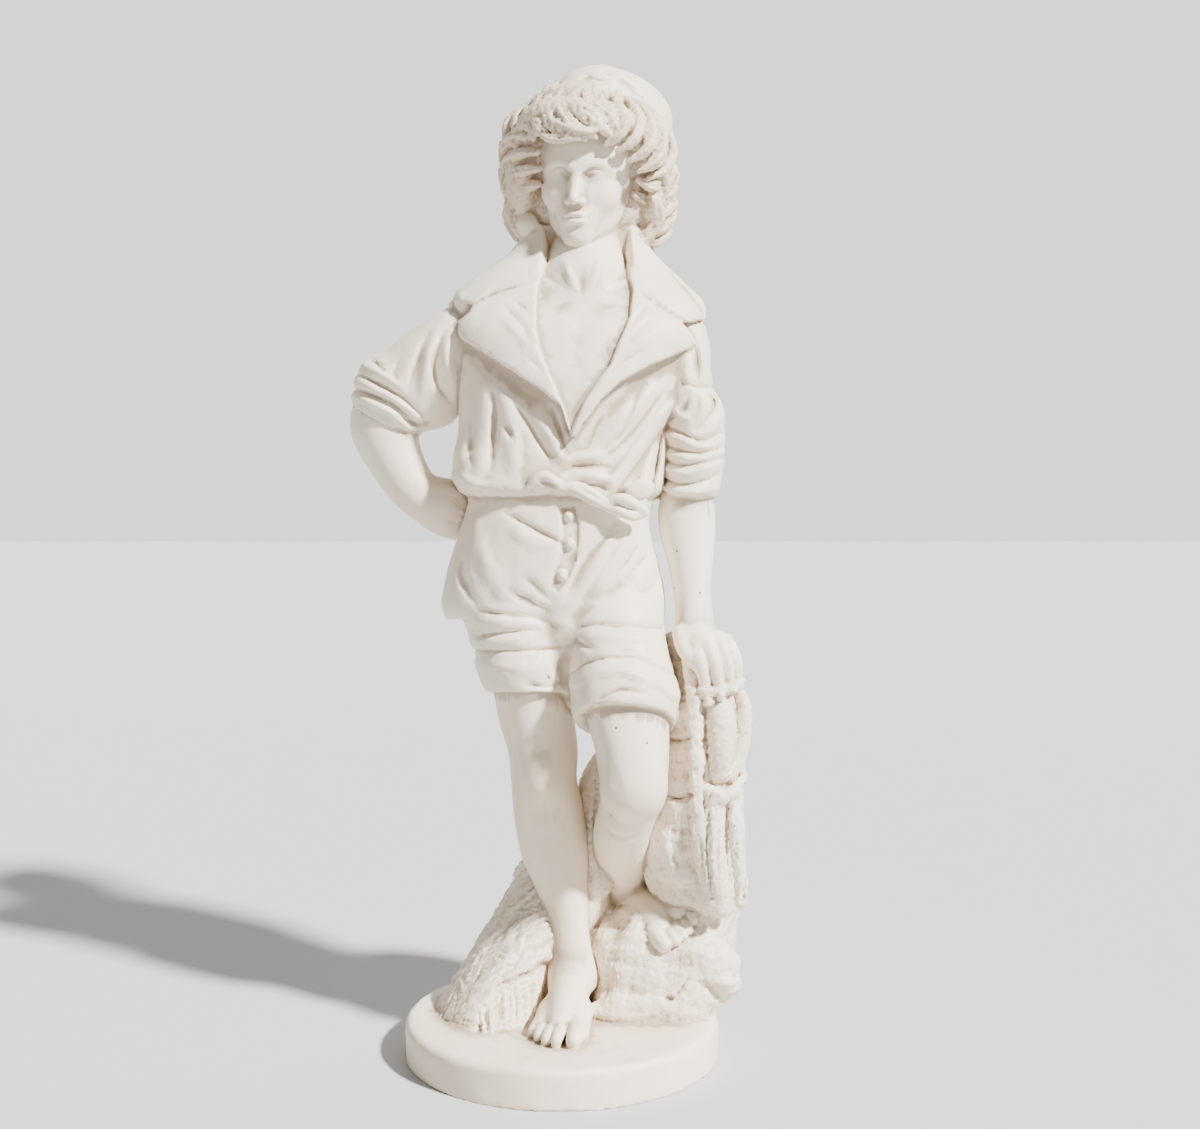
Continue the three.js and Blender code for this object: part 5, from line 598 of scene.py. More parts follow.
def straight_arm():
    """Straight arm and its sleeve."""
    begin()
    loft([
        [777.6, 118, 157.3, -20, 50],
        [758, 104.6, 163, -28, 56],
        [730.6, 103.6, 165.3, -33, 58],
        [703, 109, 168.7, -34, 54],
        [679, 111.4, 177.7, -34, 50],
        [653.7, 112.6, 181, -34, 48],
        [620.6, 111.6, 180, -36, 48],
        [602, 113, 177, -34, 46],
        [583, 115, 171.6, -30, 42]], 2.2, 8)
    folds(-120, 10,
        [[153, 773, 5, 1], [156.4, 745, 7, 4], [160, 710, 5, 1]],
        [[148.7, 752.5, 3, 0], [149, 729.5, 5, -4], [152, 707.6, 3, -1]],
        [[140, 745, 5, 1], [138, 723, 8, 4], [142.3, 701, 5, 1]])
    # seam and the gathers of the turned-up sleeve
    fold([[135.6, 710, 3, -3], [151, 706.5, 3, -4], [167.6, 706.5, 3, -3], [179.7, 707.6, 3, -2]],
        -120, 100)
    folds(-120, 40,
        [[153.3, 703, 4, 1], [158, 690, 6, 4], [153.4, 674.6, 6, 3], [142.4, 661.4, 5, 0]],
        [[163, 702, 3, -1], [167.7, 688, 5, -5], [161, 672.4, 5, -5], [147, 657, 4, -1]],
        [[173, 699, 5, 2], [177.7, 681, 7, 4], [171, 663.6, 7, 4], [153.5, 650.4, 5, 1]],
        [[142.3, 701, 3, 0], [135.7, 683.4, 5, -4], [120.3, 670, 4, -1]],
        [[122.4, 690, 5, 1], [129, 677, 7, 4], [142.4, 670, 5, 1]])
    folds(-120, 100,
        [[110.4, 666, 4, -1], [131.4, 657, 4, -4], [153.5, 648, 4, -4], [178, 657, 3, -1.5]],
        [[110.4, 655, 5, 2], [136, 647, 7, 4], [158, 640.5, 6, 3], [178, 648, 5, 1]],
        [[110.4, 644, 3, -1], [131.5, 637, 4, -4], [158, 634, 4, -4], [180, 641.6, 3, -1.5]],
        [[111.6, 634, 4, 1], [136, 628.3, 6, 4], [160.3, 628.3, 5, 2], [178, 635, 5, 1]],
        [[111.6, 627, 3, -2], [131.5, 620.6, 4, -4], [153.6, 623, 4, -3], [180, 628.3, 3, -1.5]],
        [[112.7, 617.3, 5, 2], [136, 610.6, 6, 4], [160.3, 617.3, 6, 3], [178, 623, 4, 1]],
        [[111.6, 606, 3, -3], [131.6, 599.6, 4, -5], [153.7, 602, 4, -5], [173.6, 610.6, 3, -2]],
        [[114, 595, 5, 3], [140.5, 589.6, 6, 4], [173.7, 595, 5, 2]])
    settle(3)
    begin()
    loft([
        [598.5, 114, 167, -24, 38],
        [568.6, 107.3, 170.5, -24, 38],
        [543, 109.6, 170.7, -26, 36],
        [515, 117.5, 168.6, -28, 30],
        [487.3, 123, 166.5, -30, 24],
        [465, 126.5, 167.7, -32, 18],
        [446, 126.6, 170, -36, 14],
        [430, 125.5, 172.4, -42, 10]], 2.0, 8)
    # back of the hand, fingers over the top of the support
    lump([157, 421, -24], [27, 22, 26], 8, -20)
    rod([[151, 420, -38, 10], [154.6, 403, -50, 8.5], [159, 385, -50, 7.5], [161.5, 371.7, -46, 6.5]], 3)
    rod([[163.5, 423.4, -38, 10], [169, 405.5, -50, 8.5], [173.7, 387.5, -50, 7.5], [176, 373, -46, 6.5]],
        2)
    rod([[174.6, 427, -32, 10], [181.4, 410, -44, 8.5], [186, 392, -44, 7.5], [187, 379.6, -40, 6.5]], 2)
    rod([[182.4, 425.7, -22, 9], [191.4, 411, -32, 8], [196, 395.3, -33, 7], [195, 383, -30, 6]], 2)
    rod([[134.4, 432.4, -30, 11], [136.7, 416.7, -42, 9], [145.7, 403, -46, 8], [153.6, 395.3, -46, 7]], 4)
    settle(2, SKIN)


def shorts():
    """Short trousers."""
    begin()
    loft([
        [588.5, -101, 106, -60, 52],
        [568.6, -105.6, 98.4, -62, 54],
        [537.4, -116, 99.6, -64, 62],
        [502, -127, 109.7, -64, 70],
        [475, -133, 114, -62, 74],
        [459.3, -133, 114.3, -60, 72],
        [449, -128.6, 112, -56, 68]], 2.3, 4)
    # fly with its edge and buttons
    patch([[0, 573], [15.3, 574], [19.7, 557.5], [19.7, 535], [16.3, 514], [7.4, 493], [-3.7, 479.5],
        [-11.5, 484], [-6, 503], [1, 525], [3, 547.5]], -3, 2.4, -120, 0)
    fold([[-1.4, 571, 2.4, -1.5], [1, 547.5, 2.6, -2.5], [-1.4, 525, 2.6, -2.5], [-8, 502, 2.6, -2],
        [-12.6, 483, 2.4, -1]], -120, 0)
    lump([8.6, 564, -60], [5.6, 6, 6], 0.6)
    lump([9.7, 533, -62], [5.8, 6.2, 5], 0.6)
    lump([0.7, 498.4, -62], [5.6, 6, 5], 0.6)
    # pulls across the lap
    folds(-120, 0,
        [[-68, 571, 4, 0], [-48, 559.7, 5, -3], [-23.6, 546.3, 5, -4], [-0.3, 534, 4, -2]],
        [[-70, 559.7, 9, 0], [-43.6, 543, 12, 3], [-15, 524, 9, 0]],
        [[-93.4, 559.7, 9, 1], [-88, 520.7, 14, 3], [-66, 481.7, 14, 2], [-46, 466, 10, 0]],
        [[-66, 486, 5, 0], [-48.3, 475, 7, -3], [-26, 464, 6, -3], [-6, 457, 5, 0]],
        [[-46, 502, 5, 0], [-27, 484, 7, -3], [-10.4, 468.3, 5, -1]])
    fold([[-110.3, 528.5, 6, 0], [-109.4, 495, 9, -4], [-95, 466, 7, -2]], -120, 20)
    folds(-120, 0,
        [[55, 544, 4, 0], [41, 529.7, 5, -4], [25, 509.6, 6, -7], [13, 487.3, 6, -6], [3, 468.3, 5, -2]],
        [[69.6, 555, 7, 0], [53, 532, 10, 3], [35, 504, 11, 4], [18.5, 475, 8, 1]],
        [[87.4, 537.4, 4, 0], [74, 515, 6, -3], [58.6, 498.4, 5, 0]],
        [[98.5, 528.5, 4, 0], [87.5, 513, 5, -2.5], [72, 497.3, 4, 0]],
        [[105, 519.6, 7, 1], [93, 493, 12, 3], [65.3, 475, 12, 2], [43, 470.5, 8, 0]],
        [[56.4, 464, 5, 0], [37.4, 457, 7, -4], [18.5, 448, 7, -4], [5, 446, 5, -1]],
        [[-18.3, 457, 12, -2], [0.7, 455, 15, -6], [18.5, 455, 12, -3]])
    # seat at the back
    fold([[10, 600, 7, -3], [8, 540, 8, -7], [6, 455, 8, -7]], 20, 190)
    settle(0)
    begin()
    loft([
        [490.6, -112.7, 8.5, -40, 62],
        [464, -113, 7.4, -59, 63],
        [441.4, -106.4, 7.3, -62, 60],
        [425.7, -102, 7.3, -62, 59],
        [401, -94.3, 8.4, -62, 57],
        [386.3, -93.3, 9.5, -62, 56],
        [367, -84.5, 10.6, -60, 54]], 2.2, 3)
    folds(-120, 20,
        [[-114, 467, 4, -2], [-76, 456, 5, -4], [-34, 451.5, 5, -3], [-10.5, 446, 4, 0]],
        [[-104, 446, 9, 2], [-68.5, 445, 10, 3], [-33, 442.5, 8, 1]],
        [[-93, 430, 4, -1], [-68.5, 433.5, 4, -4], [-24, 437, 4, -1]],
        [[-97.6, 424.6, 5, 2], [-68.6, 423.4, 6, 2.5], [-35, 425.7, 6, 1]],
        [[-96.5, 414.5, 3.5, -3], [-63, 413.3, 4, -4], [-24, 414.5, 4, -4], [5, 416.7, 3.5, -2]],
        [[-93, 398.7, 11, 3], [-57.5, 394, 13, 3.4], [-18.4, 394, 11, 2]],
        [[-46.4, 369.4, 4, 0], [-34, 375, 5, -4], [-18.5, 373, 5, -3], [5, 379.6, 4, 0]])
    fold([[-82, 394, 3, 0], [-62, 391, 3, -2], [-44, 385, 3, 0]], -120, 0)
    settle(3)
    begin()
    loft([
        [493, 9.6, 109.7, -38, 58],
        [466, 6.3, 113, -64, 56],
        [442.5, 6, 114.3, -76, 50],
        [414.5, 7.3, 119, -90, 40],
        [386.3, 8.4, 127, -101, 28],
        [369.4, 9.5, 131.3, -108, 20],
        [349, 11.7, 130.3, -112, 12],
        [318.6, 18.4, 123.7, -114, 6]], 2.3, 4)
    trim([67.6, 354.7, -112], [-0.06, -0.93, -0.36], 3)
    folds(-140, 20,
        [[18.5, 439, 4, -1], [41, 442.5, 5, -4], [71, 440.3, 5, -4], [110, 439, 4, -3]],
        [[25, 429, 8, 1], [56.4, 430, 10, 3], [99, 429, 9, 2]],
        [[14, 425.7, 5, 0], [25, 420, 6, -3], [41, 412, 5, 0]],
        [[54, 414.5, 3, 0], [74.3, 412, 3.4, -2], [96.6, 414.5, 3, 0]])
    fold([[13, 388.6, 3, -2], [29.6, 400, 4, -4], [56.4, 405.5, 4, -4], [87.7, 403, 4, -3],
        [124.6, 387.5, 3, -2]], -160, 40)
    folds(-160, 20,
        [[14, 376, 8, 3], [38.5, 389.7, 10, 4], [71, 391, 10, 4], [104.5, 378.4, 9, 4], [128, 362.7, 8, 3]],
        [[32, 351.4, 4, -1], [47.5, 361.5, 5, -5], [67.6, 369.4, 5, -5], [93.3, 365, 4, -2]])
    fold([[5, 470.5, 5, -2], [20.7, 464, 6, -3], [43, 464, 5, 0]], -120, 0)
    settle(8)
    begin()
    rod([[0.7, 472.7, -34, 24], [4, 442.5, -38, 20], [8.4, 403, -34, 13], [13, 358, -22, 9]], 3)
    settle(14)


def standing_leg():
    """Standing leg and foot."""
    begin()
    loft([
        [403, -80, 8.4, -50, 48],
        [365, -75.5, 9.5, -48, 47],
        [333.3, -70, 15, -45, 46],
        [299.3, -60, 18.3, -42, 43],
        [270, -57, 17, -42, 42],
        [241.3, -55, 23, -37, 45],
        [210.5, -51.5, 28.4, -31, 52],
        [179.6, -45, 30.6, -28, 53],
        [147.5, -31.5, 30, -25, 47],
        [118.7, -21.4, 30, -22, 38],
        [90, -14.7, 31, -20, 31],
        [61, -12.5, 36, -20, 28],
        [43.7, -13.6, 39.6, -24, 28],
        [26.3, -13.7, 38.5, -26, 26]], 2.1, 8)
    lump([-21, 276.6, -22], [19, 28, 18], 26, 4)
    folds(-120, 0,
        [[-43.4, 295, 10, 0], [-44.6, 272, 12, -1.4], [-38, 249.3, 10, 0]],
        [[2.6, 295, 10, 0], [1.5, 272, 12, -1.4], [-5.3, 249.3, 10, 0]],
        [[-35.5, 297, 6, 0], [-21, 301.6, 7, -1.5], [-5, 298, 6, 0]],
        [[-30, 257, 8, 0], [-19, 254, 9, 1.5], [-7.5, 257, 8, 0]],
        [[-13, 244.7, 11, 0], [-4.3, 187.6, 13, 1.5], [5.7, 124.5, 11, 1], [10, 78.4, 8, 0]])
    # heel, instep and toes
    lump([10.3, 24.7, 20], [23, 19, 24], 10)
    rod([[10, 46, 6, 24], [7.6, 22.6, -22, 23], [3, -1, -52, 21], [-1.7, -14.7, -72, 16]], 10)
    rod([[19.5, 2, -40, 16], [19, -14.7, -72, 13], [19, -26, -96, 11]], 8)
    rod([[-13, 3.6, -30, 14], [-20, -9, -54, 12], [-24.4, -15.6, -66, 10]], 8)
    rod([[17, -20, -84, 11], [15.5, -26.7, -101, 10.5], [13, -33, -112, 9]], 2)
    rod([[0, -18, -78, 8], [-3.4, -24.4, -98, 7.5], [-7, -33.7, -111, 6.5]], 1)
    rod([[-10, -16.7, -72, 7.5], [-15, -23, -91, 7], [-18.4, -31.6, -103, 6]], 1)
    rod([[-19, -15, -65, 7], [-24, -20, -81, 6.5], [-27.4, -27.4, -92, 5.5]], 1)
    rod([[-26, -12, -56, 7], [-30.7, -16.7, -69, 6.5], [-34, -22, -78, 5.5]], 1)
    settle(2, SKIN)


def bent_leg():
    """Bent leg, its foot drawn back on the rock."""
    begin()
    loft([
        [392, 18.4, 114.5, -88, 14],
        [358, 25, 119, -98, 2],
        [331, 29.6, 120.3, -106, -8],
        [301.6, 37.4, 120.4, -114, -18],
        [273, 42, 119.3, -118, -22],
        [250.4, 46.4, 116, -117, -24],
        [231, 54, 109.3, -110, -30]], 2.3, 12)
    rod([[80, 249.3, -76, 33], [68, 210.5, -34, 32], [66.7, 180.7, 16, 29], [70, 148.6, 56, 24],
        [72.4, 132.5, 74, 22]], 10)
    lump([81, 258.4, -92], [34, 30, 24], 14)
    folds(-160, 20,
        [[47.5, 244.7, 5, 0], [55.4, 226.5, 7, -3], [72, 217.3, 7, -2], [88, 222, 5, 0]],
        [[46.4, 219.6, 4, 0], [56.5, 206, 5, -3], [79, 202.5, 5, -2], [93.6, 210.5, 4, 0]],
        [[56.5, 285.7, 8, 0], [61, 263, 9, -1.5], [70, 244.7, 8, 0]])
    # foot
    lump([66.7, 133.7, 86], [21, 20, 24], 8)
    rod([[74.6, 137, 70, 23], [90.4, 121, 40, 22], [106.3, 105, 12, 20], [114, 95.7, -4, 15]], 8)
    rod([[95, 124.5, 40, 18], [120, 121, 16, 15], [133.4, 113, 0, 12]], 8)
    rod([[105, 93.4, -6, 12], [111, 84, -20, 10.5], [115.4, 78.4, -28, 9]], 3)
    rod([[120, 95.7, -8, 8], [125.6, 87.6, -20, 7.5], [129, 83, -27, 6.5]], 1)
    rod([[126.6, 101.5, -6, 7.5], [133.5, 93.4, -17, 7], [137, 89, -23, 6]], 1)
    rod([[133.4, 107, -3, 7], [140, 100.3, -13, 6.5], [143.6, 95.7, -18, 5.5]], 1)
    rod([[138, 115.3, 2, 7], [144.7, 110.7, -7, 6.5], [148, 107, -12, 5.5]], 1)
    settle(2, SKIN)


def sheaf():
    """Sheaf of netting that falls behind the standing leg."""
    begin()
    loft([
        [233.3, 5, 52, 20, 66],
        [199, -19, 56.5, 16, 76],
        [176, -45, 56.5, 10, 84],
        [147.5, -61, 54.3, 4, 92],
        [124.5, -74.4, 52, -4, 96],
        [93.4, -92.7, 31.7, -14, 100],
        [61, -112, 4.5, -28, 106],
        [35.6, -127, -2.3, -42, 108],
        [5.4, -142, -7, -58, 108],
        [-15.5, -144.4, -7, -68, 104],
        [-36.5, -139, -11.6, -70, 100]], 2.0, 4)
    rod([[49.7, 299.3, 24, 9], [43, 276.6, 22, 17], [38.5, 244.7, 24, 24], [34, 199, 26, 28],
        [34, 153, 24, 24]], 6)
    folds(-120, 20,
        [[29.5, 256, 4, -1], [27, 199, 5, -4], [33, 130, 4, -2]],
        [[39.6, 279, 4, -1], [38.5, 210.5, 5, -4], [43, 153, 4, -1]])
    # lower layer set back under the ragged edge of the upper one
    patch([[-77, 28.6], [-67, 36.7], [-56.7, 38], [-45.4, 46], [-35, 48.3], [-24, 58.7], [-12.5, 60],
        [9, 67], [9, -55], [-70.7, -55], [-79.6, -8.5]], -8, 3.5, -120, 0)
    folds(-120, 20,
        [[-64.6, 42.5, 7, 1], [-42, 54, 7, 4], [-16, 68, 7, 2]],
        [[-45.3, 75, 4, -1], [-30.6, 72.6, 5, -4], [-13.6, 83, 4, -2]],
        [[-104.5, 14.7, 9, 2], [-81.6, 43.7, 11, 5], [-47.5, 78.4, 10, 3]],
        [[-93, 58.7, 7, 0], [-70, 90, 8, -4], [-36, 124.5, 7, -1]],
        [[-72.3, 95.7, 8, 1], [-53, 124.5, 9, 4], [-27, 153, 8, 1]])
    grooves([[-142, -6], [-131.6, 26.3], [-111, 61], [-87, 101.5], [-56, 155.5]], [[-59, 40], [-30.5, 93.4],
        [-15.7, 132.5], [-15.6, 164.7], [-31.4, 180.7]], 24, 5, -4.2, 5)
    grooves([[-104.7, -20], [-86.3, 14.7], [-72.6, 24], [-47.7, 35.6], [-13.6, 49.5]], [[-98, -25],
        [-84, -22.5], [-70.6, -22.5], [-48, -18], [-16, 3]], 12, 4.6, -4, 19)
    cut(ball([-71.5, 32, -58], [3.4, 3.6, 12]), 1)
    settle(1, NET)


def rock():
    """Rough rock under the bent leg."""
    begin()
    loft([
        [132.5, 68, 174, 20, 150],
        [105, 45.3, 187.7, -6, 156],
        [78.4, 37.3, 192.3, -22, 158],
        [52, 33, 198, -30, 160],
        [34.4, 34, 200.5, -33, 160],
        [18, 31.7, 197, -34, 158],
        [1, 29.4, 183.7, -34, 150],
        [-43.5, 29.4, 177, -30, 140]], 3.2, 6)
    rod([[149, 101.5, 40, 44], [160.4, 130, 34, 42], [161.4, 164.7, 30, 38]], 16)
    lump([83.7, 86.5, 92], [60, 34, 50], 16)
    lump([43, 61, 84], [54, 50, 56], 20)
    lump([46.4, 116.4, 66], [26, 22, 26], 12)
    cut(ball([52, 114, 2], [22, 27, 26]), 12)
    # breaks and swellings of the quarried face
    lump([150, 96, 96], [44, 40, 50], 12, 20, 30)
    lump([60, 80, 118], [60, 46, 34], 12, -14)
    cut(ball([104, 60, 168], [18, 60, 24], 12), 10)
    lump([170, 54, -12], [32, 28, 22], 16, 20, 20)
    lump([183.5, 33.3, -6], [20, 13, 30], 6)
    lump([88.4, 3, -22], [70, 16, 14], 16, 2)
    cut(ball([163, 86.5, -34], [22, 8, 10], -12), 10)
    cut(limb([[145, -6, -40, 4], [163.3, -4, -34, 4.5], [186, 3, -10, 5], [190.5, 3, 30, 5]]), 2)
    cut(ball([121.3, 17, -40], [7, 3.5, 9], 20), 2)
    folds(-120, 20,
        [[127, 19.3, 2.5, -1], [135, 28.6, 3, -4], [146, 45, 2.5, -1]],
        [[47.5, 14.7, 9, 0], [88.3, 26.3, 12, -2], [124.6, 33.3, 9, 0]],
        [[50, 72.6, 9, 0], [77, 56.4, 12, -2], [115.5, 58.7, 9, 0]],
        [[115.4, 63.4, 9, 0], [145, 70.3, 12, 3], [181, 77, 8, 0]],
        [[145, 43.7, 7, 0], [170, 24, 9, -3], [186, 10, 7, 0]])
    settle(3, ROCK)


def stump():
    """Lopped stump that carries the hand."""
    begin()
    loft([
        [434.7, 114.4, 159, -6, 40],
        [414.5, 114.4, 183.6, -14, 56],
        [394, 116.7, 197, -26, 66],
        [375, 119, 200.6, -36, 74],
        [352.5, 119, 204, -42, 78],
        [313, 110, 204.4, -44, 82],
        [256, 105, 202.5, -43, 86],
        [210.5, 97, 205, -38, 92],
        [176, 91.5, 207.5, -30, 98],
        [141.7, 99.4, 208, -18, 100],
        [121, 115.3, 203.4, -12, 100],
        [109.5, 133.4, 196.7, -4, 100]], 2.4, 6)
    # bark ridges and a hollow down the back
    rod([[136, 432, 52, 9], [133, 380, 70, 11], [135, 290, 80, 12], [128, 170, 88, 14]], 10)
    rod([[162, 424, 56, 9], [164, 350, 74, 12], [158, 240, 84, 12], [162, 150, 86, 14]], 10)
    rod([[186, 400, 40, 8], [188, 340, 56, 10], [184, 240, 66, 10], [180, 160, 72, 10]], 10)
    cut(ball([148, 350, 92], [7, 44, 12], 6), 8)
    cut(ball([173, 290, 86], [7, 40, 12], -8), 8)
    # draped netting over the foot of the stump
    patch([[117, 242.4], [106, 219.6], [95, 201.3], [91.4, 187.6], [97, 170.4], [116.3, 147.5],
        [144.6, 124.5], [163, 112], [173.7, 176], [157.6, 242.4]], 5, 3.5, -120, 20)
    folds(-120, 20,
        [[124, 222, 6, 1], [115, 187.6, 9, 4], [133.3, 147.5, 8, 2]],
        [[144, 231, 5, 0], [137.6, 193.3, 8, -4], [153.6, 141.7, 7, -1]])
    cut(ball([156, 146.3, -34], [6, 3.5, 7], -20), 2)
    # bark column, knot and lopped segment
    rod([[141.3, 398.7, -36, 8], [149.3, 358, -43, 8], [151.7, 301.6, -47, 9], [152, 244.7, -47, 9],
        [159, 187.6, -43, 10], [169.5, 128, -34, 10]], 8)
    lump([131.4, 339, -28], [14, 17, 11], 10)
    cut(ball([129, 344.6, -46], [5, 7, 6], -20), 2.5)
    cut(ball([137, 327.6, -45], [3.5, 4, 5]), 2)
    folds(-120, 20,
        [[114.7, 315, 3, -3], [130.4, 312, 3.5, -7], [145, 315, 3, -3]],
        [[117, 250.4, 3, -4], [130.6, 246, 3.5, -9], [146.4, 250.4, 3, -4]],
        [[117, 292.5, 3, 0], [132.7, 288, 4, -2.5], [144, 292.5, 3, 0]],
        [[117, 274.3, 3, 0], [130.6, 268.6, 4, -2], [144, 271, 3, 0]])
    grooves([[141.3, 394], [157, 394]], [[160.4, 130], [180.7, 130]], 4, 4, -2.6, 31)
    grooves([[117, 235.6], [128.4, 240], [148.7, 240]], [[101.5, 201.3], [124, 192], [155.6, 197]],
        8, 3.6, -2.2, 37)
    settle(3, ROCK)


def bag():
    """Netting, flask and straps hung on the stump."""
    begin()
    # ragged edge of the netting under the fingers
    rod([[148, 376, -34, 7], [161.5, 365, -46, 7], [175, 369.4, -46, 7], [188.3, 371.7, -42, 7],
        [199.5, 378.4, -26, 6]], 4)
    lump([158, 370.5, -50], [6, 5, 5], 2)
    lump([165, 354.7, -50], [7, 5, 6], 2, 20)
    lump([178.3, 362.7, -54], [5, 6, 5], 2)
    lump([191.7, 369.4, -46], [6, 5, 5], 2)
    # swelling flask in it
    loft([
        [365, 159.3, 190.6, -46, 20],
        [344.6, 158.3, 196.3, -54, 30],
        [318.6, 158.4, 198.7, -58, 34],
        [292.5, 159.6, 198, -56, 30],
        [265, 164.3, 191, -48, 20]], 2.4, 6)
    folds(-120, 20,
        [[192, 353.6, 2.5, -1], [197.6, 318.6, 3, -5], [192, 288, 3, -4], [182, 267.5, 2.5, -2]],
        [[161.6, 353.6, 2.5, -1], [159.5, 318.6, 3, -4], [163, 281, 2.5, -2]])
    # second long form beside it
    rod([[198.4, 369.4, -24, 6], [204, 349, -24, 8], [203, 318.6, -24, 9], [200, 295, -26, 8],
        [190, 272, -32, 7]], 4)
    # strap with its loop and knob
    rod([[164.3, 255, -44, 8], [180, 248, -48, 8], [194.6, 255, -42, 8]], 3)
    rod([[203.5, 277.7, -14, 4], [203.5, 270, -16, 4.4], [195.7, 258.4, -30, 6]], 2)
    cut(ball([166.5, 273, -56], [3.4, 6.5, 11], 8), 1.2)
    # tails hanging down, with the channel between them
    rod([[172, 242.4, -42, 11], [171.3, 199, -45, 14], [174, 153, -42, 14], [178.5, 121, -30, 11]], 7)
    rod([[191.3, 242.4, -39, 8], [195, 210.5, -41, 10], [198.6, 167, -35, 9], [201, 128, -24, 7]], 4)
    folds(-120, 20,
        [[187, 238, 3, -4], [186, 199, 3.5, -7], [192, 155.5, 3.5, -7], [193, 121, 3, -4]],
        [[201.6, 219.6, 2.5, -2], [205.3, 176, 3, -6], [203.3, 128, 2.5, -4]],
        [[165.6, 231, 2.5, -2], [163.5, 187.6, 3, -5], [169.4, 130, 2.5, -3]])
    grooves([[164.4, 238], [182.4, 238]], [[165, 123.3], [187.6, 121]], 4, 3.4, -2.4, 43)
    grooves([[192.6, 222], [202.7, 222]], [[197.7, 130], [208, 132.5]], 2, 3, -2, 47)
    settle(2, NET)


def head():
    """Skull and face of a plain youthful type: eyes at half the head's height, nose at seven tenths."""
    begin()
    join(head_ball([0, 22, 14], [56, 56, 66]), 10)
    join(head_ball([0, 26, -16], [47, 36, 38]), 14)
    join(head_ball([0, -8, -10], [43.5, 49, 40]), 16)
    join(head_ball([0, -36, -20], [31, 32, 28]), 16)
    both_sides(join, 14, [[-43, -6, 10, 11], [-34, -32, 2, 11.5], [-21.5, -52, -16, 11], [-7, -63, -32, 10],
        [0, -64, -34, 10]])
    join(head_ball([0, -65, -41], [14, 11, 12]), 10)
    both_sides(join, 14, [[-26, -20, -32]], [15, 14, 13])
    join(head_ball([0, -45, -42], [19, 15, 13]), 10)
    both_sides(cut, 8, [[-19, 1, -58]], [13.5, 8.5, 10.5], -4)
    join(head_limb([[-36, 7, -36, 4], [-27, 14, -45, 4.6], [-14, 14, -51, 4.6], [-5, 9, -53, 5],
        [0, 8, -53, 5], [5, 9, -53, 5], [14, 14, -51, 4.6], [27, 14, -45, 4.6], [36, 7, -36, 4]]), 7)
    both_sides(join, 1.5, [[-19.5, -0.5, -37.5]], [12.4, 11, 11.5])
    both_sides(join, 1.2, [[-30.5, -2.5, -40, 1.4], [-27, 2.6, -45, 2], [-20, 5.4, -48.6, 2.2],
        [-13, 3.8, -48.4, 2.1], [-8.5, -1.6, -45.6, 1.4]])
    both_sides(join, 1.6, [[-30, -3, -40, 1.2], [-26, -5.4, -44, 1.5], [-19.5, -7, -46.6, 1.6],
        [-13, -5.8, -46.4, 1.5], [-8.5, -2.4, -45, 1.2]])
    join(head_ball([0, -15, -52], [9, 15, 9]), 6)
    join(head_limb([[0, 12, -48, 5.4], [0, 2, -52.5, 4.6], [0, -10, -58, 4.8], [0, -20, -63.5, 5.6],
        [0, -25, -65.5, 6.2]]), 6)
    both_sides(join, 3, [[-7.4, -27.5, -57]], [4.8, 4.4, 6.6])
    both_sides(cut, 1.6, [[-4.6, -31, -56, 1.9], [-3.9, -31.6, -61, 1.9]])
    join(head_limb([[-14.5, -44.6, -50.4, 1.4], [-9, -42.4, -54.4, 2.6], [-3.2, -40.6, -56.8, 3.2],
        [0, -41.4, -56.8, 3], [3.2, -40.6, -56.8, 3.2], [9, -42.4, -54.4, 2.6],
        [14.5, -44.6, -50.4, 1.4]]), 2.4)
    join(head_limb([[-12, -47, -51, 2], [-6, -49.4, -54.4, 3.5], [0, -50, -55.6, 4], [6, -49.4, -54.4, 3.5],
        [12, -47, -51, 2]]), 2.6)
    cut(head_limb([[-15.5, -45, -51, 1], [-8, -44.8, -57.6, 0.9], [-3, -44.4, -60, 0.9],
        [0, -45, -60.4, 0.9], [3, -44.4, -60, 0.9], [8, -44.8, -57.6, 0.9], [15.5, -45, -51, 1]]), 1.4)
    both_sides(cut, 3, [[-17, -45.4, -52]], [2.6, 3, 3])
    cut(head_limb([[0, -34, -61, 1.4], [0, -38.5, -60.6, 1.9]]), 2.6)
    cut(head_ball([0, -56.5, -58.5], [11, 3.2, 4.4]), 5)
    # ear half under the hair
    join(head_ball([55, -6, 10], [6, 15, 9], 0, 0, -10), 4)
    cut(head_ball([60, -4, 8], [4, 9, 5], 0, 0, -10), 3)
    settle(2, SKIN)


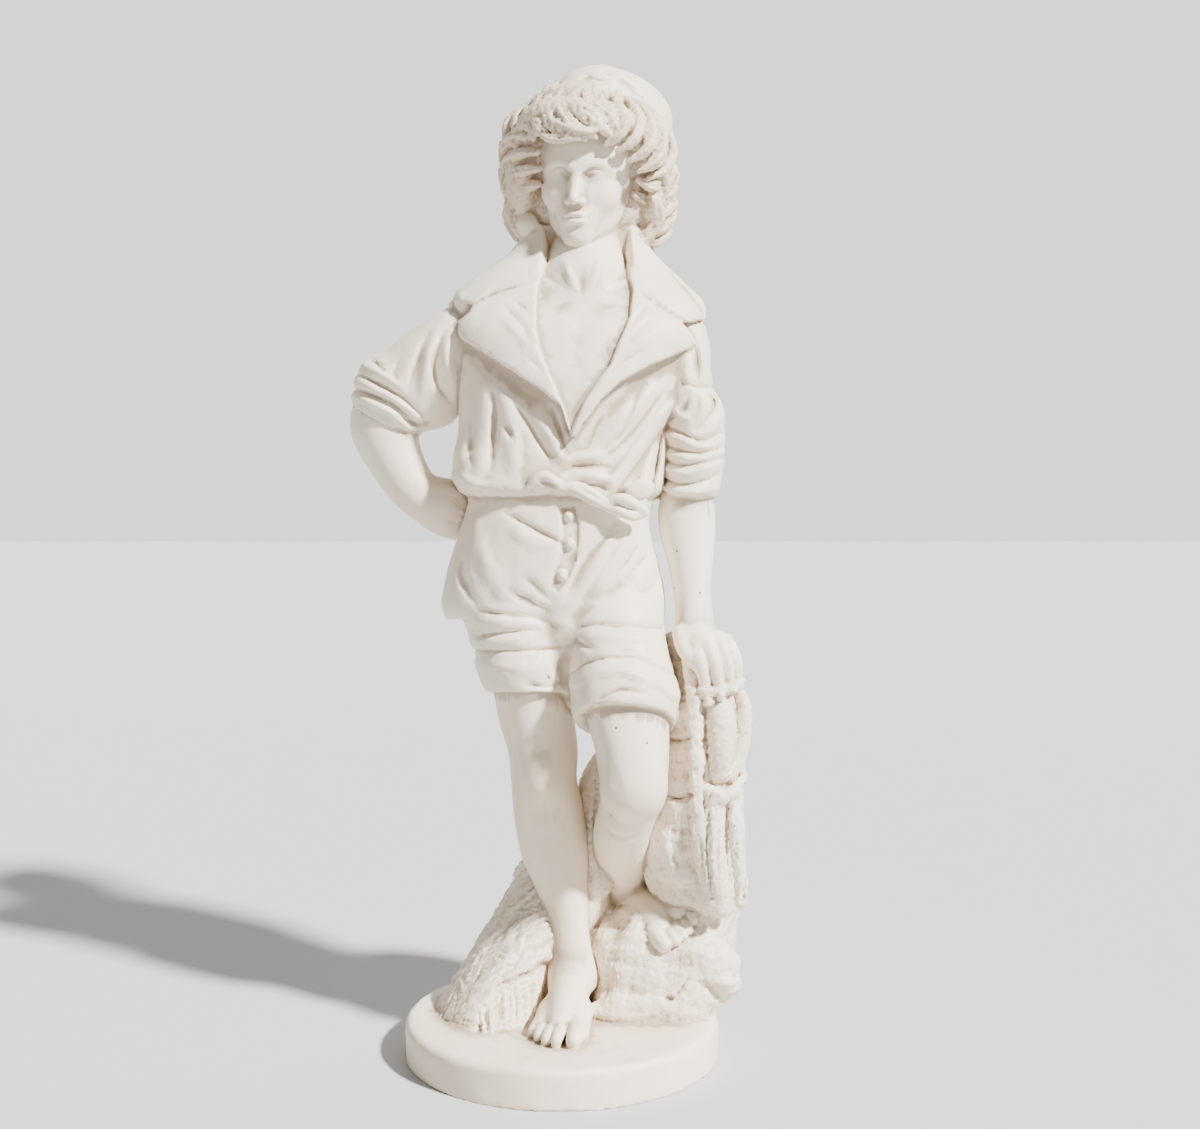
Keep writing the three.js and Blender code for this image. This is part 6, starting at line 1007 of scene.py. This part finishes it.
def hair():
    """Hair in heavy wind-blown locks."""
    begin()
    lump([32, 966, 34], [80, 56, 58], 10)
    lump([34.3, 905.6, 50], [76, 50, 56], 14)
    lump([-42, 933.6, 28], [19, 42, 34], 10)
    lump([103, 910, 36], [15, 46, 34], 10)
    rod([[-37.7, 968, 4, 9], [-35.5, 991.6, -10, 12], [-13.6, 1004.4, -26, 15], [21, 1004.4, -33, 16],
        [56, 998, -30, 16], [84.4, 981, -18, 15], [103, 957, -2, 13]], 12)
    # filling between the brow locks and the cap
    rod([[-20, 1013, 6, 12], [6, 1021.5, -8, 14], [37.6, 1023.7, -10, 14], [67, 1014, -2, 13],
        [89, 998, 10, 12]], 8)
    # tousled locks swept across the forehead
    lock([[-12.5, 1030, 14, 5], [-23.4, 1013, 24, 6], [-26.7, 995, 28, 6.5], [-18, 982, 28, 6],
        [-5, 976.6, 25, 3.5]])
    lock([[-5, 1032, 16, 5], [-13.6, 1014, 26, 6.5], [-11.5, 996, 31, 7], [1.6, 983, 31, 6.5],
        [18, 975.5, 26, 3.5]])
    lock([[5, 1033.3, 17, 5], [-1.6, 1016, 27, 6.5], [4, 999, 33, 7.5], [20, 986, 32, 6.5],
        [38.6, 977.6, 26, 3.5]])
    lock([[16, 1034.4, 17, 5], [12.5, 1018.3, 27, 6.5], [21, 1003.4, 32, 7], [38.6, 991.6, 31, 7],
        [55, 978.7, 25, 4]])
    lock([[26.7, 1034.4, 16, 5], [28, 1020.5, 25, 6], [39.7, 1007.6, 30, 6.5], [55, 997, 29, 6.5],
        [62.6, 982, 25, 4]])
    lock([[1.6, 1008.7, 33, 3], [16, 1012, 36, 5.5], [32, 1006.6, 35, 5.5], [45, 997, 32, 4],
        [54, 995, 30, 3]])
    lock([[-13.6, 1000, 32, 3], [-4, 992.7, 36, 5], [12.5, 987.3, 37, 5.5], [30, 984, 34, 4.5],
        [41, 986, 31, 3]])
    lock([[-26.7, 987.3, 27, 3], [-16, 977.6, 30, 5], [-0.6, 975.5, 31, 5.5], [14.7, 978.7, 32, 5],
        [27.7, 976.6, 29, 3.5]])
    # locks falling over the temple
    lock([[45, 1032, 16, 6], [63.7, 1011, 25, 6], [71.3, 995, 28, 7], [63.7, 978.7, 27, 6.5],
        [49.5, 970, 22, 4]])
    lock([[56, 1032, 14, 6], [76.7, 1013, 22, 6], [86.6, 993.7, 26, 7.5], [79, 973.4, 26, 7],
        [62.6, 962.6, 20, 4]])
    lock([[67, 1030, 12, 6], [91, 1006.6, 20, 6.5], [99.7, 984, 24, 8], [92, 962.6, 24, 7.5],
        [74.7, 952, 17, 4]])
    lock([[80, 1021.5, 10, 6], [103, 995, 17, 7], [110.6, 972.3, 21, 8], [103, 949.7, 22, 7.5],
        [86.7, 941, 16, 4]])
    lock([[95.3, 1004.4, 4, 4], [114, 983, 12, 7], [120.5, 961.5, 17, 8], [113, 942, 19, 7],
        [96.5, 933.6, 14, 4]])
    # short upright curls at the other temple
    lock([[-14.7, 1026, 8, 4], [-23.4, 1011, 22, 6], [-22.4, 993.7, 28, 6.5], [-11.5, 984, 27, 4]])
    lock([[-24.5, 1019.4, 8, 4], [-35.4, 1006.6, 20, 5.5], [-35.5, 990.5, 25, 6], [-25.7, 981, 23, 4]])
    lock([[-35.4, 1013, 6, 4], [-47.4, 1000, 16, 5.5], [-47.5, 984, 21, 6], [-37.7, 974.4, 20, 4]])
    lock([[-46.3, 1006.6, 2, 4], [-57, 992.7, 10, 5.5], [-57.3, 976.6, 16, 6], [-47.5, 968, 16, 4]])
    # heavy waves beside the cheek
    lock([[-29, 976.6, 22, 4], [-46.4, 978.7, 18, 6.5], [-60.6, 968, 8, 7], [-64, 952, 2, 4.5]])
    lock([[-24.6, 961.5, 20, 4], [-41, 961.5, 20, 7], [-57.4, 952, 11, 7.5], [-64, 935.7, 2, 5]])
    lock([[-22.5, 944.4, 17, 4], [-36.7, 943.3, 20, 7], [-53, 934.7, 13, 7.5], [-61, 919.6, 4, 5]])
    lock([[-23.6, 927, 13, 4], [-34.6, 925, 17, 6.5], [-47.7, 917.4, 14, 7], [-56.5, 904.5, 6, 4.5]])
    lock([[-27, 914, 8, 4], [-37, 909, 12, 6], [-48, 901.3, 9, 5], [-50, 895, 4, 3.5]])
    lock([[-51, 910, -6, 5], [-50, 893.7, -4, 7], [-45.7, 873, 0, 4]])
    # rough stacked locks below the temple
    lock([[84.5, 931.4, 8, 4], [98.7, 925, 16, 6.5], [114, 929.3, 14, 6.5], [126, 938, 4, 4]])
    lock([[80, 916.4, 8, 4], [96.6, 909, 17, 7], [114, 913, 15, 7], [127, 923, 3, 4]])
    lock([[79, 900, 8, 4], [96.6, 892.6, 17, 7], [114, 897, 15, 7], [127, 906.6, 3, 4]])
    lock([[80, 884, 8, 4], [96.6, 877.5, 16, 6.5], [113, 880.7, 14, 6.5], [125, 890.5, 3, 4]])
    lock([[89, 869, 6, 4], [101, 863.4, 11, 5.5], [114, 869, 8, 5], [120.7, 877.5, 2, 3.5]])
    # back and sides in long tumbling locks
    tumble(-38, 212, 13, 9)
    settle(1.5, HAIR)


def cap():
    """Soft cap set back over the hair."""
    begin()
    lump([54, 1000, 52], [69, 50, 58], 10, -14, 0, 12)
    lump([41, 1013, 26], [46, 40, 40], 14, -6)
    # turned rim all the way round
    rod([[-5, 1026, 4, 6], [32, 1033.3, -11, 6.5], [70, 1024.7, -6, 6.5], [102, 1002.3, 16, 6.5],
        [115, 978.7, 50, 7], [103, 963.7, 84, 7], [65, 959.4, 106, 7], [21, 970, 104, 7],
        [-9.3, 991.6, 78, 7], [-17, 1013, 36, 6.5], [-5, 1026, 4, 6]], 5)
    folds(-120, 60,
        [[47.3, 1047, 4, -2], [73.5, 1032, 5, -4], [95.3, 1011, 4, -2]],
        [[16, 1034.4, 4, -1], [32, 1041, 4, -3], [49.5, 1036.5, 4, -1]])
    settle(2)


def true_places(x, h, b):
    """From the drawing plane and depth to true millimetres, up from the floor."""
    s = (EYE_AWAY + b) / EYE_AWAY
    return EYE_ACROSS + (x - EYE_ACROSS) * s, b, EYE_UP + (h - EYE_UP) * s + PLINTH_HEIGHT


def clip_at_plinth():
    """What stands out past the plinth's edge is undercut; the rest is sunk in it."""
    s = cells((BLOCK_ACROSS[0], BLOCK_UP[0], BLOCK_DEPTH[0]), (BLOCK_ACROSS[1], 90, BLOCK_DEPTH[1]))
    x, y, z = true_places(*places(s))
    floor = np.maximum(-SUNK, (np.hypot(x, y) - PLINTH_RADIUS) * 0.5 + 1)
    whole[s] = np.maximum(whole[s], floor + PLINTH_HEIGHT - z)


def plinth():
    """Round plinth with a softly rounded rim."""
    s = cells((BLOCK_ACROSS[0], BLOCK_UP[0], BLOCK_DEPTH[0]), (BLOCK_ACROSS[1], 40, BLOCK_DEPTH[1]))
    x, y, z = true_places(*places(s))
    r = np.hypot(x, y) - PLINTH_RADIUS
    top = z - PLINTH_HEIGHT
    rim = np.hypot(np.maximum(r + PLINTH_EDGE, 0), np.maximum(top + PLINTH_EDGE, 0)) - PLINTH_EDGE
    body = np.maximum(rim + np.minimum(np.maximum(r, top) + PLINTH_EDGE, 0), -z)
    finish[s][body < whole[s]] = STONE
    whole[s] = blend(whole[s], body.astype(np.float32), PLINTH_FILLET)


def open_pinches():
    """Fills corners where two solid cells would meet only along an edge."""
    f = whole
    for _ in range(8):
        filled = 0
        for u, v in ((0, 1), (0, 2), (1, 2)):
            def side(i, j):
                at = [slice(None)] * 3
                at[u] = slice(1, None) if i else slice(None, -1)
                at[v] = slice(1, None) if j else slice(None, -1)
                return tuple(at)

            a, b, c, d = f[side(0, 0)], f[side(0, 1)], f[side(1, 0)], f[side(1, 1)]
            first = (a < 0) & (d < 0) & (b >= 0) & (c >= 0)
            second = (a >= 0) & (d >= 0) & (b < 0) & (c < 0)
            b[first] = -0.2
            a[second] = -0.2
            filled += int(first.sum() + second.sum())
        if not filled:
            return


def skin():
    """Closed skin of the field: one corner per crossed cell, four-sided faces."""
    solid = whole < 0
    count = np.zeros([n - 1 for n in whole.shape], np.int8)
    for i in range(8):
        at = tuple(slice(1, None) if i >> a & 1 else slice(None, -1) for a in range(3))
        count += solid[at]
    crossed = (count > 0) & (count < 8)
    number = np.full(crossed.shape, -1, np.int32)
    n = int(crossed.sum())
    number[crossed] = np.arange(n)
    cell = np.argwhere(crossed)
    stop = (GX, GH, GB)
    total = np.zeros((n, 3))
    edges = np.zeros(n)
    for axis in range(3):
        e, f = [a for a in range(3) if a != axis]
        for i in range(4):
            a = cell.copy()
            a[:, e] += i & 1
            a[:, f] += i >> 1
            b = a.copy()
            b[:, axis] += 1
            fa = whole[tuple(a.T)]
            fb = whole[tuple(b.T)]
            hit = (fa < 0) != (fb < 0)
            t = fa[hit] / (fa[hit] - fb[hit])
            g = stop[axis]
            total[hit, axis] += g[a[hit, axis]] * (1 - t) + g[b[hit, axis]] * t
            total[hit, e] += stop[e][a[hit, e]]
            total[hit, f] += stop[f][a[hit, f]]
            edges[hit] += 1
    points = total / edges[:, None]
    faces = []
    for axis in range(3):
        e, f = (axis + 1) % 3, (axis + 2) % 3
        lower = [slice(None)] * 3
        upper = [slice(None)] * 3
        lower[axis], upper[axis] = slice(None, -1), slice(1, None)
        change = np.argwhere(solid[tuple(lower)] != solid[tuple(upper)])
        step = np.eye(3, dtype=int)
        corners = [change - de * step[e] - df * step[f] for de, df in ((1, 1), (0, 1), (0, 0), (1, 0))]
        ring = np.stack([number[tuple(c.T)] for c in corners], 1)
        outward = solid[tuple(change.T)]
        faces.append(np.where(outward[:, None], ring[:, ::-1], ring))
    return points, np.vstack(faces)


def outer_skin(points, faces):
    """Keeps the outer skin only, so that no sealed bubble stays inside."""
    group = np.arange(len(points))
    edges = np.vstack([faces[:, :2], faces[:, 1:3], faces[:, 2:4]])
    while True:
        low = np.minimum(group[edges[:, 0]], group[edges[:, 1]])
        new = group.copy()
        np.minimum.at(new, edges[:, 0], low)
        np.minimum.at(new, edges[:, 1], low)
        new = new[new]
        if np.array_equal(new, group):
            break
        group = new
    roots, sizes = np.unique(group[faces[:, 0]], return_counts=True)
    faces = faces[group[faces[:, 0]] == roots[sizes.argmax()]]
    keep, faces = np.unique(faces, return_inverse=True)
    return points[keep], faces.reshape(-1, 4)


def sample(grid, points):
    """Nearest grid value at each point of the drawing frame."""
    at = []
    for g, v in zip((GX, GH, GB), points.T):
        i = np.clip(np.searchsorted(g, v), 1, len(g) - 1)
        at.append(np.where(v - g[i - 1] < g[i] - v, i - 1, i))
    return grid[tuple(at)]


def slope_of_field(points):
    """Outward direction at each point, from the field's own slope."""
    cell = []
    for g, v in zip((GX, GH, GB), points.T):
        cell.append(np.clip(np.searchsorted(g, v) - 1, 1, len(g) - 3))
    n = np.empty(points.shape)
    for a, g in enumerate((GX, GH, GB)):
        up = list(cell)
        down = list(cell)
        up[a] = cell[a] + 2
        down[a] = cell[a] - 1
        n[:, a] = (whole[tuple(up)] - whole[tuple(down)]) / (g[up[a]] - g[down[a]])
    return n / (np.linalg.norm(n, axis=1)[:, None] + 1e-9)


def wave(p, size, seed):
    """Smooth scatter between -1 and 1 with features of about one size."""
    q = p / size
    out = np.zeros(len(p))
    for i in range(5):
        d = np.array([chance(seed + i * 3.1 + k) - 0.5 for k in (0.11, 0.37, 0.73)])
        d /= np.linalg.norm(d)
        swing = 1.5 * np.sin(q @ d[::-1] * 3.1) + WHOLE_TURN * chance(seed + i * 7.7)
        out += np.sin(q @ d * WHOLE_TURN * (0.7 + 0.6 * chance(seed + i)) + swing)
    return out / 2.6


def strokes(p, across, size, run, seed):
    """Tool strokes: narrow across one direction, long along the other."""
    across = np.array(across, float) / np.linalg.norm(across)
    u = p @ across
    v = p - u[:, None] * across
    bend = wave(v, run, seed) * size * 1.2
    return np.sin((u + bend) / size * WHOLE_TURN) * (0.6 + 0.4 * wave(p, run * 0.6, seed + 5))


# Unevenness of each kind of surface: (height, size, seed) of its waves, in millimetres
TOOLING = {
    HAIR: ((0.6, 8, 11), (0.45, 4.4, 12)),
    NET: ((0.7, 6, 22),),
    ROCK: ((1.5, 38, 31), (0.9, 13, 32), (0.55, 5.5, 33)),
    CLOTH: ((0.35, 26, 41), (0.12, 9, 42)),
    STONE: ((0.3, 60, 51), (0.2, 16, 52)),
}


def tool_marks(points, kind):
    """Height of the chisel's work in millimetres over each kind of surface."""
    h = np.zeros(len(points))
    for surface, waves in TOOLING.items():
        q = points[kind == surface]
        h[kind == surface] = sum(height * wave(q, size, seed) for height, size, seed in waves)
    q = points[kind == NET]
    h[kind == NET] += strokes(q, (0.55, -0.75, 0.3), 6.4, 44, 21)
    return h


def mesh_object(name, points, faces):
    mesh = bpy.data.meshes.new(name)
    mesh.vertices.add(len(points))
    mesh.vertices.foreach_set("co", points.ravel())
    n = faces.shape[1]
    mesh.loops.add(faces.size)
    mesh.loops.foreach_set("vertex_index", faces.ravel())
    mesh.polygons.add(len(faces))
    mesh.polygons.foreach_set("loop_start", np.arange(len(faces)) * n)
    mesh.update(calc_edges=True)
    mesh.validate()
    obj = bpy.data.objects.new(name, mesh)
    bpy.context.collection.objects.link(obj)
    return obj


def thinned(obj, triangles):
    """The object with its mesh thinned to a number of triangles."""
    count = sum(len(p.vertices) - 2 for p in obj.data.polygons)
    thin = obj.modifiers.new("thin", "DECIMATE")
    thin.ratio = min(1.0, triangles / count)
    evaluated = obj.evaluated_get(bpy.context.evaluated_depsgraph_get())
    mesh = bpy.data.meshes.new_from_object(evaluated)
    obj.modifiers.clear()
    rough = obj.data
    obj.data = mesh
    bpy.data.meshes.remove(rough)
    mesh.name = obj.name
    return obj


def vertex_places(mesh):
    co = np.empty(len(mesh.vertices) * 3, np.float32)
    mesh.vertices.foreach_get("co", co)
    return co.reshape(-1, 3).astype(float)


def edge_ends(mesh):
    ends = np.empty(len(mesh.edges) * 2, np.int32)
    mesh.edges.foreach_get("vertices", ends)
    return ends.reshape(-1, 2)


def softened(mesh, values, rounds):
    """Values of the points, evened out with their neighbours along the edges."""
    ends = edge_ends(mesh)
    near = np.bincount(ends.ravel(), minlength=len(values))
    for _ in range(rounds):
        total = np.bincount(ends[:, 0], values[ends[:, 1]], len(values))
        total += np.bincount(ends[:, 1], values[ends[:, 0]], len(values))
        values = 0.4 * values + 0.6 * total / near
    return values


def hollows(mesh, rounds):
    """How far each point lies below the average of its surroundings, in metres."""
    co = vertex_places(mesh)
    soft = np.stack([softened(mesh, co[:, a], rounds) for a in range(3)], 1)
    normal = np.empty(len(co) * 3, np.float32)
    mesh.vertices.foreach_get("normal", normal)
    return ((soft - co) * normal.reshape(-1, 3)).sum(1)


def point_layer(mesh, name, values):
    layer_of_points = mesh.attributes.new(name, "FLOAT", "POINT")
    layer_of_points.data.foreach_set("value", values.astype(np.float32))


def carve_statue():
    for carve in (
        shirt, knot, collar, neck, bent_arm, straight_arm, shorts, standing_leg, bent_leg,
        sheaf, rock, stump, bag, head, hair, cap,
    ):
        carve()
    clip_at_plinth()
    plinth()
    open_pinches()
    points, faces = outer_skin(*skin())
    kind = sample(finish, points)
    out = slope_of_field(points)
    points = points + out * tool_marks(points, kind)[:, None]
    x, y, z = true_places(*points.T)
    z = np.where(z < UNDERSIDE, 0, z)
    metres = np.stack([x, y, z], 1) / 1000
    statue = thinned(mesh_object("marble_statue_carved", metres, faces), TRIANGLES)
    mesh = statue.data
    co = vertex_places(mesh) * 1000
    away = (EYE_AWAY + co[:, 1]) / EYE_AWAY
    drawn = np.stack([
        EYE_ACROSS + (co[:, 0] - EYE_ACROSS) / away,
        EYE_UP + (co[:, 2] - PLINTH_HEIGHT - EYE_UP) / away,
        co[:, 1],
    ], 1)
    kind = sample(finish, drawn)
    # Painted shade with some soil: points lying deep in a small crease or a broad recess get darker colour,
    # more on the hair and less on the netting and rock
    shade_and_soil_weight = np.select([kind == HAIR, np.isin(kind, (NET, ROCK))], [1.5, 0.5], 1.0)
    point_layer(mesh, "hollow", np.clip(hollows(mesh, 6) * 400 * shade_and_soil_weight, -1, 1))
    point_layer(mesh, "recess", np.clip(hollows(mesh, 60) * 90 * shade_and_soil_weight, -1, 1))
    point_layer(mesh, "rough", softened(mesh, np.isin(kind, (HAIR, NET, ROCK)) * 1.0, 2))
    # hair marked for browning: soil and painted shade
    point_layer(mesh, "hair_soil_and_shade", softened(mesh, (kind == HAIR) * 1.0, 2))
    mesh.polygons.foreach_set("use_smooth", np.ones(len(mesh.polygons), bool))
    return statue


def node(tree, kind, place, **values):
    n = tree.nodes.new(kind)
    n.location = place
    for key, value in values.items():
        if hasattr(n, key):
            setattr(n, key, value)
        else:
            n.inputs[key.replace("_", " ")].default_value = value
    return n


def tinted(tree, base, mask, tint, place):
    """A colour laid over another one through a mask; gives the mixed colour."""
    mix = node(tree, "ShaderNodeMix", place, data_type="RGBA")
    mix.inputs["B"].default_value = (*tint, 1)
    tree.links.new(mask, mix.inputs["Factor"])
    tree.links.new(base, mix.inputs["A"])
    return mix.outputs["Result"]


def times(tree, a, b, place):
    """Product of two values, each a socket or a number."""
    product = node(tree, "ShaderNodeMath", place, operation="MULTIPLY")
    for socket, value in zip(product.inputs, (a, b)):
        if isinstance(value, float):
            socket.default_value = value
        else:
            tree.links.new(value, socket)
    return product.outputs["Value"]


def on_front(x, h):
    """Metres of the point where the drawing line through [across, up] first meets the stone."""
    column = whole[np.abs(GX - x).argmin(), np.abs(GH - h).argmin()]
    i = int(np.argmax(column < 0))
    t = column[i - 1] / (column[i - 1] - column[i])
    return [float(v) / 1000 for v in true_places(x, h, GB[i - 1] + t * (GB[i] - GB[i - 1]))]


def spots(tree, where, place):
    """Mask of the painted shade of the small drilled holes, dark to the rim."""
    x, y = place
    nearest = None
    for i, centre in enumerate(on_front(*drawn) for drawn in PIN_HOLES):
        far = node(tree, "ShaderNodeVectorMath", (x, y - 60 * i), operation="DISTANCE")
        far.inputs[1].default_value = centre
        tree.links.new(where, far.inputs[0])
        distance = far.outputs["Value"]
        if nearest is not None:
            least = node(tree, "ShaderNodeMath", (x + 180, y - 60 * i), operation="MINIMUM")
            tree.links.new(nearest, least.inputs[0])
            tree.links.new(distance, least.inputs[1])
            distance = least.outputs["Value"]
        nearest = distance
    rim = node(tree, "ShaderNodeMapRange", (x + 360, y), To_Min=1.0, To_Max=0.0)
    rim.inputs["From Min"].default_value = PIN_HOLE_RADIUS * 0.0006
    rim.inputs["From Max"].default_value = PIN_HOLE_RADIUS * 0.0015
    tree.links.new(nearest, rim.inputs["Value"])
    return rim.outputs["Result"]


def white_marble():
    """Weathered white marble: cloudy tone, painted shade with some soil in the hollows, hair browned by
    soil and painted shade, painted shade in the drilled holes, and rough stone.
    """
    material = bpy.data.materials.new("white_marble")
    material.use_nodes = True
    tree = material.node_tree
    shader = tree.nodes["Principled BSDF"]
    shader.inputs["Roughness"].default_value = 0.5
    shader.inputs["IOR"].default_value = 1.48
    shader.inputs["Subsurface Weight"].default_value = 0.04
    shader.inputs["Subsurface Radius"].default_value = (0.012, 0.009, 0.006)
    shader.inputs["Subsurface Scale"].default_value = 0.5
    link = tree.links.new
    where = node(tree, "ShaderNodeTexCoord", (-1800, 0)).outputs["Object"]
    cloud = node(tree, "ShaderNodeTexNoise", (-1550, 300), Scale=4.5, Detail=5.0, Roughness=0.62)
    stain = node(tree, "ShaderNodeTexNoise", (-1550, 0), Scale=16.0, Detail=6.0, Roughness=0.72)
    grain = node(tree, "ShaderNodeTexNoise", (-1550, -300), Scale=420.0, Detail=2.0, Roughness=0.6)
    tooling = node(tree, "ShaderNodeTexNoise", (-1550, -600), Scale=130.0, Detail=4.0, Roughness=0.65)
    for n in (cloud, stain, grain, tooling):
        link(where, n.inputs["Vector"])
    tone = node(tree, "ShaderNodeValToRGB", (-1300, 300))
    tone.color_ramp.elements[0].position = 0.36
    tone.color_ramp.elements[0].color = (0.76, 0.635, 0.475, 1)
    tone.color_ramp.elements[1].position = 0.66
    tone.color_ramp.elements[1].color = (0.85, 0.765, 0.64, 1)
    link(cloud.outputs["Fac"], tone.inputs["Fac"])
    hollow = node(tree, "ShaderNodeAttribute", (-1550, -900), attribute_name="hollow")
    recess = node(tree, "ShaderNodeAttribute", (-1550, -1000), attribute_name="recess")
    rough = node(tree, "ShaderNodeAttribute", (-1550, -1100), attribute_name="rough")
    hair_soil_and_shade = node(tree, "ShaderNodeAttribute", (-1550, -1300), attribute_name="hair_soil_and_shade")
    blotch = node(tree, "ShaderNodeMapRange", (-1300, 0), From_Min=0.38, From_Max=0.62)
    link(stain.outputs["Fac"], blotch.inputs["Value"])
    # painted shade with some soil, darkest in small creases and broad recesses
    deep = node(tree, "ShaderNodeMapRange", (-1300, -900), From_Min=0.02, From_Max=0.4, To_Max=1.0)
    link(hollow.outputs["Fac"], deep.inputs["Value"])
    low = node(tree, "ShaderNodeMapRange", (-1300, -1000), From_Min=-0.05, From_Max=0.5, To_Max=0.75)
    link(recess.outputs["Fac"], low.inputs["Value"])
    crease_shade_and_soil = times(tree, deep.outputs["Result"], 0.62, (-1100, -700))
    blush = times(tree, rough.outputs["Fac"], blotch.outputs["Result"], (-1100, -1000))
    # hair browned by soil and by painted shade
    hair_soil_and_shade_amount = times(tree, hair_soil_and_shade.outputs["Fac"], 0.7, (-1100, -1300))
    colour = tinted(tree, tone.outputs["Color"], hair_soil_and_shade_amount, (0.58, 0.455, 0.32), (-850, 200))
    colour = tinted(tree, colour, times(tree, blush, 0.2, (-1000, -1150)), (0.78, 0.63, 0.50), (-650, 200))
    # painted shade with some soil: broad recesses turn a darker beige
    colour = tinted(tree, colour, low.outputs["Result"], (0.58, 0.47, 0.35), (-550, 400))
    # painted shade with some soil: small creases turn dark brown
    colour = tinted(tree, colour, crease_shade_and_soil, (0.30, 0.21, 0.13), (-450, 200))
    # painted shade stands in for the depth of the drilled holes
    painted_hole_shade = spots(tree, where, (-1100, 900))
    colour = tinted(tree, colour, painted_hole_shade, (0.10, 0.05, 0.025), (-250, 200))
    link(colour, shader.inputs["Base Color"])
    fine = node(tree, "ShaderNodeBump", (-500, -400), Strength=0.35, Distance=0.0006)
    link(grain.outputs["Fac"], fine.inputs["Height"])
    coarse = node(tree, "ShaderNodeBump", (-300, -500), Distance=0.0022)
    link(times(tree, rough.outputs["Fac"], 0.75, (-500, -700)), coarse.inputs["Strength"])
    link(tooling.outputs["Fac"], coarse.inputs["Height"])
    link(fine.outputs["Normal"], coarse.inputs["Normal"])
    link(coarse.outputs["Normal"], shader.inputs["Normal"])
    return material


def studio():
    """Plain pale floor, soft light from the upper right and a wide fill."""
    bpy.ops.mesh.primitive_plane_add(size=60, location=(0, 0, 0))
    floor = bpy.context.object
    floor.name = "floor"
    bpy.ops.mesh.primitive_plane_add(size=60, location=(0, 9, 0), rotation=(np.radians(90), 0, 0))
    wall = bpy.context.object
    wall.name = "wall"
    plain = bpy.data.materials.new("pale_floor")
    plain.use_nodes = True
    plain.node_tree.nodes["Principled BSDF"].inputs["Base Color"].default_value = (0.5, 0.5, 0.5, 1)
    plain.node_tree.nodes["Principled BSDF"].inputs["Roughness"].default_value = 0.9
    for backdrop in (floor, wall):
        backdrop.data.materials.append(plain)
    world = bpy.data.worlds.new("soft_daylight")
    world.use_nodes = True
    world.node_tree.nodes["Background"].inputs["Color"].default_value = (1.0, 0.95, 0.89, 1)
    world.node_tree.nodes["Background"].inputs["Strength"].default_value = 0.17
    bpy.context.scene.world = world
    for name, kind, place, aim, size, power in (
        ("key", "SUN", (1.9, -1.5, 2.8), (0, 0, 0.6), 0.08, 14.5),
        ("fill", "AREA", (-2.6, -1.6, 1.2), (0, 0, 0.5), 2.4, 4),
    ):
        lamp = bpy.data.lights.new(name, kind)
        lamp.energy = power
        if kind == "SUN":
            lamp.angle = size
        else:
            lamp.size = size
        holder = bpy.data.objects.new(name, lamp)
        holder.location = place
        direction = Vector(aim) - Vector(place)
        holder.rotation_euler = direction.to_track_quat("-Z", "Y").to_euler()
        bpy.context.collection.objects.link(holder)


def photo_camera():
    lens = bpy.data.cameras.new("camera")
    lens.lens = 51.0
    lens.sensor_width = 36.0
    camera = bpy.data.objects.new("camera", lens)
    camera.location = (0.043, -1.884, 0.701)
    camera.rotation_euler = (np.radians(85.543), 0, 0)
    bpy.context.collection.objects.link(camera)
    bpy.context.scene.camera = camera


statue = carve_statue()
statue.data.materials.clear()
statue.data.materials.append(white_marble())
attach(statue, "root")
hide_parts("marble_statue")
studio()
photo_camera()
